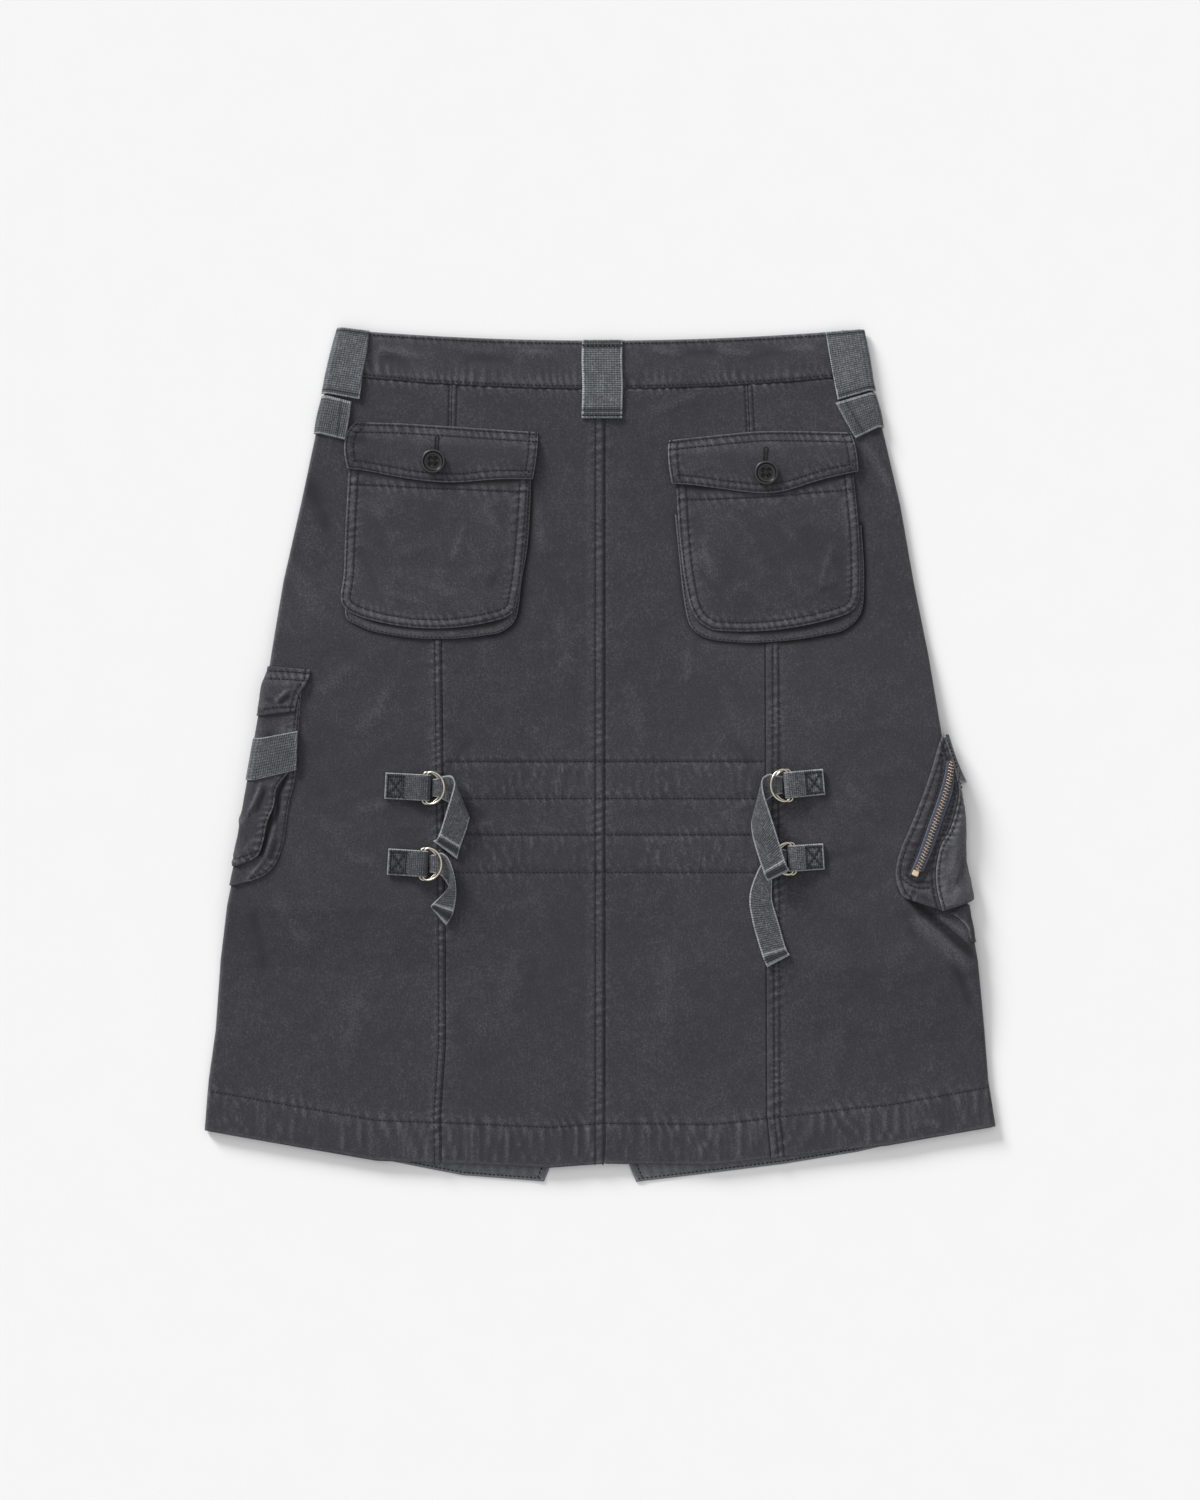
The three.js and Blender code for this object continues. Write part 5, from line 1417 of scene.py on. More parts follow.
def pocket_flap(where):
    """Each upright line of the flap is a parabola through its top, middle and bottom points, and the
    lines follow each other on a smooth curve."""
    pocket = POCKETS[where]
    table = pocket["flap"]
    across = even_places(spacing(table["tx"], table["ty"]), 1.3)[None, :]
    row = smooth_rows(table, across)
    down = np.linspace(0, 1, 34)[:, None]

    def bend(a, b, c):
        return a * (1 - down) * (1 - 2 * down) + 4 * b * down * (1 - down) + c * down * (2 * down - 1)

    x = bend(row["tx"], row["mx"], row["bx"])
    y = bend(row["ty"], row["my"], row["by"]) + 0.35 * down * np.sin(across * 4.2) * (across > 0.2)
    outline, top = three_sides(x, y), pairs(x[0], y[0])
    seams = [
        Seam(outline, (1.5,), 0.2, 3.4, 5.4, 0.55, 0.8, 0.18),
        Seam(outline, (6.6,), 0.22, 3.8, 6.0, 0.4, 2.2, 0.22),
        Seam(top, (-1.6, -7.2), 0.24, 5.5, 5.8, 0.5, 1.5, 0.22),
    ]
    relief, wear = creased(x, y, 31, 1.3, {}, seams)
    distance, _ = nearest_on(outline, x, y)
    from_top, _ = nearest_on(top, x, y)
    # painted shadow of the side band on the left flap's corner, which also has no worn edge there
    shade_under_band = (where == "left") * ease((y - 232) / 4) * ease((-172 - x) / 6)
    wear += (1.2 * bump(distance, 0.9) + 0.6 * bump(from_top, 1.0)) * (1 - shade_under_band) - 0.6 * shade_under_band
    relief += 0.25 * bump(distance - 4, 2.2) - 0.35 * bump(distance, 0.8)
    bx, by = pocket["button"]
    relief -= 0.35 * bump(np.hypot(x - bx, y - by) - 10, 4)
    lift = np.interp(down, FLAP_PROFILE["along"], FLAP_PROFILE["lift"]) + 0 * x
    outer, inner = over_back(x, y, lift + PLY + np.clip(relief, -0.8, 1.2)), over_back(x, y, lift)
    name = f"pocket_{where}_flap"
    closed_shell(name, outer, inner, "washed_cloth", {"wear": wear})
    return carried(name, seams)


# Buttons

BUTTON = {"radius": 9.0, "height": 3.0, "rim": 1.6, "dish": 1.4, "eye": 1.5, "well": 1.4, "spread": 2.0}


def button(where):
    """A turned resin button. Its section is a dish, a raised round rim and a flat back; four wells in
    the dish are its eyes, and cross stitches run through them."""
    b = BUTTON
    bx, by = POCKETS[where]["button"]
    seat = float(back_top(bx, by)) + FLAP_LIFT + 0.5 + PLY + GAP + 0.25
    inside = b["radius"] - b["rim"]
    r_top = np.concatenate([np.linspace(0, inside - 1, 42), inside - np.array([0.7, 0.35, 0])])
    z_top = b["height"] - b["dish"] + b["dish"] * ease(r_top - (inside - 1))
    angle = np.linspace(0, 1, 12) * 1.15 * np.pi - 0.02
    up_to_side, past_side = np.clip(angle, 0, np.pi / 2), np.clip(angle - np.pi / 2, 0, 9)
    r_rim = inside + b["rim"] * np.sin(up_to_side)
    r_rim = np.where(angle > np.pi / 2, b["radius"] - 0.5 * (1 - np.sin(angle)), r_rim)
    z_rim = b["height"] - 0.75 * (1 - np.cos(up_to_side)) - 1.3 * past_side
    radius = np.concatenate([r_top[1:], r_rim[1:], [b["radius"] - 1.1, b["radius"] - 3]])[:, None]
    height = np.concatenate([z_top[1:], z_rim[1:], [0.0, 0.0]])[:, None]
    turn = np.linspace(0, 2 * np.pi, 73)[None, :-1]
    x, y = radius * np.cos(turn), radius * np.sin(turn)
    well = np.zeros(x.shape)
    for sx, sy in ((1, 1), (1, -1), (-1, 1), (-1, -1)):
        away = np.hypot(x - sx * b["spread"], y - sy * b["spread"])
        well = np.maximum(well, 1 - ease((away - 0.75 * b["eye"]) / (0.35 * b["eye"])))
    well = well * (np.arange(1, len(radius) + 1) < len(r_top))[:, None]
    edge = b["radius"] - radius
    rings = bump(edge - 0.8, 0.55) + 0.8 * bump(edge - 2.9, 0.5) - bump(edge - 1.9, 0.4)
    # pale rings painted as highlights of the rounded rim, a darker groove between them, and painted shade in the eyes
    wear = 0.8 * rings - 1.6 * well
    ring = points(bx + x, by + y, seat + height - b["well"] * well)
    closed_rings(f"pocket_{where}_button", ring, "button_resin", wear=wear)
    s = b["spread"]
    level = seat + b["height"] - b["dish"] - 0.1
    bars = [((-s, -s + d, level), (s, s + d, level + 0.1)) for d in (-0.35, 0.35)]
    bars += [((-s, s + d, level + 0.35), (s, -s + d, level + 0.35)) for d in (-0.35, 0.35)]
    starts, stops = np.swapaxes(np.array(bars) + (bx, by, 0), 0, 1)
    upright = np.tile([0.0, 0.0, 1.0], (len(bars), 1))
    spindles(f"button_thread_{where}", (starts + stops) / 2, stops - starts, upright, 0.24)


def spindles(name, middles, spans, normals, radius):
    """Small closed spindles of thread: two rings of four points and two tips, along each span at its
    middle."""
    ring = np.array([[0, 1], [1, 0], [0, -1], [-1, 0]], float)
    shape = [[-0.5, 0, 0]]
    shape += [[-0.3, a, b] for a, b in ring] + [[0.3, a, b] for a, b in ring] + [[0.5, 0, 0]]
    shape = np.array(shape)
    length = np.linalg.norm(spans, axis=1, keepdims=True)
    ahead = spans / length
    beside = unit(np.cross(normals, ahead))
    up = np.cross(ahead, beside)
    local = (
        shape[None, :, 0, None] * spans[:, None, :]
        + radius * shape[None, :, 1, None] * beside[:, None, :]
        + radius * shape[None, :, 2, None] * up[:, None, :]
    )
    coordinates = (middles[:, None, :] + local).reshape(-1, 3)
    start = [[0, 1 + (k + 1) % 4, 1 + k] for k in range(4)]
    finish = [[9, 5 + k, 5 + (k + 1) % 4] for k in range(4)]
    sides = [[1 + k, 1 + (k + 1) % 4, 5 + (k + 1) % 4, 5 + k] for k in range(4)]
    step = 10 * np.arange(len(middles))[:, None, None]
    triangles = (np.array(start + finish)[None] + step).reshape(-1, 3)
    quads = (np.array(sides)[None] + step).reshape(-1, 4)
    new_object(name, coordinates, [quads, triangles], "dark_thread")


# Sewing


def drape(run, face):
    """Points of a path laid on a face from above, with its normals there: the mean of the four nearest
    grid points, weighted by nearness."""
    normals = face_normals(face).reshape(-1, 3)
    normals *= np.sign(normals[:, 2:3] + 1e-12)
    spots = face.reshape(-1, 3)
    top = normals[:, 2] > 0.12
    if face.shape[1] > 3:
        middle = np.median(spots[:, 2])
        top &= spots[:, 2] > 0.45 * middle
    spots, normals = spots[top], normals[top]
    found, upright = [], []
    for start in range(0, len(run), 200):
        part = run[start : start + 200, :2]
        gaps = ((part[:, None, :] - spots[None, :, :2]) ** 2).sum(axis=-1)
        near = np.argpartition(gaps, 4, axis=1)[:, :4]
        weight = 1 / (np.take_along_axis(gaps, near, axis=1) + 0.05)
        weight /= weight.sum(axis=1, keepdims=True)
        height = (spots[near][..., 2] * weight).sum(axis=1)
        found.append(np.column_stack([part, height]))
        upright.append((normals[near] * weight[..., None]).sum(axis=1))
    return np.concatenate(found), np.concatenate(upright)


def sew(name, runs):
    """Stitches along the runs, each (piece whose face carries it, path). A stitch is a spindle of
    thread, and a pitch holds one stitch and the gap after it."""
    sizes = bpy.context.scene.skirt_sizes
    pitch, radius = sizes.stitch_pitch / MM, sizes.thread / MM / 2
    middles, spans, normals = [], [], []
    for carrier, run in runs:
        face = made[carrier]
        low, high = face.reshape(-1, 3).min(axis=0) - 1, face.reshape(-1, 3).max(axis=0) + 1
        run = run[((run >= low[:2]) & (run <= high[:2])).all(axis=1)]
        if len(run) < 3:
            continue
        spots, upright = drape(resample(run, pitch), face)
        ahead = unit(np.gradient(spots, axis=0))
        upright = unit(upright)
        middles.append(spots + upright * radius * 0.55)
        spans.append(ahead * pitch * 0.7)
        normals.append(upright)
    arrays = [np.concatenate(a) for a in (middles, spans, normals)]
    spindles(name, *arrays, radius)


# Cargo pocket round the left fold

CARGO_BASE = columns(
    "x y fold_y lift under",
    (-223, 50, 50, GAP, 100),
    (-225, 24, 24, GAP, 100),
    (-226.5, 5, 5, GAP, 100),
    (-228, -17.2, -18, GAP, 100),
    (-232.5, -36.8, -39, GAP, 100),
    (-236.2, -63, -65, GAP, 100),
    (-241.5, -79.1, -82, GAP, 96),
    (-249, -88.5, -91, GAP, 88),
    (-260, -93.8, -97.5, GAP, 78),
)
CARGO_POUCH = columns(
    "x y fold_y lift under",
    (-224.5, 42, 42, BODY_LIFT, 95),
    (-226.5, 24, 24, BODY_LIFT, 95),
    (-229, -7.5, -8, BODY_LIFT, 95),
    (-234, -14.5, -17, BODY_LIFT, 94),
    (-241.5, -24.8, -29, BODY_LIFT, 93),
    (-243.8, -38.2, -42, BODY_LIFT, 92),
    (-249, -51, -55, BODY_LIFT, 91),
    (-251.2, -63, -67, BODY_LIFT, 90),
    (-255, -74, -77, BODY_LIFT, 86),
    (-261.5, -79, -83, BODY_LIFT, 78),
)
CARGO_FLAP = columns(
    "x y fold_y lift under",
    (-216.8, 63.8, 66.4, GAP, 98),
    (-217.5, 57.5, 59, 1.4, 98),
    (-220.5, 52, 53, 2.9, 98),
    (-225, 45, 45, 2.9, 98),
    (-228, 32.6, 29.4, 2.9, 98),
)
CARGO_STRAP = columns("x y fold_y lift under", (-225.8, 18, 12.8, 2.9, 60), (-226.8, -11.2, -18.8, 2.9, 60))


def visible_edge(table):
    """The edge of a wrapped piece that shows."""
    return resample(pairs(table["x"], table["y"]), 2.0)


def wrapped_cloth(name, side, table, edge, seams, folds, seed, pitch):
    """A piece of cloth laid round a side fold, crumpled, creased and worn along its visible edge. Gives
    its stitch rows back."""

    def relief(inward, y):
        beyond = fold_x(side, y) + side * (inward + FOLD_RADIUS) * 0.2
        x = np.where(inward >= 0, tangent_x(side, y) - side * inward, beyond)
        top = bpy.context.scene.skirt_sizes.crumple * (1.2 * crumple(x, y, seed) + creases(x, y, folds))
        # ridges pale with wear; hollows darker with painted shade
        wear = 0.45 * np.clip(top, -0.5, 0.9) - 0.9 * np.clip(-top - 0.2, 0, 1)
        for seam in seams:
            seam.mark(x, y, top, wear)
        from_edge, _ = nearest_on(edge, x, y)
        wear += 0.6 * bump(from_edge, 1.1)
        top -= 0.3 * bump(from_edge, 0.9)
        return np.clip(top, -0.9, 1.3), wear

    wrapped(name, side, table, PLY, "washed_cloth", pitch, relief=relief)
    return carried(name, seams)


def cargo_pocket():
    """Base with its gusset, pouch, flap and webbing strap, each laid on the one below round the fold."""
    base_edge = visible_edge(CARGO_BASE)
    base_seam = Seam(base_edge, (-1.6,), 0.25, 3.6, 6.0, 0.55, 0.5, 0.2)
    base_folds = columns(
        "x0 y0 x1 y1 width height",
        (-242.6, -34, -245.3, -64, 1.3, 1.0),
        (-244.6, -58, -251.5, -79, 1.3, 1.0),
        (-249.5, -75, -264, -93, 1.4, 0.9),
        (-246.2, -30, -248.6, -62, 1.9, -1.7),
        (-247.8, -54, -255.6, -78, 1.9, -1.7),
        (-233, -11, -241.5, -31, 1.8, -1.5),
        (-239.6, -24, -244.6, -56, 1.9, -1.7),
        (-240.6, -60, -247.5, -82, 1.4, -0.8),
        (-231, 20, -234, -16, 2, -0.5),
    )
    runs = wrapped_cloth("cargo_base", -1, CARGO_BASE, base_edge, [base_seam], base_folds, 101, 1.4)

    pouch_edge = visible_edge(CARGO_POUCH)
    bottom = [(-276, -83.5), (-266, -80.2), (-254, -75.8)]
    pouch_seams = [
        Seam(pouch_edge, (-1.8,), 0.3, 4.0, 5.6, 0.7, 1.5, 0.22),
        Seam(bottom, (-0.5, 4.5), 0.3, 5, 5.4, 0.5, 2.5, 0.2),
    ]
    pouch_folds = columns(
        "x0 y0 x1 y1 width height",
        (-252.5, -19, -262.5, -43, 1.5, 1.3),
        (-260, -37, -273, -57, 1.5, 1.2),
        (-249, -22, -258, -46, 1.8, -0.7),
        (-240, -28, -250, -52, 2.2, 0.6),
        (-236, 30, -240, -8, 2.5, 0.5),
        (-246, 20, -250, -6, 3, -0.6),
        (-256, -60, -268, -74, 2.4, 0.5),
        (-268, -30, -274, -70, 3, -0.5),
    )
    runs += wrapped_cloth("cargo_pouch", -1, CARGO_POUCH, pouch_edge, pouch_seams, pouch_folds, 111, 1.2)

    flap_edge = visible_edge(CARGO_FLAP)
    top_line = [(-252, 65.2), (-236, 64.8), (-218, 63.4)]
    low_line = [(-250, 31.2), (-240, 32.4), (-229, 32.6)]
    flap_seams = [
        Seam(flap_edge, (-3.4,), 0.25, 3.6, 5.4, 0.5, 0.9, 0.2),
        Seam(top_line, (-2.2, -8.0), 0.28, 5.5, 5.2, 0.5, 1.9, 0.2),
        Seam(low_line, (3.4,), 0.28, 3.6, 5.0, 0.5, 3.1, 0.2),
    ]
    flap_folds = columns(
        "x0 y0 x1 y1 width height",
        (-244, 37.5, -230.5, 50, 1.2, 1.3),
        (-240, 37.5, -229, 45, 1.6, -0.6),
        (-252, 44, -240, 36, 2, -0.5),
        (-228, 58, -236, 50, 2, 0.4),
    )
    runs += wrapped_cloth("cargo_flap", -1, CARGO_FLAP, flap_edge, flap_seams, flap_folds, 121, 1.1)

    def strap_marks(inward, at):
        end = inward - inward.max(axis=1, keepdims=True)
        return {"across": 0.93 * (2 * at - 1) + 0 * inward, "along": inward, "wear": 0.6 * bump(end, 1.2)}

    wrapped("cargo_strap", -1, CARGO_STRAP, PLY, "charcoal_webbing", 1.1, marks=strap_marks)
    sew("stitching_cargo_pocket", [(name, run[run[:, 0] > fold_x(-1, run[:, 1]) + 0.5]) for name, run in runs])


# Zip pocket round the right fold

ZIP_EDGES = columns(
    "y left seam out",
    (13.5, 255.2, 256.8, 258),
    (8, 253.3, 258.6, 259.8),
    (-2, 250.4, 262, 263.8),
    (-15, 246.5, 265.6, 267.8),
    (-27, 242.4, 268, 270.6),
    (-42, 236.8, 265.6, 273.2),
    (-56, 231, 261, 273.8),
    (-67, 226.2, 254.8, 273.8),
    (-80, 222, 251.5, 274.4),
    (-92, 221.2, 250.6, 276.5),
    (-104, 225.2, 252.2, 279),
)
ZIP_BOTTOM = {"left": (229, -107.5), "seam": (255.6, -116.5), "out": (279.4, -108)}
ZIP_LINE = columns(
    "x y left right",
    (262.2, -3.8, 3, 0.1),
    (261.3, -15.8, 4.6, 3),
    (257.2, -31.5, 5.2, 5.2),
    (250.5, -50.2, 5.2, 5.2),
    (243.8, -69.8, 5.2, 5.2),
    (236.2, -88.4, 5.2, 5.2),
)
FACE_LIFT = 3.0  # the face stands over the skirt, past its slope beside the stitched edge
FACE_SLOPE = 0.28
UNDER_POCKET = {"z": 0.5, "reach": 80.0}
TAPE = 0.6
CHAIN = {"half": 2.05, "height": 1.2, "pitch": 2.33, "tooth": 0.56}
TOOTH_SLACK = 0.42  # the closed rows lean on each other, which leaves wider gaps on one side of a tooth
PATCH = columns(
    "x y fold_y lift under",
    (262, -118.4, -112, GAP, 60),
    (268, -122, -121, GAP, 60),
    (274.5, -129, -131, GAP, 60),
    (278.2, -139, -140, GAP, 60),
)


def face_top(x, y):
    return back_top(x, y) + FACE_LIFT + PLY


def zip_edge(name):
    """X and y of one edge of the pocket, down to its bottom corner."""
    x, y = ZIP_BOTTOM[name]
    return np.append(ZIP_EDGES[name], x), np.append(ZIP_EDGES["y"], y)


def zip_face():
    """The pocket's face: it slopes up from its piped edge and is level under the zip."""
    left, seam = zip_edge("left"), zip_edge("seam")
    at = even_places(spacing(*left), 1.0)[:, None]
    share = np.linspace(0, 1, 36)[None, :]
    x = blend(flow(left[0], at), flow(seam[0], at) - GAP / 2, share)
    y = blend(flow(left[1], at), flow(seam[1], at), share)
    left_edge = pairs(x[:, 0], y[:, 0])
    seam_edge = pairs(x[:, -1], y[:, -1])
    zip_path = resample(pairs(ZIP_LINE["x"], ZIP_LINE["y"]), 1.5)
    box = [(228.5, -89.5), (236.5, -94.5), (244.5, -94.8)]
    seams = [
        Seam(left_edge, (3.2,), 0.35, 3.4, 6.2, 0.4, 0.6, 0.25),
        Seam(seam_edge, (-3.0,), 0.35, 3.6, 6.0, 0.45, 2.0, 0.2),
        Seam(zip_path, (7.0,), 0.12, 2.4, 4.2, 0.2, 1.2, 0.12),
        Seam(zip_path, (-7.0,), 0.12, 2.4, 4.2, 0.2, 2.2, 0.12),
        Seam(box, (0, -4.2), 0.12, 2.4, 4.2, 0.2, 1.0, 0.12),
    ]
    folds = columns(
        "x0 y0 x1 y1 width height",
        (224, -96, 244, -106, 2.4, 0.6),
        (228, -100, 250, -112, 2, -0.5),
        (236, -56, 246, -52, 2, 0.4),
        (232, -70, 242, -66, 2, -0.4),
        (242, -40, 252, -36, 2, 0.4),
        (224, -84, 232, -80, 2, 0.5),
        (250, -66, 253, -40, 1.8, -0.5),
        (240, -94, 249, -110, 2, 0.5),
    )
    relief, wear = creased(x, y, 131, 1.0, folds, seams, 0.4, -0.12)
    from_left, along = nearest_on(left_edge, x, y)
    from_zip, _ = nearest_on(zip_path, x, y)
    between = bump(from_left - 7, 4) * uneven_wave(along, 7.0, 4.4)
    relief += 0.35 * between
    # pucker crests beside the edge paler and their hollows darker with painted shade; paler along the edge and towards
    # the bottom
    wear += 0.15 * between + 0.5 * bump(from_left, 1.2) + 0.25 * ease((-86 - y) / 8)
    relief += 0.55 * bump(from_left - 1.4, 1.3)
    level = ease((np.abs(from_zip) - 4.5) / 2.0)
    relief = np.clip(relief, -0.6, 1.2) * level
    relief -= 0.1 * (1 - level)
    lift = blend(GAP, FACE_LIFT, ease(share / FACE_SLOPE))
    outer, inner = over_back(x, y, lift + PLY + relief), over_back(x, y, lift)
    closed_shell("zip_pocket_face", outer, inner, "washed_cloth", {"wear": wear})
    return carried("zip_pocket_face", seams)


def zip_outer():
    """The pocket's outer panel. Its section runs from the seam over the bulge, down outside the fold and
    flat on under the skirt; the rows carry it along the pocket."""
    at = even_places(spacing(*zip_edge("out")), 1.2)[:, None]
    seam, y0 = (flow(values, at) for values in zip_edge("seam"))
    out, y1 = (flow(values, at) for values in zip_edge("out"))
    top = face_top(seam, y0)
    z, reach = UNDER_POCKET["z"], UNDER_POCKET["reach"]
    # x, z and the wall's direction at seven places of the section
    ones = np.ones_like(seam)
    place = [
        (seam + GAP / 2, top, 0 * ones, ones),
        (blend(seam, out, 0.62), top - 1.1, 0.5 * ones, 0.85 * ones),
        (out, top - 5.8, ones, 0 * ones),
        (out - 1.2, (z + 3.2) * ones, 0.85 * ones, -0.5 * ones),
        (out - 4.5, (z + 0.6) * ones, 0.35 * ones, -0.9 * ones),
        (out - 0.35 * reach, z * ones, 0 * ones, -ones),
        (out - reach, z * ones, 0 * ones, -ones),
    ]
    stop_x, stop_z, stop_nx, stop_nz = (np.concatenate(values, axis=1) for values in zip(*place))
    share = np.concatenate([np.linspace(0, 2, 27)[:-1], np.linspace(2, 4, 17)[:-1], np.linspace(4, 6, 14)])
    k = np.clip(np.floor(share).astype(int), 0, 5)
    t = share - k

    def along_section(values):
        return blend(values[:, k], values[:, k + 1], t)

    smooth_x, smooth_z = (
        np.where(share < 4.0, np.array([flow(v, share) for v in values]), along_section(values))
        for values in (stop_x, stop_z)
    )
    nx, nz = along_section(stop_nx), along_section(stop_nz)
    y = np.where(share <= 2, blend(y0, y1, np.clip(share / 2, 0, 1)), y1)
    low = np.maximum(smooth_z, z)
    seam_edge = pairs(seam[:, 0], y0[:, 0])
    ridge = Seam(seam_edge, (2.2,), 0.45, 4.5, 6.0, 0.8, 2.6, 0.2)
    folds = columns(
        "x0 y0 x1 y1 width height",
        (274.5, -74, 266, -101, 2.0, -1.3),
        (268, -62, 260, -92, 2.2, 0.6),
        (262, -66, 256, -84, 1.8, -0.6),
        (272, -44, 264, -62, 2.4, 0.5),
        (270, -96, 262, -112, 2.6, 0.6),
        (277, -88, 274, -106, 2, 0.5),
        (258, -92, 256, -110, 1.6, 0.5),
    )
    relief, wear = creased(smooth_x, y, 141, 1.2, folds, [ridge], 0.4, 0.35)
    from_seam, _ = nearest_on(seam_edge, smooth_x, y)
    wear += 0.5 * bump(from_seam, 1.2) + 0.3 * bump(share - 1.9, 0.25)
    fade = ease((4 - share) / 1.4) + 0 * y
    relief = np.clip(relief, -0.7, 0.9) * fade
    outer = points(smooth_x + nx * relief, y, low + nz * relief)
    inner = points(smooth_x - nx * PLY, y, low - nz * PLY)
    base = points(smooth_x, y, low)
    closed_shell("zip_pocket_outer", outer, inner, "washed_cloth", {"wear": wear * fade}, base)
    return carried("zip_pocket_outer", [ridge])


def zip_patch():
    edge = visible_edge(PATCH)
    seam = Seam(edge, (-1.8,), 0.3, 3.8, 5.6, 0.6, 0.8, 0.2)
    folds = columns("x0 y0 x1 y1 width height", (270, -122, 279, -136, 2.2, 0.4))
    return wrapped_cloth("zip_pocket_patch", 1, PATCH, edge, [seam], folds, 151, 1.2)


def zip_strip(pitch):
    """Rows along the zip: centre, half widths to the left and right, and the direction along it."""
    at = even_places(spacing(ZIP_LINE["x"], ZIP_LINE["y"]), pitch)[:, None]
    row = smooth_rows(ZIP_LINE, at)
    row["left"], row["right"] = np.clip(row["left"], 0.1, 5.2), np.clip(row["right"], 0.1, 5.2)
    return at, row


def zip_tape():
    at, row = zip_strip(1.2)
    share = np.linspace(-1, 1, 15)[None, :]
    beside = np.where(share < 0, share * row["left"], share * row["right"])
    x, y = row["x"] + beside, row["y"] + 0.3 * beside
    level = face_top(x, y) + GAP
    outer = points(x, y, level + TAPE - 0.15 * np.abs(share) ** 6)
    inner = points(x, y, level)
    marks = {"across": share + 0 * at, "along": 16.0 * at + 0 * share, "wear": 0 * x}
    closed_shell("zip_tape", outer, inner, "zip_tape_weave", marks)


def zip_teeth():
    """Two rows of cast teeth that mesh along the middle of the tape. A tooth is a block with its top
    edges taken off and a narrower nose; the rows are half a pitch apart, less their slack."""
    _, row = zip_strip(CHAIN["pitch"] / 2)
    x, y = row["x"][1:-2, 0], row["y"][1:-2, 0]
    side = np.where(np.arange(len(x)) % 2 == 0, -1.0, 1.0)
    ahead = unit(pairs(np.gradient(x), np.gradient(y)))
    beside = pairs(-ahead[:, 1], ahead[:, 0]) * side[:, None]
    room = np.minimum(np.minimum(row["left"], row["right"])[1:-2, 0] + 0.4, CHAIN["half"])
    slack = (side > 0) * TOOTH_SLACK
    x, y = x - slack * ahead[:, 0], y - slack * ahead[:, 1]
    base = face_top(x, y) + 2 * GAP + TAPE - 0.2
    # a tooth's corners: beside the middle line, along it, and up
    plan = [(1.0, -0.5), (1.0, 0.5), (-0.3, 0.38), (-0.3, -0.38)]
    crown = [(0.86, -0.3, 1.0), (0.86, 0.3, 1.0), (-0.16, 0.24, 1.0), (-0.16, -0.24, 1.0)]
    shape = np.array([(*corner, level) for level in (0.0, 0.7) for corner in plan] + crown)
    across = shape[None, :, 0] * room[:, None]
    flat = (
        pairs(x, y)[:, None, :]
        + across[..., None] * beside[:, None, :]
        + (shape[None, :, 1] * CHAIN["tooth"])[..., None] * ahead[:, None, :]
    )
    height = base[:, None] + shape[None, :, 2] * CHAIN["height"]
    coordinates = np.concatenate([flat, height[..., None]], axis=-1).reshape(-1, 3)
    ring = [[a, (a + 1) % 4, (a + 1) % 4 + 4, a + 4] for a in range(4)]
    ring += [[a + 4, (a + 1) % 4 + 4, (a + 1) % 4 + 8, a + 8] for a in range(4)]
    quads = np.array(ring + [[3, 2, 1, 0], [8, 9, 10, 11]])
    step = 12 * np.arange(len(x))
    faces = quads[None] + step[:, None, None]
    faces[side < 0] = faces[side < 0][:, :, ::-1]
    faces = [faces.reshape(-1, 4)]
    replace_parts(new_object("zip_chain", coordinates, faces, "coppery_brass", smooth=False), "zip_chain")


def zip_stop():
    """The bottom stop: a clamped block, rounded to a super-ellipse in plan and domed on top."""
    x0, y0 = ZIP_LINE["x"][-1] - 0.9, ZIP_LINE["y"][-1] + 0.2
    base = float(face_top(ZIP_LINE["x"][-1], ZIP_LINE["y"][-1])) + 4 * GAP + TAPE + CHAIN["height"] - 0.9
    turn = np.linspace(0, 2 * np.pi, 49)[None, :-1]
    level = np.array([0, 0, 0.9, 1.35, 1.5, 1.5])[:, None]
    size = np.array([0.001, 1, 1, 0.86, 0.6, 0.001])[:, None]
    wide, deep = (np.sign(v) * np.abs(v) ** 0.4 * size * half for v, half in ((np.cos(turn), 2.5), (np.sin(turn), 2.3)))
    dent = 0.35 * bump(deep, 0.5) * (size < 0.9) * (level > 1)
    c, s = np.cos(-0.36), np.sin(-0.36)
    ring = points(x0 + c * wide - s * deep, y0 + s * wide + c * deep, base + level - dent)
    closed_rings("zip_stop", ring, "coppery_brass")


def closed_rings(name, ring, material, closed_path=False, wear=None):
    """A surface through rings of points, joined round each ring. It is capped at its two ends, or
    joined from the last ring to the first."""
    rows, cols = ring.shape[:2]
    here = np.arange(cols)
    after = (here + 1) % cols
    last = rows if closed_path else rows - 1
    first = np.arange(last)[:, None] * cols
    following = ((np.arange(last)[:, None] + 1) % rows) * cols
    quads = np.stack([first + here, following + here, following + after, first + after], axis=-1).reshape(-1, 4)
    coordinates, faces = ring.reshape(-1, 3), [quads]
    if not closed_path:
        coordinates = np.concatenate([coordinates, ring[[0, -1]].mean(axis=1)])
        end, foot, tip = (rows - 1) * cols, np.full(cols, rows * cols), np.full(cols, rows * cols + 1)
        caps = [np.stack([here, after, foot], axis=-1), np.stack([end + after, end + here, tip], axis=-1)]
        faces.append(np.concatenate(caps))
    marks = {} if wear is None else {"wear": np.append(wear.ravel(), [0.0, 0.0])}
    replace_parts(new_object(name, coordinates, faces, material, marks), name)


# Straps of webbing


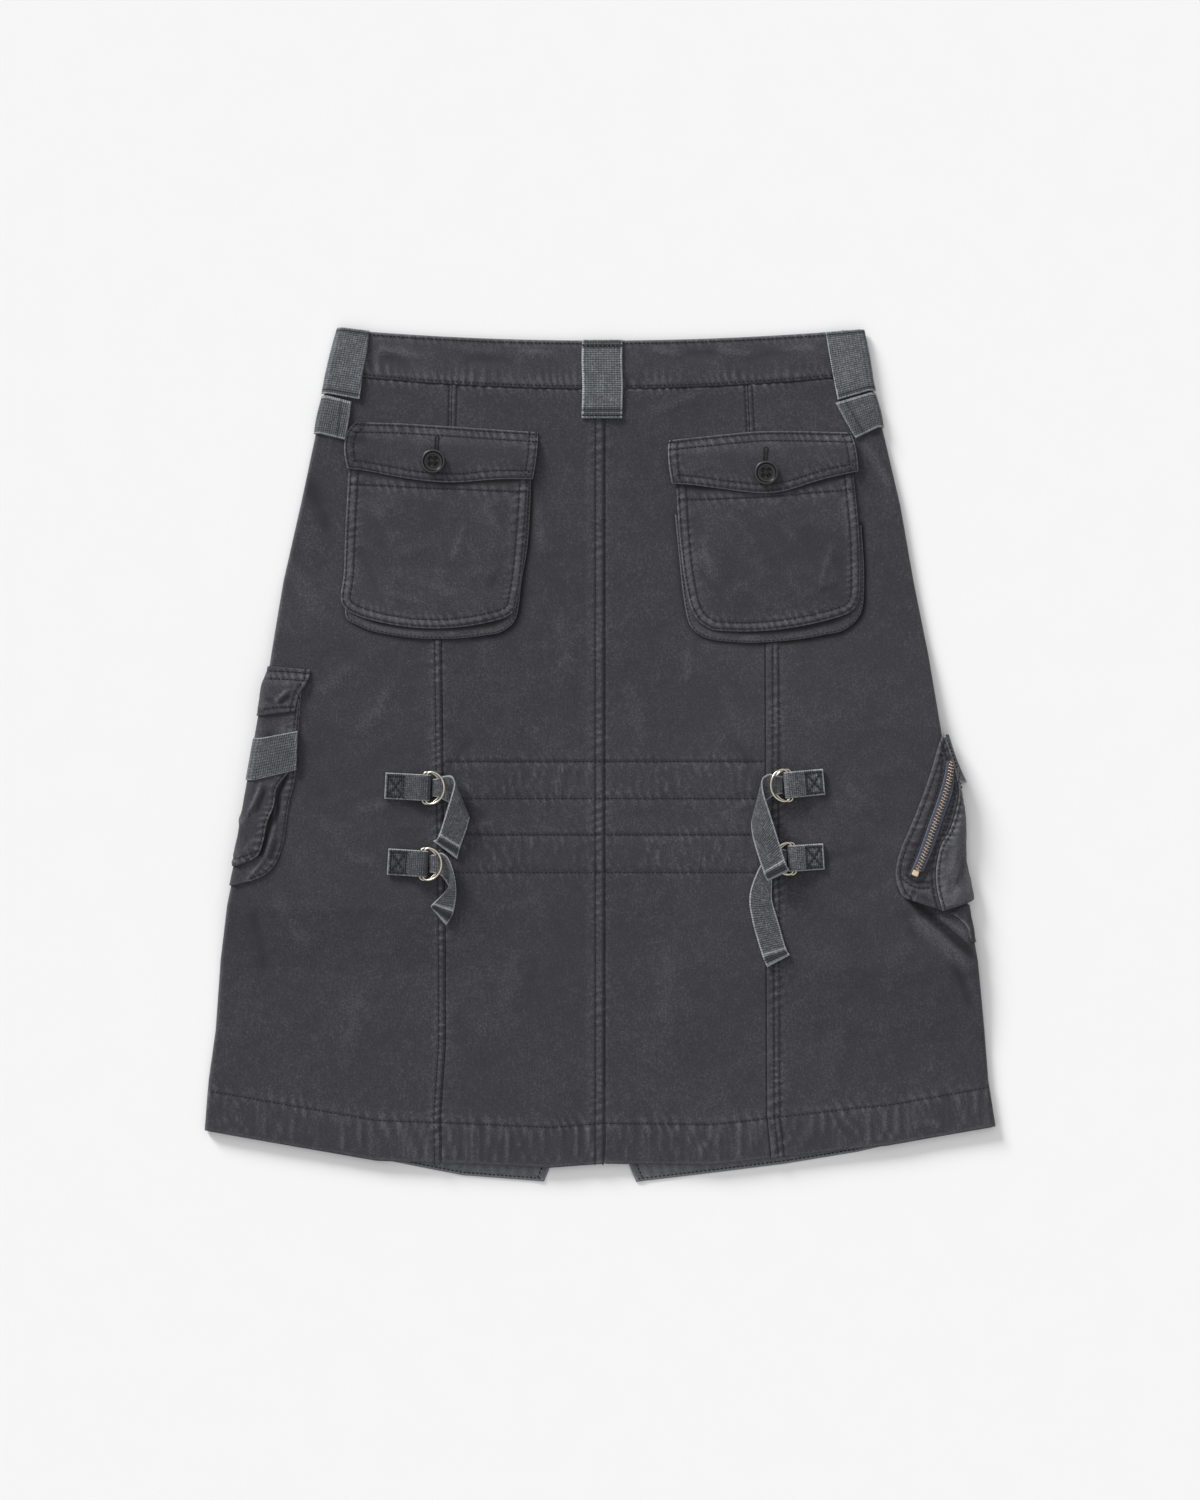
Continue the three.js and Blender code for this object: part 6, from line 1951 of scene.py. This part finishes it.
def ribbon(name, edge_a, edge_b, thickness, material, cols, worn_ends, wear=0.0):
    """A strip of webbing between two edge paths. Each wall is half the thickness off the middle surface,
    along its normal, and thins towards the selvedges."""
    share = np.linspace(0, 1, cols)[None, :, None]
    middle = blend(edge_a[:, None, :], edge_b[:, None, :], share)
    normal = face_normals(middle)
    place = 2 * share - 1
    half = np.asarray(thickness, float).reshape(-1, 1, 1) / 2 * (1 - 0.4 * np.abs(place) ** 8)
    centre = (edge_a + edge_b) / 2
    along = lengths_reached(np.linalg.norm(np.diff(centre, axis=0), axis=1))
    length = along[-1]
    along = np.broadcast_to(along[:, None], (len(along), cols))
    shade = sum(0.95 * bump(along - end * length, 1.3) for end in worn_ends) + wear
    marks = {"across": np.broadcast_to(place[..., 0], along.shape), "along": along, "wear": shade + 0 * along}
    outer, inner = middle + normal * half, middle - normal * half
    closed_shell(name, outer, inner, material, marks, middle, 1)
    made[name] = middle + normal * half * np.sign(normal[..., 2:3] + 1e-9)


def zip_pull():
    """Webbing pull seen on edge outside the fold."""
    a = np.array([(258.2, 15.5, 9.8), (261.8, 0, 12), (266.2, -13, 12.4), (270.0, -21.5, 12.4)])
    b = np.array([(260.8, 15.2, 5), (265.6, 0.9, 3.2), (270.7, -12.2, 2.6), (274.6, -20.4, 2.6)])
    at = even_places(spacing(*a.T), 1.0)
    edge_a, edge_b = (np.stack([flow(c, at) for c in path.T], axis=-1) for path in (a, b))
    ribbon("zip_pull", edge_a, edge_b, WEBBING, "charcoal_webbing", 9, (1, 1))


ADJUSTERS = {
    "upper_left": {"way": 1, "x": -129.6, "y": -24.4, "turn": -0.05, "length": 31.0},
    "lower_left": {"way": 1, "x": -131.6, "y": -81.2, "turn": -0.06, "length": 27.0},
    "upper_right": {"way": -1, "x": 140.6, "y": -22.4, "turn": 0.09, "length": 27.0},
    "lower_right": {"way": -1, "x": 143.4, "y": -77.2, "turn": 0.06, "length": 24.0},
}
ON_STRIP = SEAM_RISE + 0.1  # height over the back at which a tab and its rings are sewn on
TAB = {"width": 19.6, "ply": 1.0, "bar_low": 2.5, "bar_high": 4.6, "slot": 15.0}
RING = {"wire": 0.84, "height": 25.5, "width": 15.0, "tilt": 3.2, "offset": 2.6, "corner": 3.0}


def placed(local, where, dx=0.0, dz=0.0):
    """Points of an adjuster's part turned and moved to their place over the back."""
    spec = ADJUSTERS[where]
    angle = spec["turn"] + (np.pi if spec["way"] < 0 else 0)
    c, s = np.cos(angle), np.sin(angle)
    x = spec["x"] + dx + c * local[..., 0] - s * local[..., 1]
    y = spec["y"] + s * local[..., 0] + c * local[..., 1]
    ground = float(back_top(spec["x"], spec["y"]))
    return points(x, y, local[..., 2] + ground + dz)


def box_of(where):
    """The sewn box of a tab: its far and near ends, and half its width."""
    length = ADJUSTERS[where]["length"]
    return -length + 1.8, -length + 13.5, TAB["width"] / 2 - 2.2


def tab(where):
    """Webbing folded round both ring bars and sewn flat behind them. The strip's path in side view runs
    over the bars, round them in a half circle and back below; it is as wide as the ring's bar."""
    t = TAB
    wire = RING["wire"] + GAP
    low, high = t["bar_low"] - wire, t["bar_high"] + wire
    length, half = ADJUSTERS[where]["length"], t["ply"] / 2
    middle, radius = (low + high) / 2, (high - low) / 2 + half
    angle = np.linspace(np.pi / 2, -np.pi / 2, 15)
    upper = [(-length, low + half + 0.02), (-t["slot"] - 3, low + half + 0.1), (-t["slot"] + 2, low + half + 0.9)]
    over = resample(upper + [(-5, high + half - 0.3)], 1.0)
    round_it = pairs(radius * np.cos(angle), middle + radius * np.sin(angle))
    back_under = pairs(np.linspace(-1.5, -length, 24), np.full(24, low - half))
    path = np.concatenate([over, round_it, back_under])
    edges = (points(path[:, 0], beside, path[:, 1]) for beside in (-t["width"] / 2, t["width"] / 2))
    edge_a, edge_b = (placed(edge, where, 0, ON_STRIP) for edge in edges)
    far, near, side = box_of(where)
    u, v = path[:, :1], np.linspace(-0.5, 0.5, 21)[None, :] * t["width"]
    share, beside = 2 * (u - far) / (near - far) - 1, v / side
    crossed = np.minimum(np.abs(share - beside), np.abs(share + beside)) * 0.6 * side
    framed = np.minimum(np.abs(np.abs(u - (far + near) / 2) - (near - far) / 2), np.abs(np.abs(v) - side))
    within = (np.abs(share) < 1.1) & (np.abs(beside) < 1.1)
    # painted shade along the sewn box and cross; the left tabs get painted shade and the right tabs painted light,
    # evening out the key light on them
    box = -0.12 * ADJUSTERS[where]["way"] - 0.8 * within * bump(np.minimum(crossed, framed), 0.8)
    thickness = np.full(len(path), t["ply"] - 0.06)
    name = f"tab_{where}"
    ribbon(name, edge_a, edge_b, thickness, "tab_webbing", 21, (0, 1), box)
    made[name] = made[name][: len(over)]
    return tab_stitches(where, low + t["ply"])


def tab_stitches(where, level):
    """Runs of the box and cross that sew a tab down, in the tab's own frame."""
    far, near, half = box_of(where)
    corners = [(far, -half), (near, -half), (near, half), (far, half), (far, -half)]
    crossed = [(far, -half), (near, half)], [(far, half), (near, -half)]
    runs = []
    for line in (*[corners[k : k + 2] for k in range(4)], *crossed):
        (x0, y0), (x1, y1) = line
        share = np.linspace(0, 1, 8)
        local = points(blend(x0, x1, share), blend(y0, y1, share), level + 0 * share)
        runs.append((f"tab_{where}", placed(local, where)[:, :2]))
    return runs


def ring(where, level):
    """A D-ring of round wire: a straight bar, two small corners and a half-ellipse bow that is tilted up
    where it is the upper ring."""
    r = RING
    half, corner = r["height"] / 2 - r["wire"], r["corner"]
    reach = r["width"] - 2 * r["wire"] - corner
    bar = np.linspace(half - corner, -half + corner, 14)
    quarter = np.linspace(0, np.pi / 2, 6)[1:-1]
    bow = np.linspace(-np.pi / 2, np.pi / 2, 44)
    round_x, round_y = corner * (1 - np.cos(quarter)), half - corner * (1 - np.sin(quarter))
    x = np.concatenate([0 * bar, round_x, corner + reach * np.cos(bow), round_x[::-1]])
    y = np.concatenate([bar, -round_y, half * np.sin(bow), round_y[::-1]])
    tilt = r["tilt"] if level == "high" else 0.0
    spine = points(x, y, tilt * x / r["width"])
    ahead = unit(np.roll(spine, -1, axis=0) - np.roll(spine, 1, axis=0))
    beside = unit(np.cross(ahead, [0.0, 0.0, 1.0]))
    up = np.cross(beside, ahead)
    angle = np.linspace(0, 2 * np.pi, 15)[:-1]
    turn = pairs(np.cos(angle), np.sin(angle))[None, :, :, None]
    wire = r["wire"] * (turn[:, :, 0] * beside[:, None, :] + turn[:, :, 1] * up[:, None, :])
    dx = -ADJUSTERS[where]["way"] * r["offset"] if level == "low" else 0.0
    bar_height = TAB["bar_low"] if level == "low" else TAB["bar_high"]
    rings = placed(spine[:, None, :] + wire, where, dx, ON_STRIP + bar_height)
    closed_rings(f"ring_{where}_{level}", rings, "pale_wire", closed_path=True)


# Free ends. Each strap leaves its casing, turns back round the lower ring, passes under the upper one
# and falls over itself: edge a, edge b, and the height of each over the back
STRAPS = {
    "upper_left": columns(
        "ax ay ah bx by bh",
        (-117, -15.4, 1.4, -117, -33.4, 1.4),
        (-121.5, -17, 1.4, -121.5, -31.6, 1.4),
        (-125.2, -18, 3.3, -125.2, -30.8, 3.3),
        (-121.5, -17.4, 5.2, -121.5, -31.4, 5.2),
        (-116, -15.5, 5.2, -116, -34, 5.2),
        (-112, -15.2, 6, -104, -40, 3.6),
        (-109.5, -17, 8.2, -98, -46, 4.8),
        (-109, -23, 9.6, -98, -49, 6.6),
        (-113.6, -38.8, 8, -99.5, -55, 5.4),
        (-120.6, -60.3, 4, -104.6, -70, 3.2),
        (-124.6, -64.2, 3.4, -106.6, -77.8, 2.4),
    ),
    "lower_left": columns(
        "ax ay ah bx by bh",
        (-116.9, -73, 1.4, -116.9, -90, 1.4),
        (-123.5, -74, 1.4, -123.5, -88.4, 1.4),
        (-127.2, -74.8, 3.3, -127.2, -87.6, 3.3),
        (-123.5, -74.2, 5.2, -123.5, -88.2, 5.2),
        (-118, -73, 5.2, -118, -90.6, 5.2),
        (-112.6, -78, 6.4, -112.6, -99, 3.6),
        (-108.4, -91, 7.2, -114, -100.5, 4.6),
        (-107.4, -104, 4.8, -119, -105.5, 4.6),
        (-110, -119, 2.6, -125.6, -111.8, 3.4),
        (-115, -127.4, 2.2, -126.2, -113.6, 2.8),
    ),
    "upper_right": columns(
        "ax ay ah bx by bh",
        (126.5, -14, 1.4, 126.5, -31.5, 1.4),
        (132.5, -15, 1.4, 132.5, -30, 1.4),
        (136.2, -16, 3.3, 136.2, -28.8, 3.3),
        (132.5, -15.4, 5.2, 132.5, -29.4, 5.2),
        (127, -14, 5.2, 127, -32, 5.2),
        (123.4, -15.5, 6.4, 117, -40, 3.6),
        (121, -19, 8.6, 113.8, -47, 5),
        (122.4, -30, 10.5, 113, -54, 7.2),
        (127.6, -46, 11, 115, -66, 9),
        (137.6, -77.9, 10.8, 121.8, -87.4, 9.6),
        (141.3, -86, 9.6, 124.8, -94, 8.4),
    ),
    "lower_right": columns(
        "ax ay ah bx by bh",
        (127, -68.5, 1.4, 127, -86, 1.4),
        (135.5, -70, 1.4, 135.5, -84.6, 1.4),
        (139.1, -70.8, 3.3, 139.1, -83.6, 3.3),
        (135.5, -70.2, 5.2, 135.5, -84.2, 5.2),
        (130, -70, 5.2, 129, -88, 5.2),
        (119.5, -83, 2.4, 128.5, -98, 2),
        (111.8, -104.2, 2.2, 128.8, -109, 1.8),
        (113.8, -124, 2, 132.4, -121.5, 1.8),
        (120.7, -148.4, 1.8, 138.7, -143.2, 1.8),
        (124.8, -158.6, 2.2, 142, -149.4, 2.2),
    ),
}
HEMMED_END = 8.0  # the strap's end is turned under over this length


def strap(where):
    """A smooth strip through the strap's rows, with its end turned under and stitched."""
    table = STRAPS[where]
    middle = [(table[f"a{c}"] + table[f"b{c}"]) / 2 for c in "xyh"]
    at = even_places(spacing(*middle), 0.9)
    row = smooth_rows(table, at)
    edge = lambda key: points(
        row[f"{key}x"], row[f"{key}y"], back_top(row[f"{key}x"], row[f"{key}y"]) + row[f"{key}h"]
    )
    edge_a, edge_b = edge("a"), edge("b")
    centre = (edge_a + edge_b) / 2
    along = lengths_reached(np.linalg.norm(np.diff(centre, axis=0), axis=1))
    to_end = along[-1] - along
    double = ease((HEMMED_END + 0.6 - to_end) / 1.2)
    thickness = PLY + (1.4 * double - 0.5 * bump(to_end - HEMMED_END + 1.5, 0.8)) * ease(to_end / 0.8 + 0.4)
    wear = (0.95 * bump(to_end - HEMMED_END, 0.9) - 0.75 * bump(to_end - HEMMED_END / 2, 2.2))[:, None]
    ribbon(f"strap_{where}", edge_a, edge_b, thickness, "dark_webbing", 17, (1, 1), wear)


# Stitched lines that aren't on one pocket


HEM_STITCH_Y = -270.0  # height of the hem's stitches where the princess seams meet them


def back_stitching():
    """The rows of the back's seams, casings and hem, each on the panels that carry it."""
    seams = back_seams()
    carriers = {
        "centre": ["back_center_left"],
        "left_low": ["back_side_left"],
        "right_low": ["back_side_right"],
        "left_high": ["back_side_left", "back_center_left"],
        "right_high": ["back_center_right", "back_side_right"],
    }
    runs = []
    for name, seam in seams.items():
        if name in ("hem", "waist"):
            continue
        if name.startswith("casing"):
            for run in seam.runs():
                runs.append(("back_center_left", run[run[:, 0] < CENTRE_BACK]))
                runs.append(("back_center_right", run[run[:, 0] > CENTRE_BACK]))
            continue
        for k, run in enumerate(seam.runs()):
            runs.append((carriers[name][min(k, len(carriers[name]) - 1)], run))
    hem = seams["hem"].runs()[0]
    left_seam, right_seam = (princess_x(side, HEM_STITCH_Y) for side in (-1, 1))
    for panel_name, low, high in (
        ("back_side_left", -293, left_seam),
        ("back_center_left", left_seam, CENTRE_BACK),
        ("back_center_right", CENTRE_BACK, right_seam),
        ("back_side_right", right_seam, 293),
    ):
        runs.append((panel_name, hem[(hem[:, 0] > low) & (hem[:, 0] < high)]))
    sew("stitching_back", runs)


def front_stitching():
    runs = []
    for side in (-1, 1):
        name = f"front_{side_name(side)}"
        x = np.linspace(side * 290, side * 24, 100)
        hem = pairs(x, front_hem_y(x) + HEM)
        hem = hem[side * (hem[:, 0] - slit_x(side, hem[:, 1])) > 2]
        y = np.linspace(-316, -232, 40)
        slit = pairs(slit_x(side, y) + side * 6, y)
        slit = slit[slit[:, 1] > front_hem_y(slit[:, 0]) + 1]
        low = pairs(x, front_hem_y(x) + 2.2)
        low = low[side * (low[:, 0] - slit_x(side, low[:, 1])) > 2]
        runs += [(name, hem), (name, slit), (name, low)]
    sew("stitching_front", runs)


def waist_stitching():
    runs = [("waistband_back", run) for seam in waist_seams().values() for run in seam.runs()]
    for side in (-1, 1):
        name = f"waistband_front_{side_name(side)}"
        x = np.linspace(side * 2, side * 180, 60) + CENTRE_FRONT
        runs += [(name, pairs(x, front_seam_y(x) + offset)) for offset in (2.6, WAISTBAND - 2.2)]
    for y in (306.6, 254.4):
        runs.append(("belt_loop_back", level_line(y, -12.5, 16)))
    sew("stitching_waistband", runs)


def buttonhole(where):
    """A keyhole buttonhole: thread bars set side by side round a slit, with an eye at its upper end."""
    (x0, y0), (x1, y1) = POCKETS[where]["buttonhole"]
    face = made[f"pocket_{where}_flap"]
    run = np.array([x1 - x0, y1 - y0])
    length = np.hypot(*run)
    ahead = run / length
    beside = np.array([-ahead[1], ahead[0]])
    turn = np.linspace(0, 2 * np.pi, 61)[:-1]
    along = length / 2 * (1 - np.cos(turn))
    width = 0.55 + 0.75 * bump(along, 1.8)
    across = width * np.sign(np.sin(turn)) * np.abs(np.sin(turn)) ** 0.5
    centre = np.array([x0, y0]) + along[:, None] * ahead + across[:, None] * beside
    outward = pairs(np.gradient(centre[:, 1]), -np.gradient(centre[:, 0]))
    outward /= np.maximum(np.linalg.norm(outward, axis=1, keepdims=True), 1e-6)
    outward *= np.sign(((centre - centre.mean(axis=0)) * outward).sum(axis=1, keepdims=True))
    spots, upright = drape(centre + 0.5 * outward, face)
    spans = np.column_stack([outward * 1.7, 0 * outward[:, :1]])
    spindles(f"buttonhole_{where}", spots + 0.12 * upright, spans, upright, 0.26)


# Stage

FLOOR_HALF = 6.0  # metres
PHOTO_HEIGHT = 1500  # pixels
PIXEL = 0.75 * MM  # of the garment, for each photo pixel
LENS, SENSOR = 100.0, 36.0
VIEW_CENTRE_Y = 3.75 * MM
CAMERA_HEIGHT = PHOTO_HEIGHT * PIXEL * LENS / SENSOR

KEY_TOWARDS = (0.56, -0.75, -0.345)
OVERHEAD_SOFTNESS = 1.9


def lay_floor(colour):
    mesh = bpy.data.meshes.new("floor")
    corners = FLOOR_HALF * np.array([(-1, -1, 0), (1, -1, 0), (1, 1, 0), (-1, 1, 0)], float)
    mesh.from_pydata(corners.tolist(), [], [(0, 1, 2, 3)])
    mesh.materials.append(pale_paper("pale_floor", colour))
    floor = bpy.data.objects.new("floor", mesh)
    bpy.context.scene.collection.objects.link(floor)


def set_lights(sizes):
    scene = bpy.context.scene
    for name, energy, angle, towards in (
        ("key", sizes.key_strength, sizes.key_softness, KEY_TOWARDS),
        ("overhead", sizes.overhead_strength, OVERHEAD_SOFTNESS, (0, 0, -1)),
    ):
        sun = bpy.data.lights.new(name, "SUN")
        sun.energy, sun.angle = energy, angle
        lamp = bpy.data.objects.new(name, sun)
        lamp.rotation_euler = Vector(towards).to_track_quat("-Z", "Y").to_euler()
        lamp.location = -2.5 * Vector(towards)
        scene.collection.objects.link(lamp)
    world = bpy.data.worlds.new("studio")
    world.use_nodes = True
    background = world.node_tree.nodes["Background"]
    background.inputs["Color"].default_value = (1, 1, 1, 1)
    background.inputs["Strength"].default_value = sizes.fill_strength
    scene.world = world


def set_camera():
    scene = bpy.context.scene
    data = bpy.data.cameras.new("photo")
    data.lens, data.sensor_width = LENS, SENSOR
    data.clip_start, data.clip_end = 0.1, 50.0
    camera = bpy.data.objects.new("photo", data)
    camera.location = (0, VIEW_CENTRE_Y, CAMERA_HEIGHT)
    scene.collection.objects.link(camera)
    scene.camera = camera
    scene.view_settings.view_transform = "Standard"
    scene.view_settings.look = "None"


# Add-on


def amount_property(name, description, default, top=20.0):
    return FloatProperty(name=name, description=description, default=default, min=0, max=top)


def length_property(name, description, default):
    return FloatProperty(name=name, description=description, default=default, subtype="DISTANCE", unit="LENGTH")


def colour_property(name, description, default):
    settings = {"size": 3, "subtype": "COLOR", "min": 0, "max": 1}
    return FloatVectorProperty(name=name, description=description, default=default, **settings)


class SkirtSizes(bpy.types.PropertyGroup):
    pucker: amount_property("Pucker", "Depth of the puckers along the seams", 1.0, 3.0)
    crumple: amount_property("Crumple", "Depth of the soft folds", 1.0, 3.0)
    gather: amount_property("Gather", "Height of the gathered casings", 1.0, 2.0)
    stitch_pitch: length_property("Stitch pitch", "From one stitch to the next", 0.0031)
    thread: length_property("Thread", "Thickness of the sewing thread", 0.00095)
    key_strength: amount_property("Key light", "Strength of the key light", 3.5)
    key_softness: FloatProperty(
        name="Key softness", description="Angle of the key light", default=0.32, subtype="ANGLE"
    )
    overhead_strength: amount_property("Overhead", "Strength of the broad light above", 0.98)
    fill_strength: amount_property("Fill", "Strength of the even fill light", 0.3)


class SkirtColours(bpy.types.PropertyGroup):
    cloth: colour_property("Cloth", "Washed charcoal cotton", (0.0386, 0.0374, 0.0442))
    worn_ridge: colour_property("Worn ridge", "Cloth where seams and edges are rubbed pale", (0.20, 0.205, 0.225))
    loop: colour_property("Loop webbing", "Grey webbing of the belt loops", (0.1, 0.108, 0.118))
    strap: colour_property("Strap webbing", "Dark webbing of the straps", (0.07, 0.072, 0.08))
    selvedge: colour_property("Selvedge", "Pale edge of the webbing", (0.36, 0.375, 0.4))
    zip_tape: colour_property("Zip tape", "Woven zip tape", (0.075, 0.087, 0.12))
    zip_metal: colour_property("Zip metal", "Teeth and stop of the zip", (0.93, 0.71, 0.5))
    ring_metal: colour_property("Ring metal", "Wire of the rings", (0.72, 0.66, 0.55))
    button: colour_property("Button", "Resin of the buttons", (0.008, 0.008, 0.0082))
    thread: colour_property("Thread", "Sewing thread", (0.011, 0.011, 0.0135))
    floor: colour_property("Floor", "Paper that the skirt lies on", (0.93, 0.93, 0.93))


class SKIRT_OT_panels(bpy.types.Operator):
    """Make the panels of the back and the front"""

    bl_idname = "skirt.panels"
    bl_label = "Panels"

    def execute(self, context):
        centre_panels()
        for side in (-1, 1):
            side_panel(side)
            front_panel(side)
        return {"FINISHED"}


class SKIRT_OT_waistband(bpy.types.Operator):
    """Make the waistband, the belt loops and the side bands"""

    bl_idname = "skirt.waistband"
    bl_label = "Waistband and loops"

    def execute(self, context):
        back_waistband()
        back_loop()
        for side in (-1, 1):
            front_waistband(side)
            side_loop(side)
            side_band(side)
        return {"FINISHED"}


class SKIRT_OT_patch_pockets(bpy.types.Operator):
    """Make the two patch pockets with their flaps, buttons and buttonholes"""

    bl_idname = "skirt.patch_pockets"
    bl_label = "Patch pockets"

    def execute(self, context):
        for where in POCKETS:
            runs = pocket_gusset(where) + pocket_body(where) + pocket_flap(where)
            sew(f"stitching_pocket_{where}", runs)
            button(where)
            buttonhole(where)
        return {"FINISHED"}


class SKIRT_OT_cargo_pocket(bpy.types.Operator):
    """Make the cargo pocket round the left side"""

    bl_idname = "skirt.cargo_pocket"
    bl_label = "Cargo pocket"

    def execute(self, context):
        cargo_pocket()
        return {"FINISHED"}


class SKIRT_OT_zip_pocket(bpy.types.Operator):
    """Make the zip pocket round the right side, with its tape, teeth, stop and pull"""

    bl_idname = "skirt.zip_pocket"
    bl_label = "Zip pocket"

    def execute(self, context):
        runs = zip_face() + zip_outer() + zip_patch()
        sew("stitching_zip_pocket", runs)
        zip_tape()
        zip_teeth()
        zip_stop()
        zip_pull()
        return {"FINISHED"}


class SKIRT_OT_adjusters(bpy.types.Operator):
    """Make the four strap adjusters: tab, two rings and free end"""

    bl_idname = "skirt.adjusters"
    bl_label = "Strap adjusters"

    def execute(self, context):
        runs = []
        for where in ADJUSTERS:
            runs += tab(where)
            ring(where, "low")
            ring(where, "high")
            strap(where)
        sew("stitching_tabs", runs)
        return {"FINISHED"}


class SKIRT_OT_stitching(bpy.types.Operator):
    """Sew the seams, casings, hems and waistband"""

    bl_idname = "skirt.stitching"
    bl_label = "Stitching"

    def execute(self, context):
        back_stitching()
        front_stitching()
        waist_stitching()
        return {"FINISHED"}


class SKIRT_OT_stage(bpy.types.Operator):
    """Make the floor, the lights and the camera"""

    bl_idname = "skirt.stage"
    bl_label = "Stage"

    def execute(self, context):
        scene = context.scene
        lay_floor(tuple(scene.skirt_colours.floor))
        set_lights(scene.skirt_sizes)
        set_camera()
        return {"FINISHED"}


OPERATORS = (
    SKIRT_OT_stage,
    SKIRT_OT_panels,
    SKIRT_OT_waistband,
    SKIRT_OT_patch_pockets,
    SKIRT_OT_cargo_pocket,
    SKIRT_OT_zip_pocket,
    SKIRT_OT_adjusters,
    SKIRT_OT_stitching,
)


class SKIRT_PT_sidebar(bpy.types.Panel):
    bl_idname = "SKIRT_PT_sidebar"
    bl_label = "Cargo utility skirt"
    bl_space_type = "VIEW_3D"
    bl_region_type = "UI"
    bl_category = "Skirt"

    def draw(self, context):
        layout = self.layout
        for group in (context.scene.skirt_sizes, context.scene.skirt_colours):
            for key in group.__annotations__:
                layout.prop(group, key)
        for operator in OPERATORS:
            layout.operator(operator.bl_idname)


CLASSES = (SkirtSizes, SkirtColours, *OPERATORS, SKIRT_PT_sidebar)


def register():
    for cls in CLASSES:
        bpy.utils.register_class(cls)
    bpy.types.Scene.skirt_sizes = PointerProperty(type=SkirtSizes)
    bpy.types.Scene.skirt_colours = PointerProperty(type=SkirtColours)


def unregister():
    del bpy.types.Scene.skirt_colours
    del bpy.types.Scene.skirt_sizes
    for cls in reversed(CLASSES):
        bpy.utils.unregister_class(cls)


def main():
    register()
    for operator in OPERATORS:
        group, name = operator.bl_idname.split(".")
        getattr(getattr(bpy.ops, group), name)()


if __name__ == "__main__":
    main()
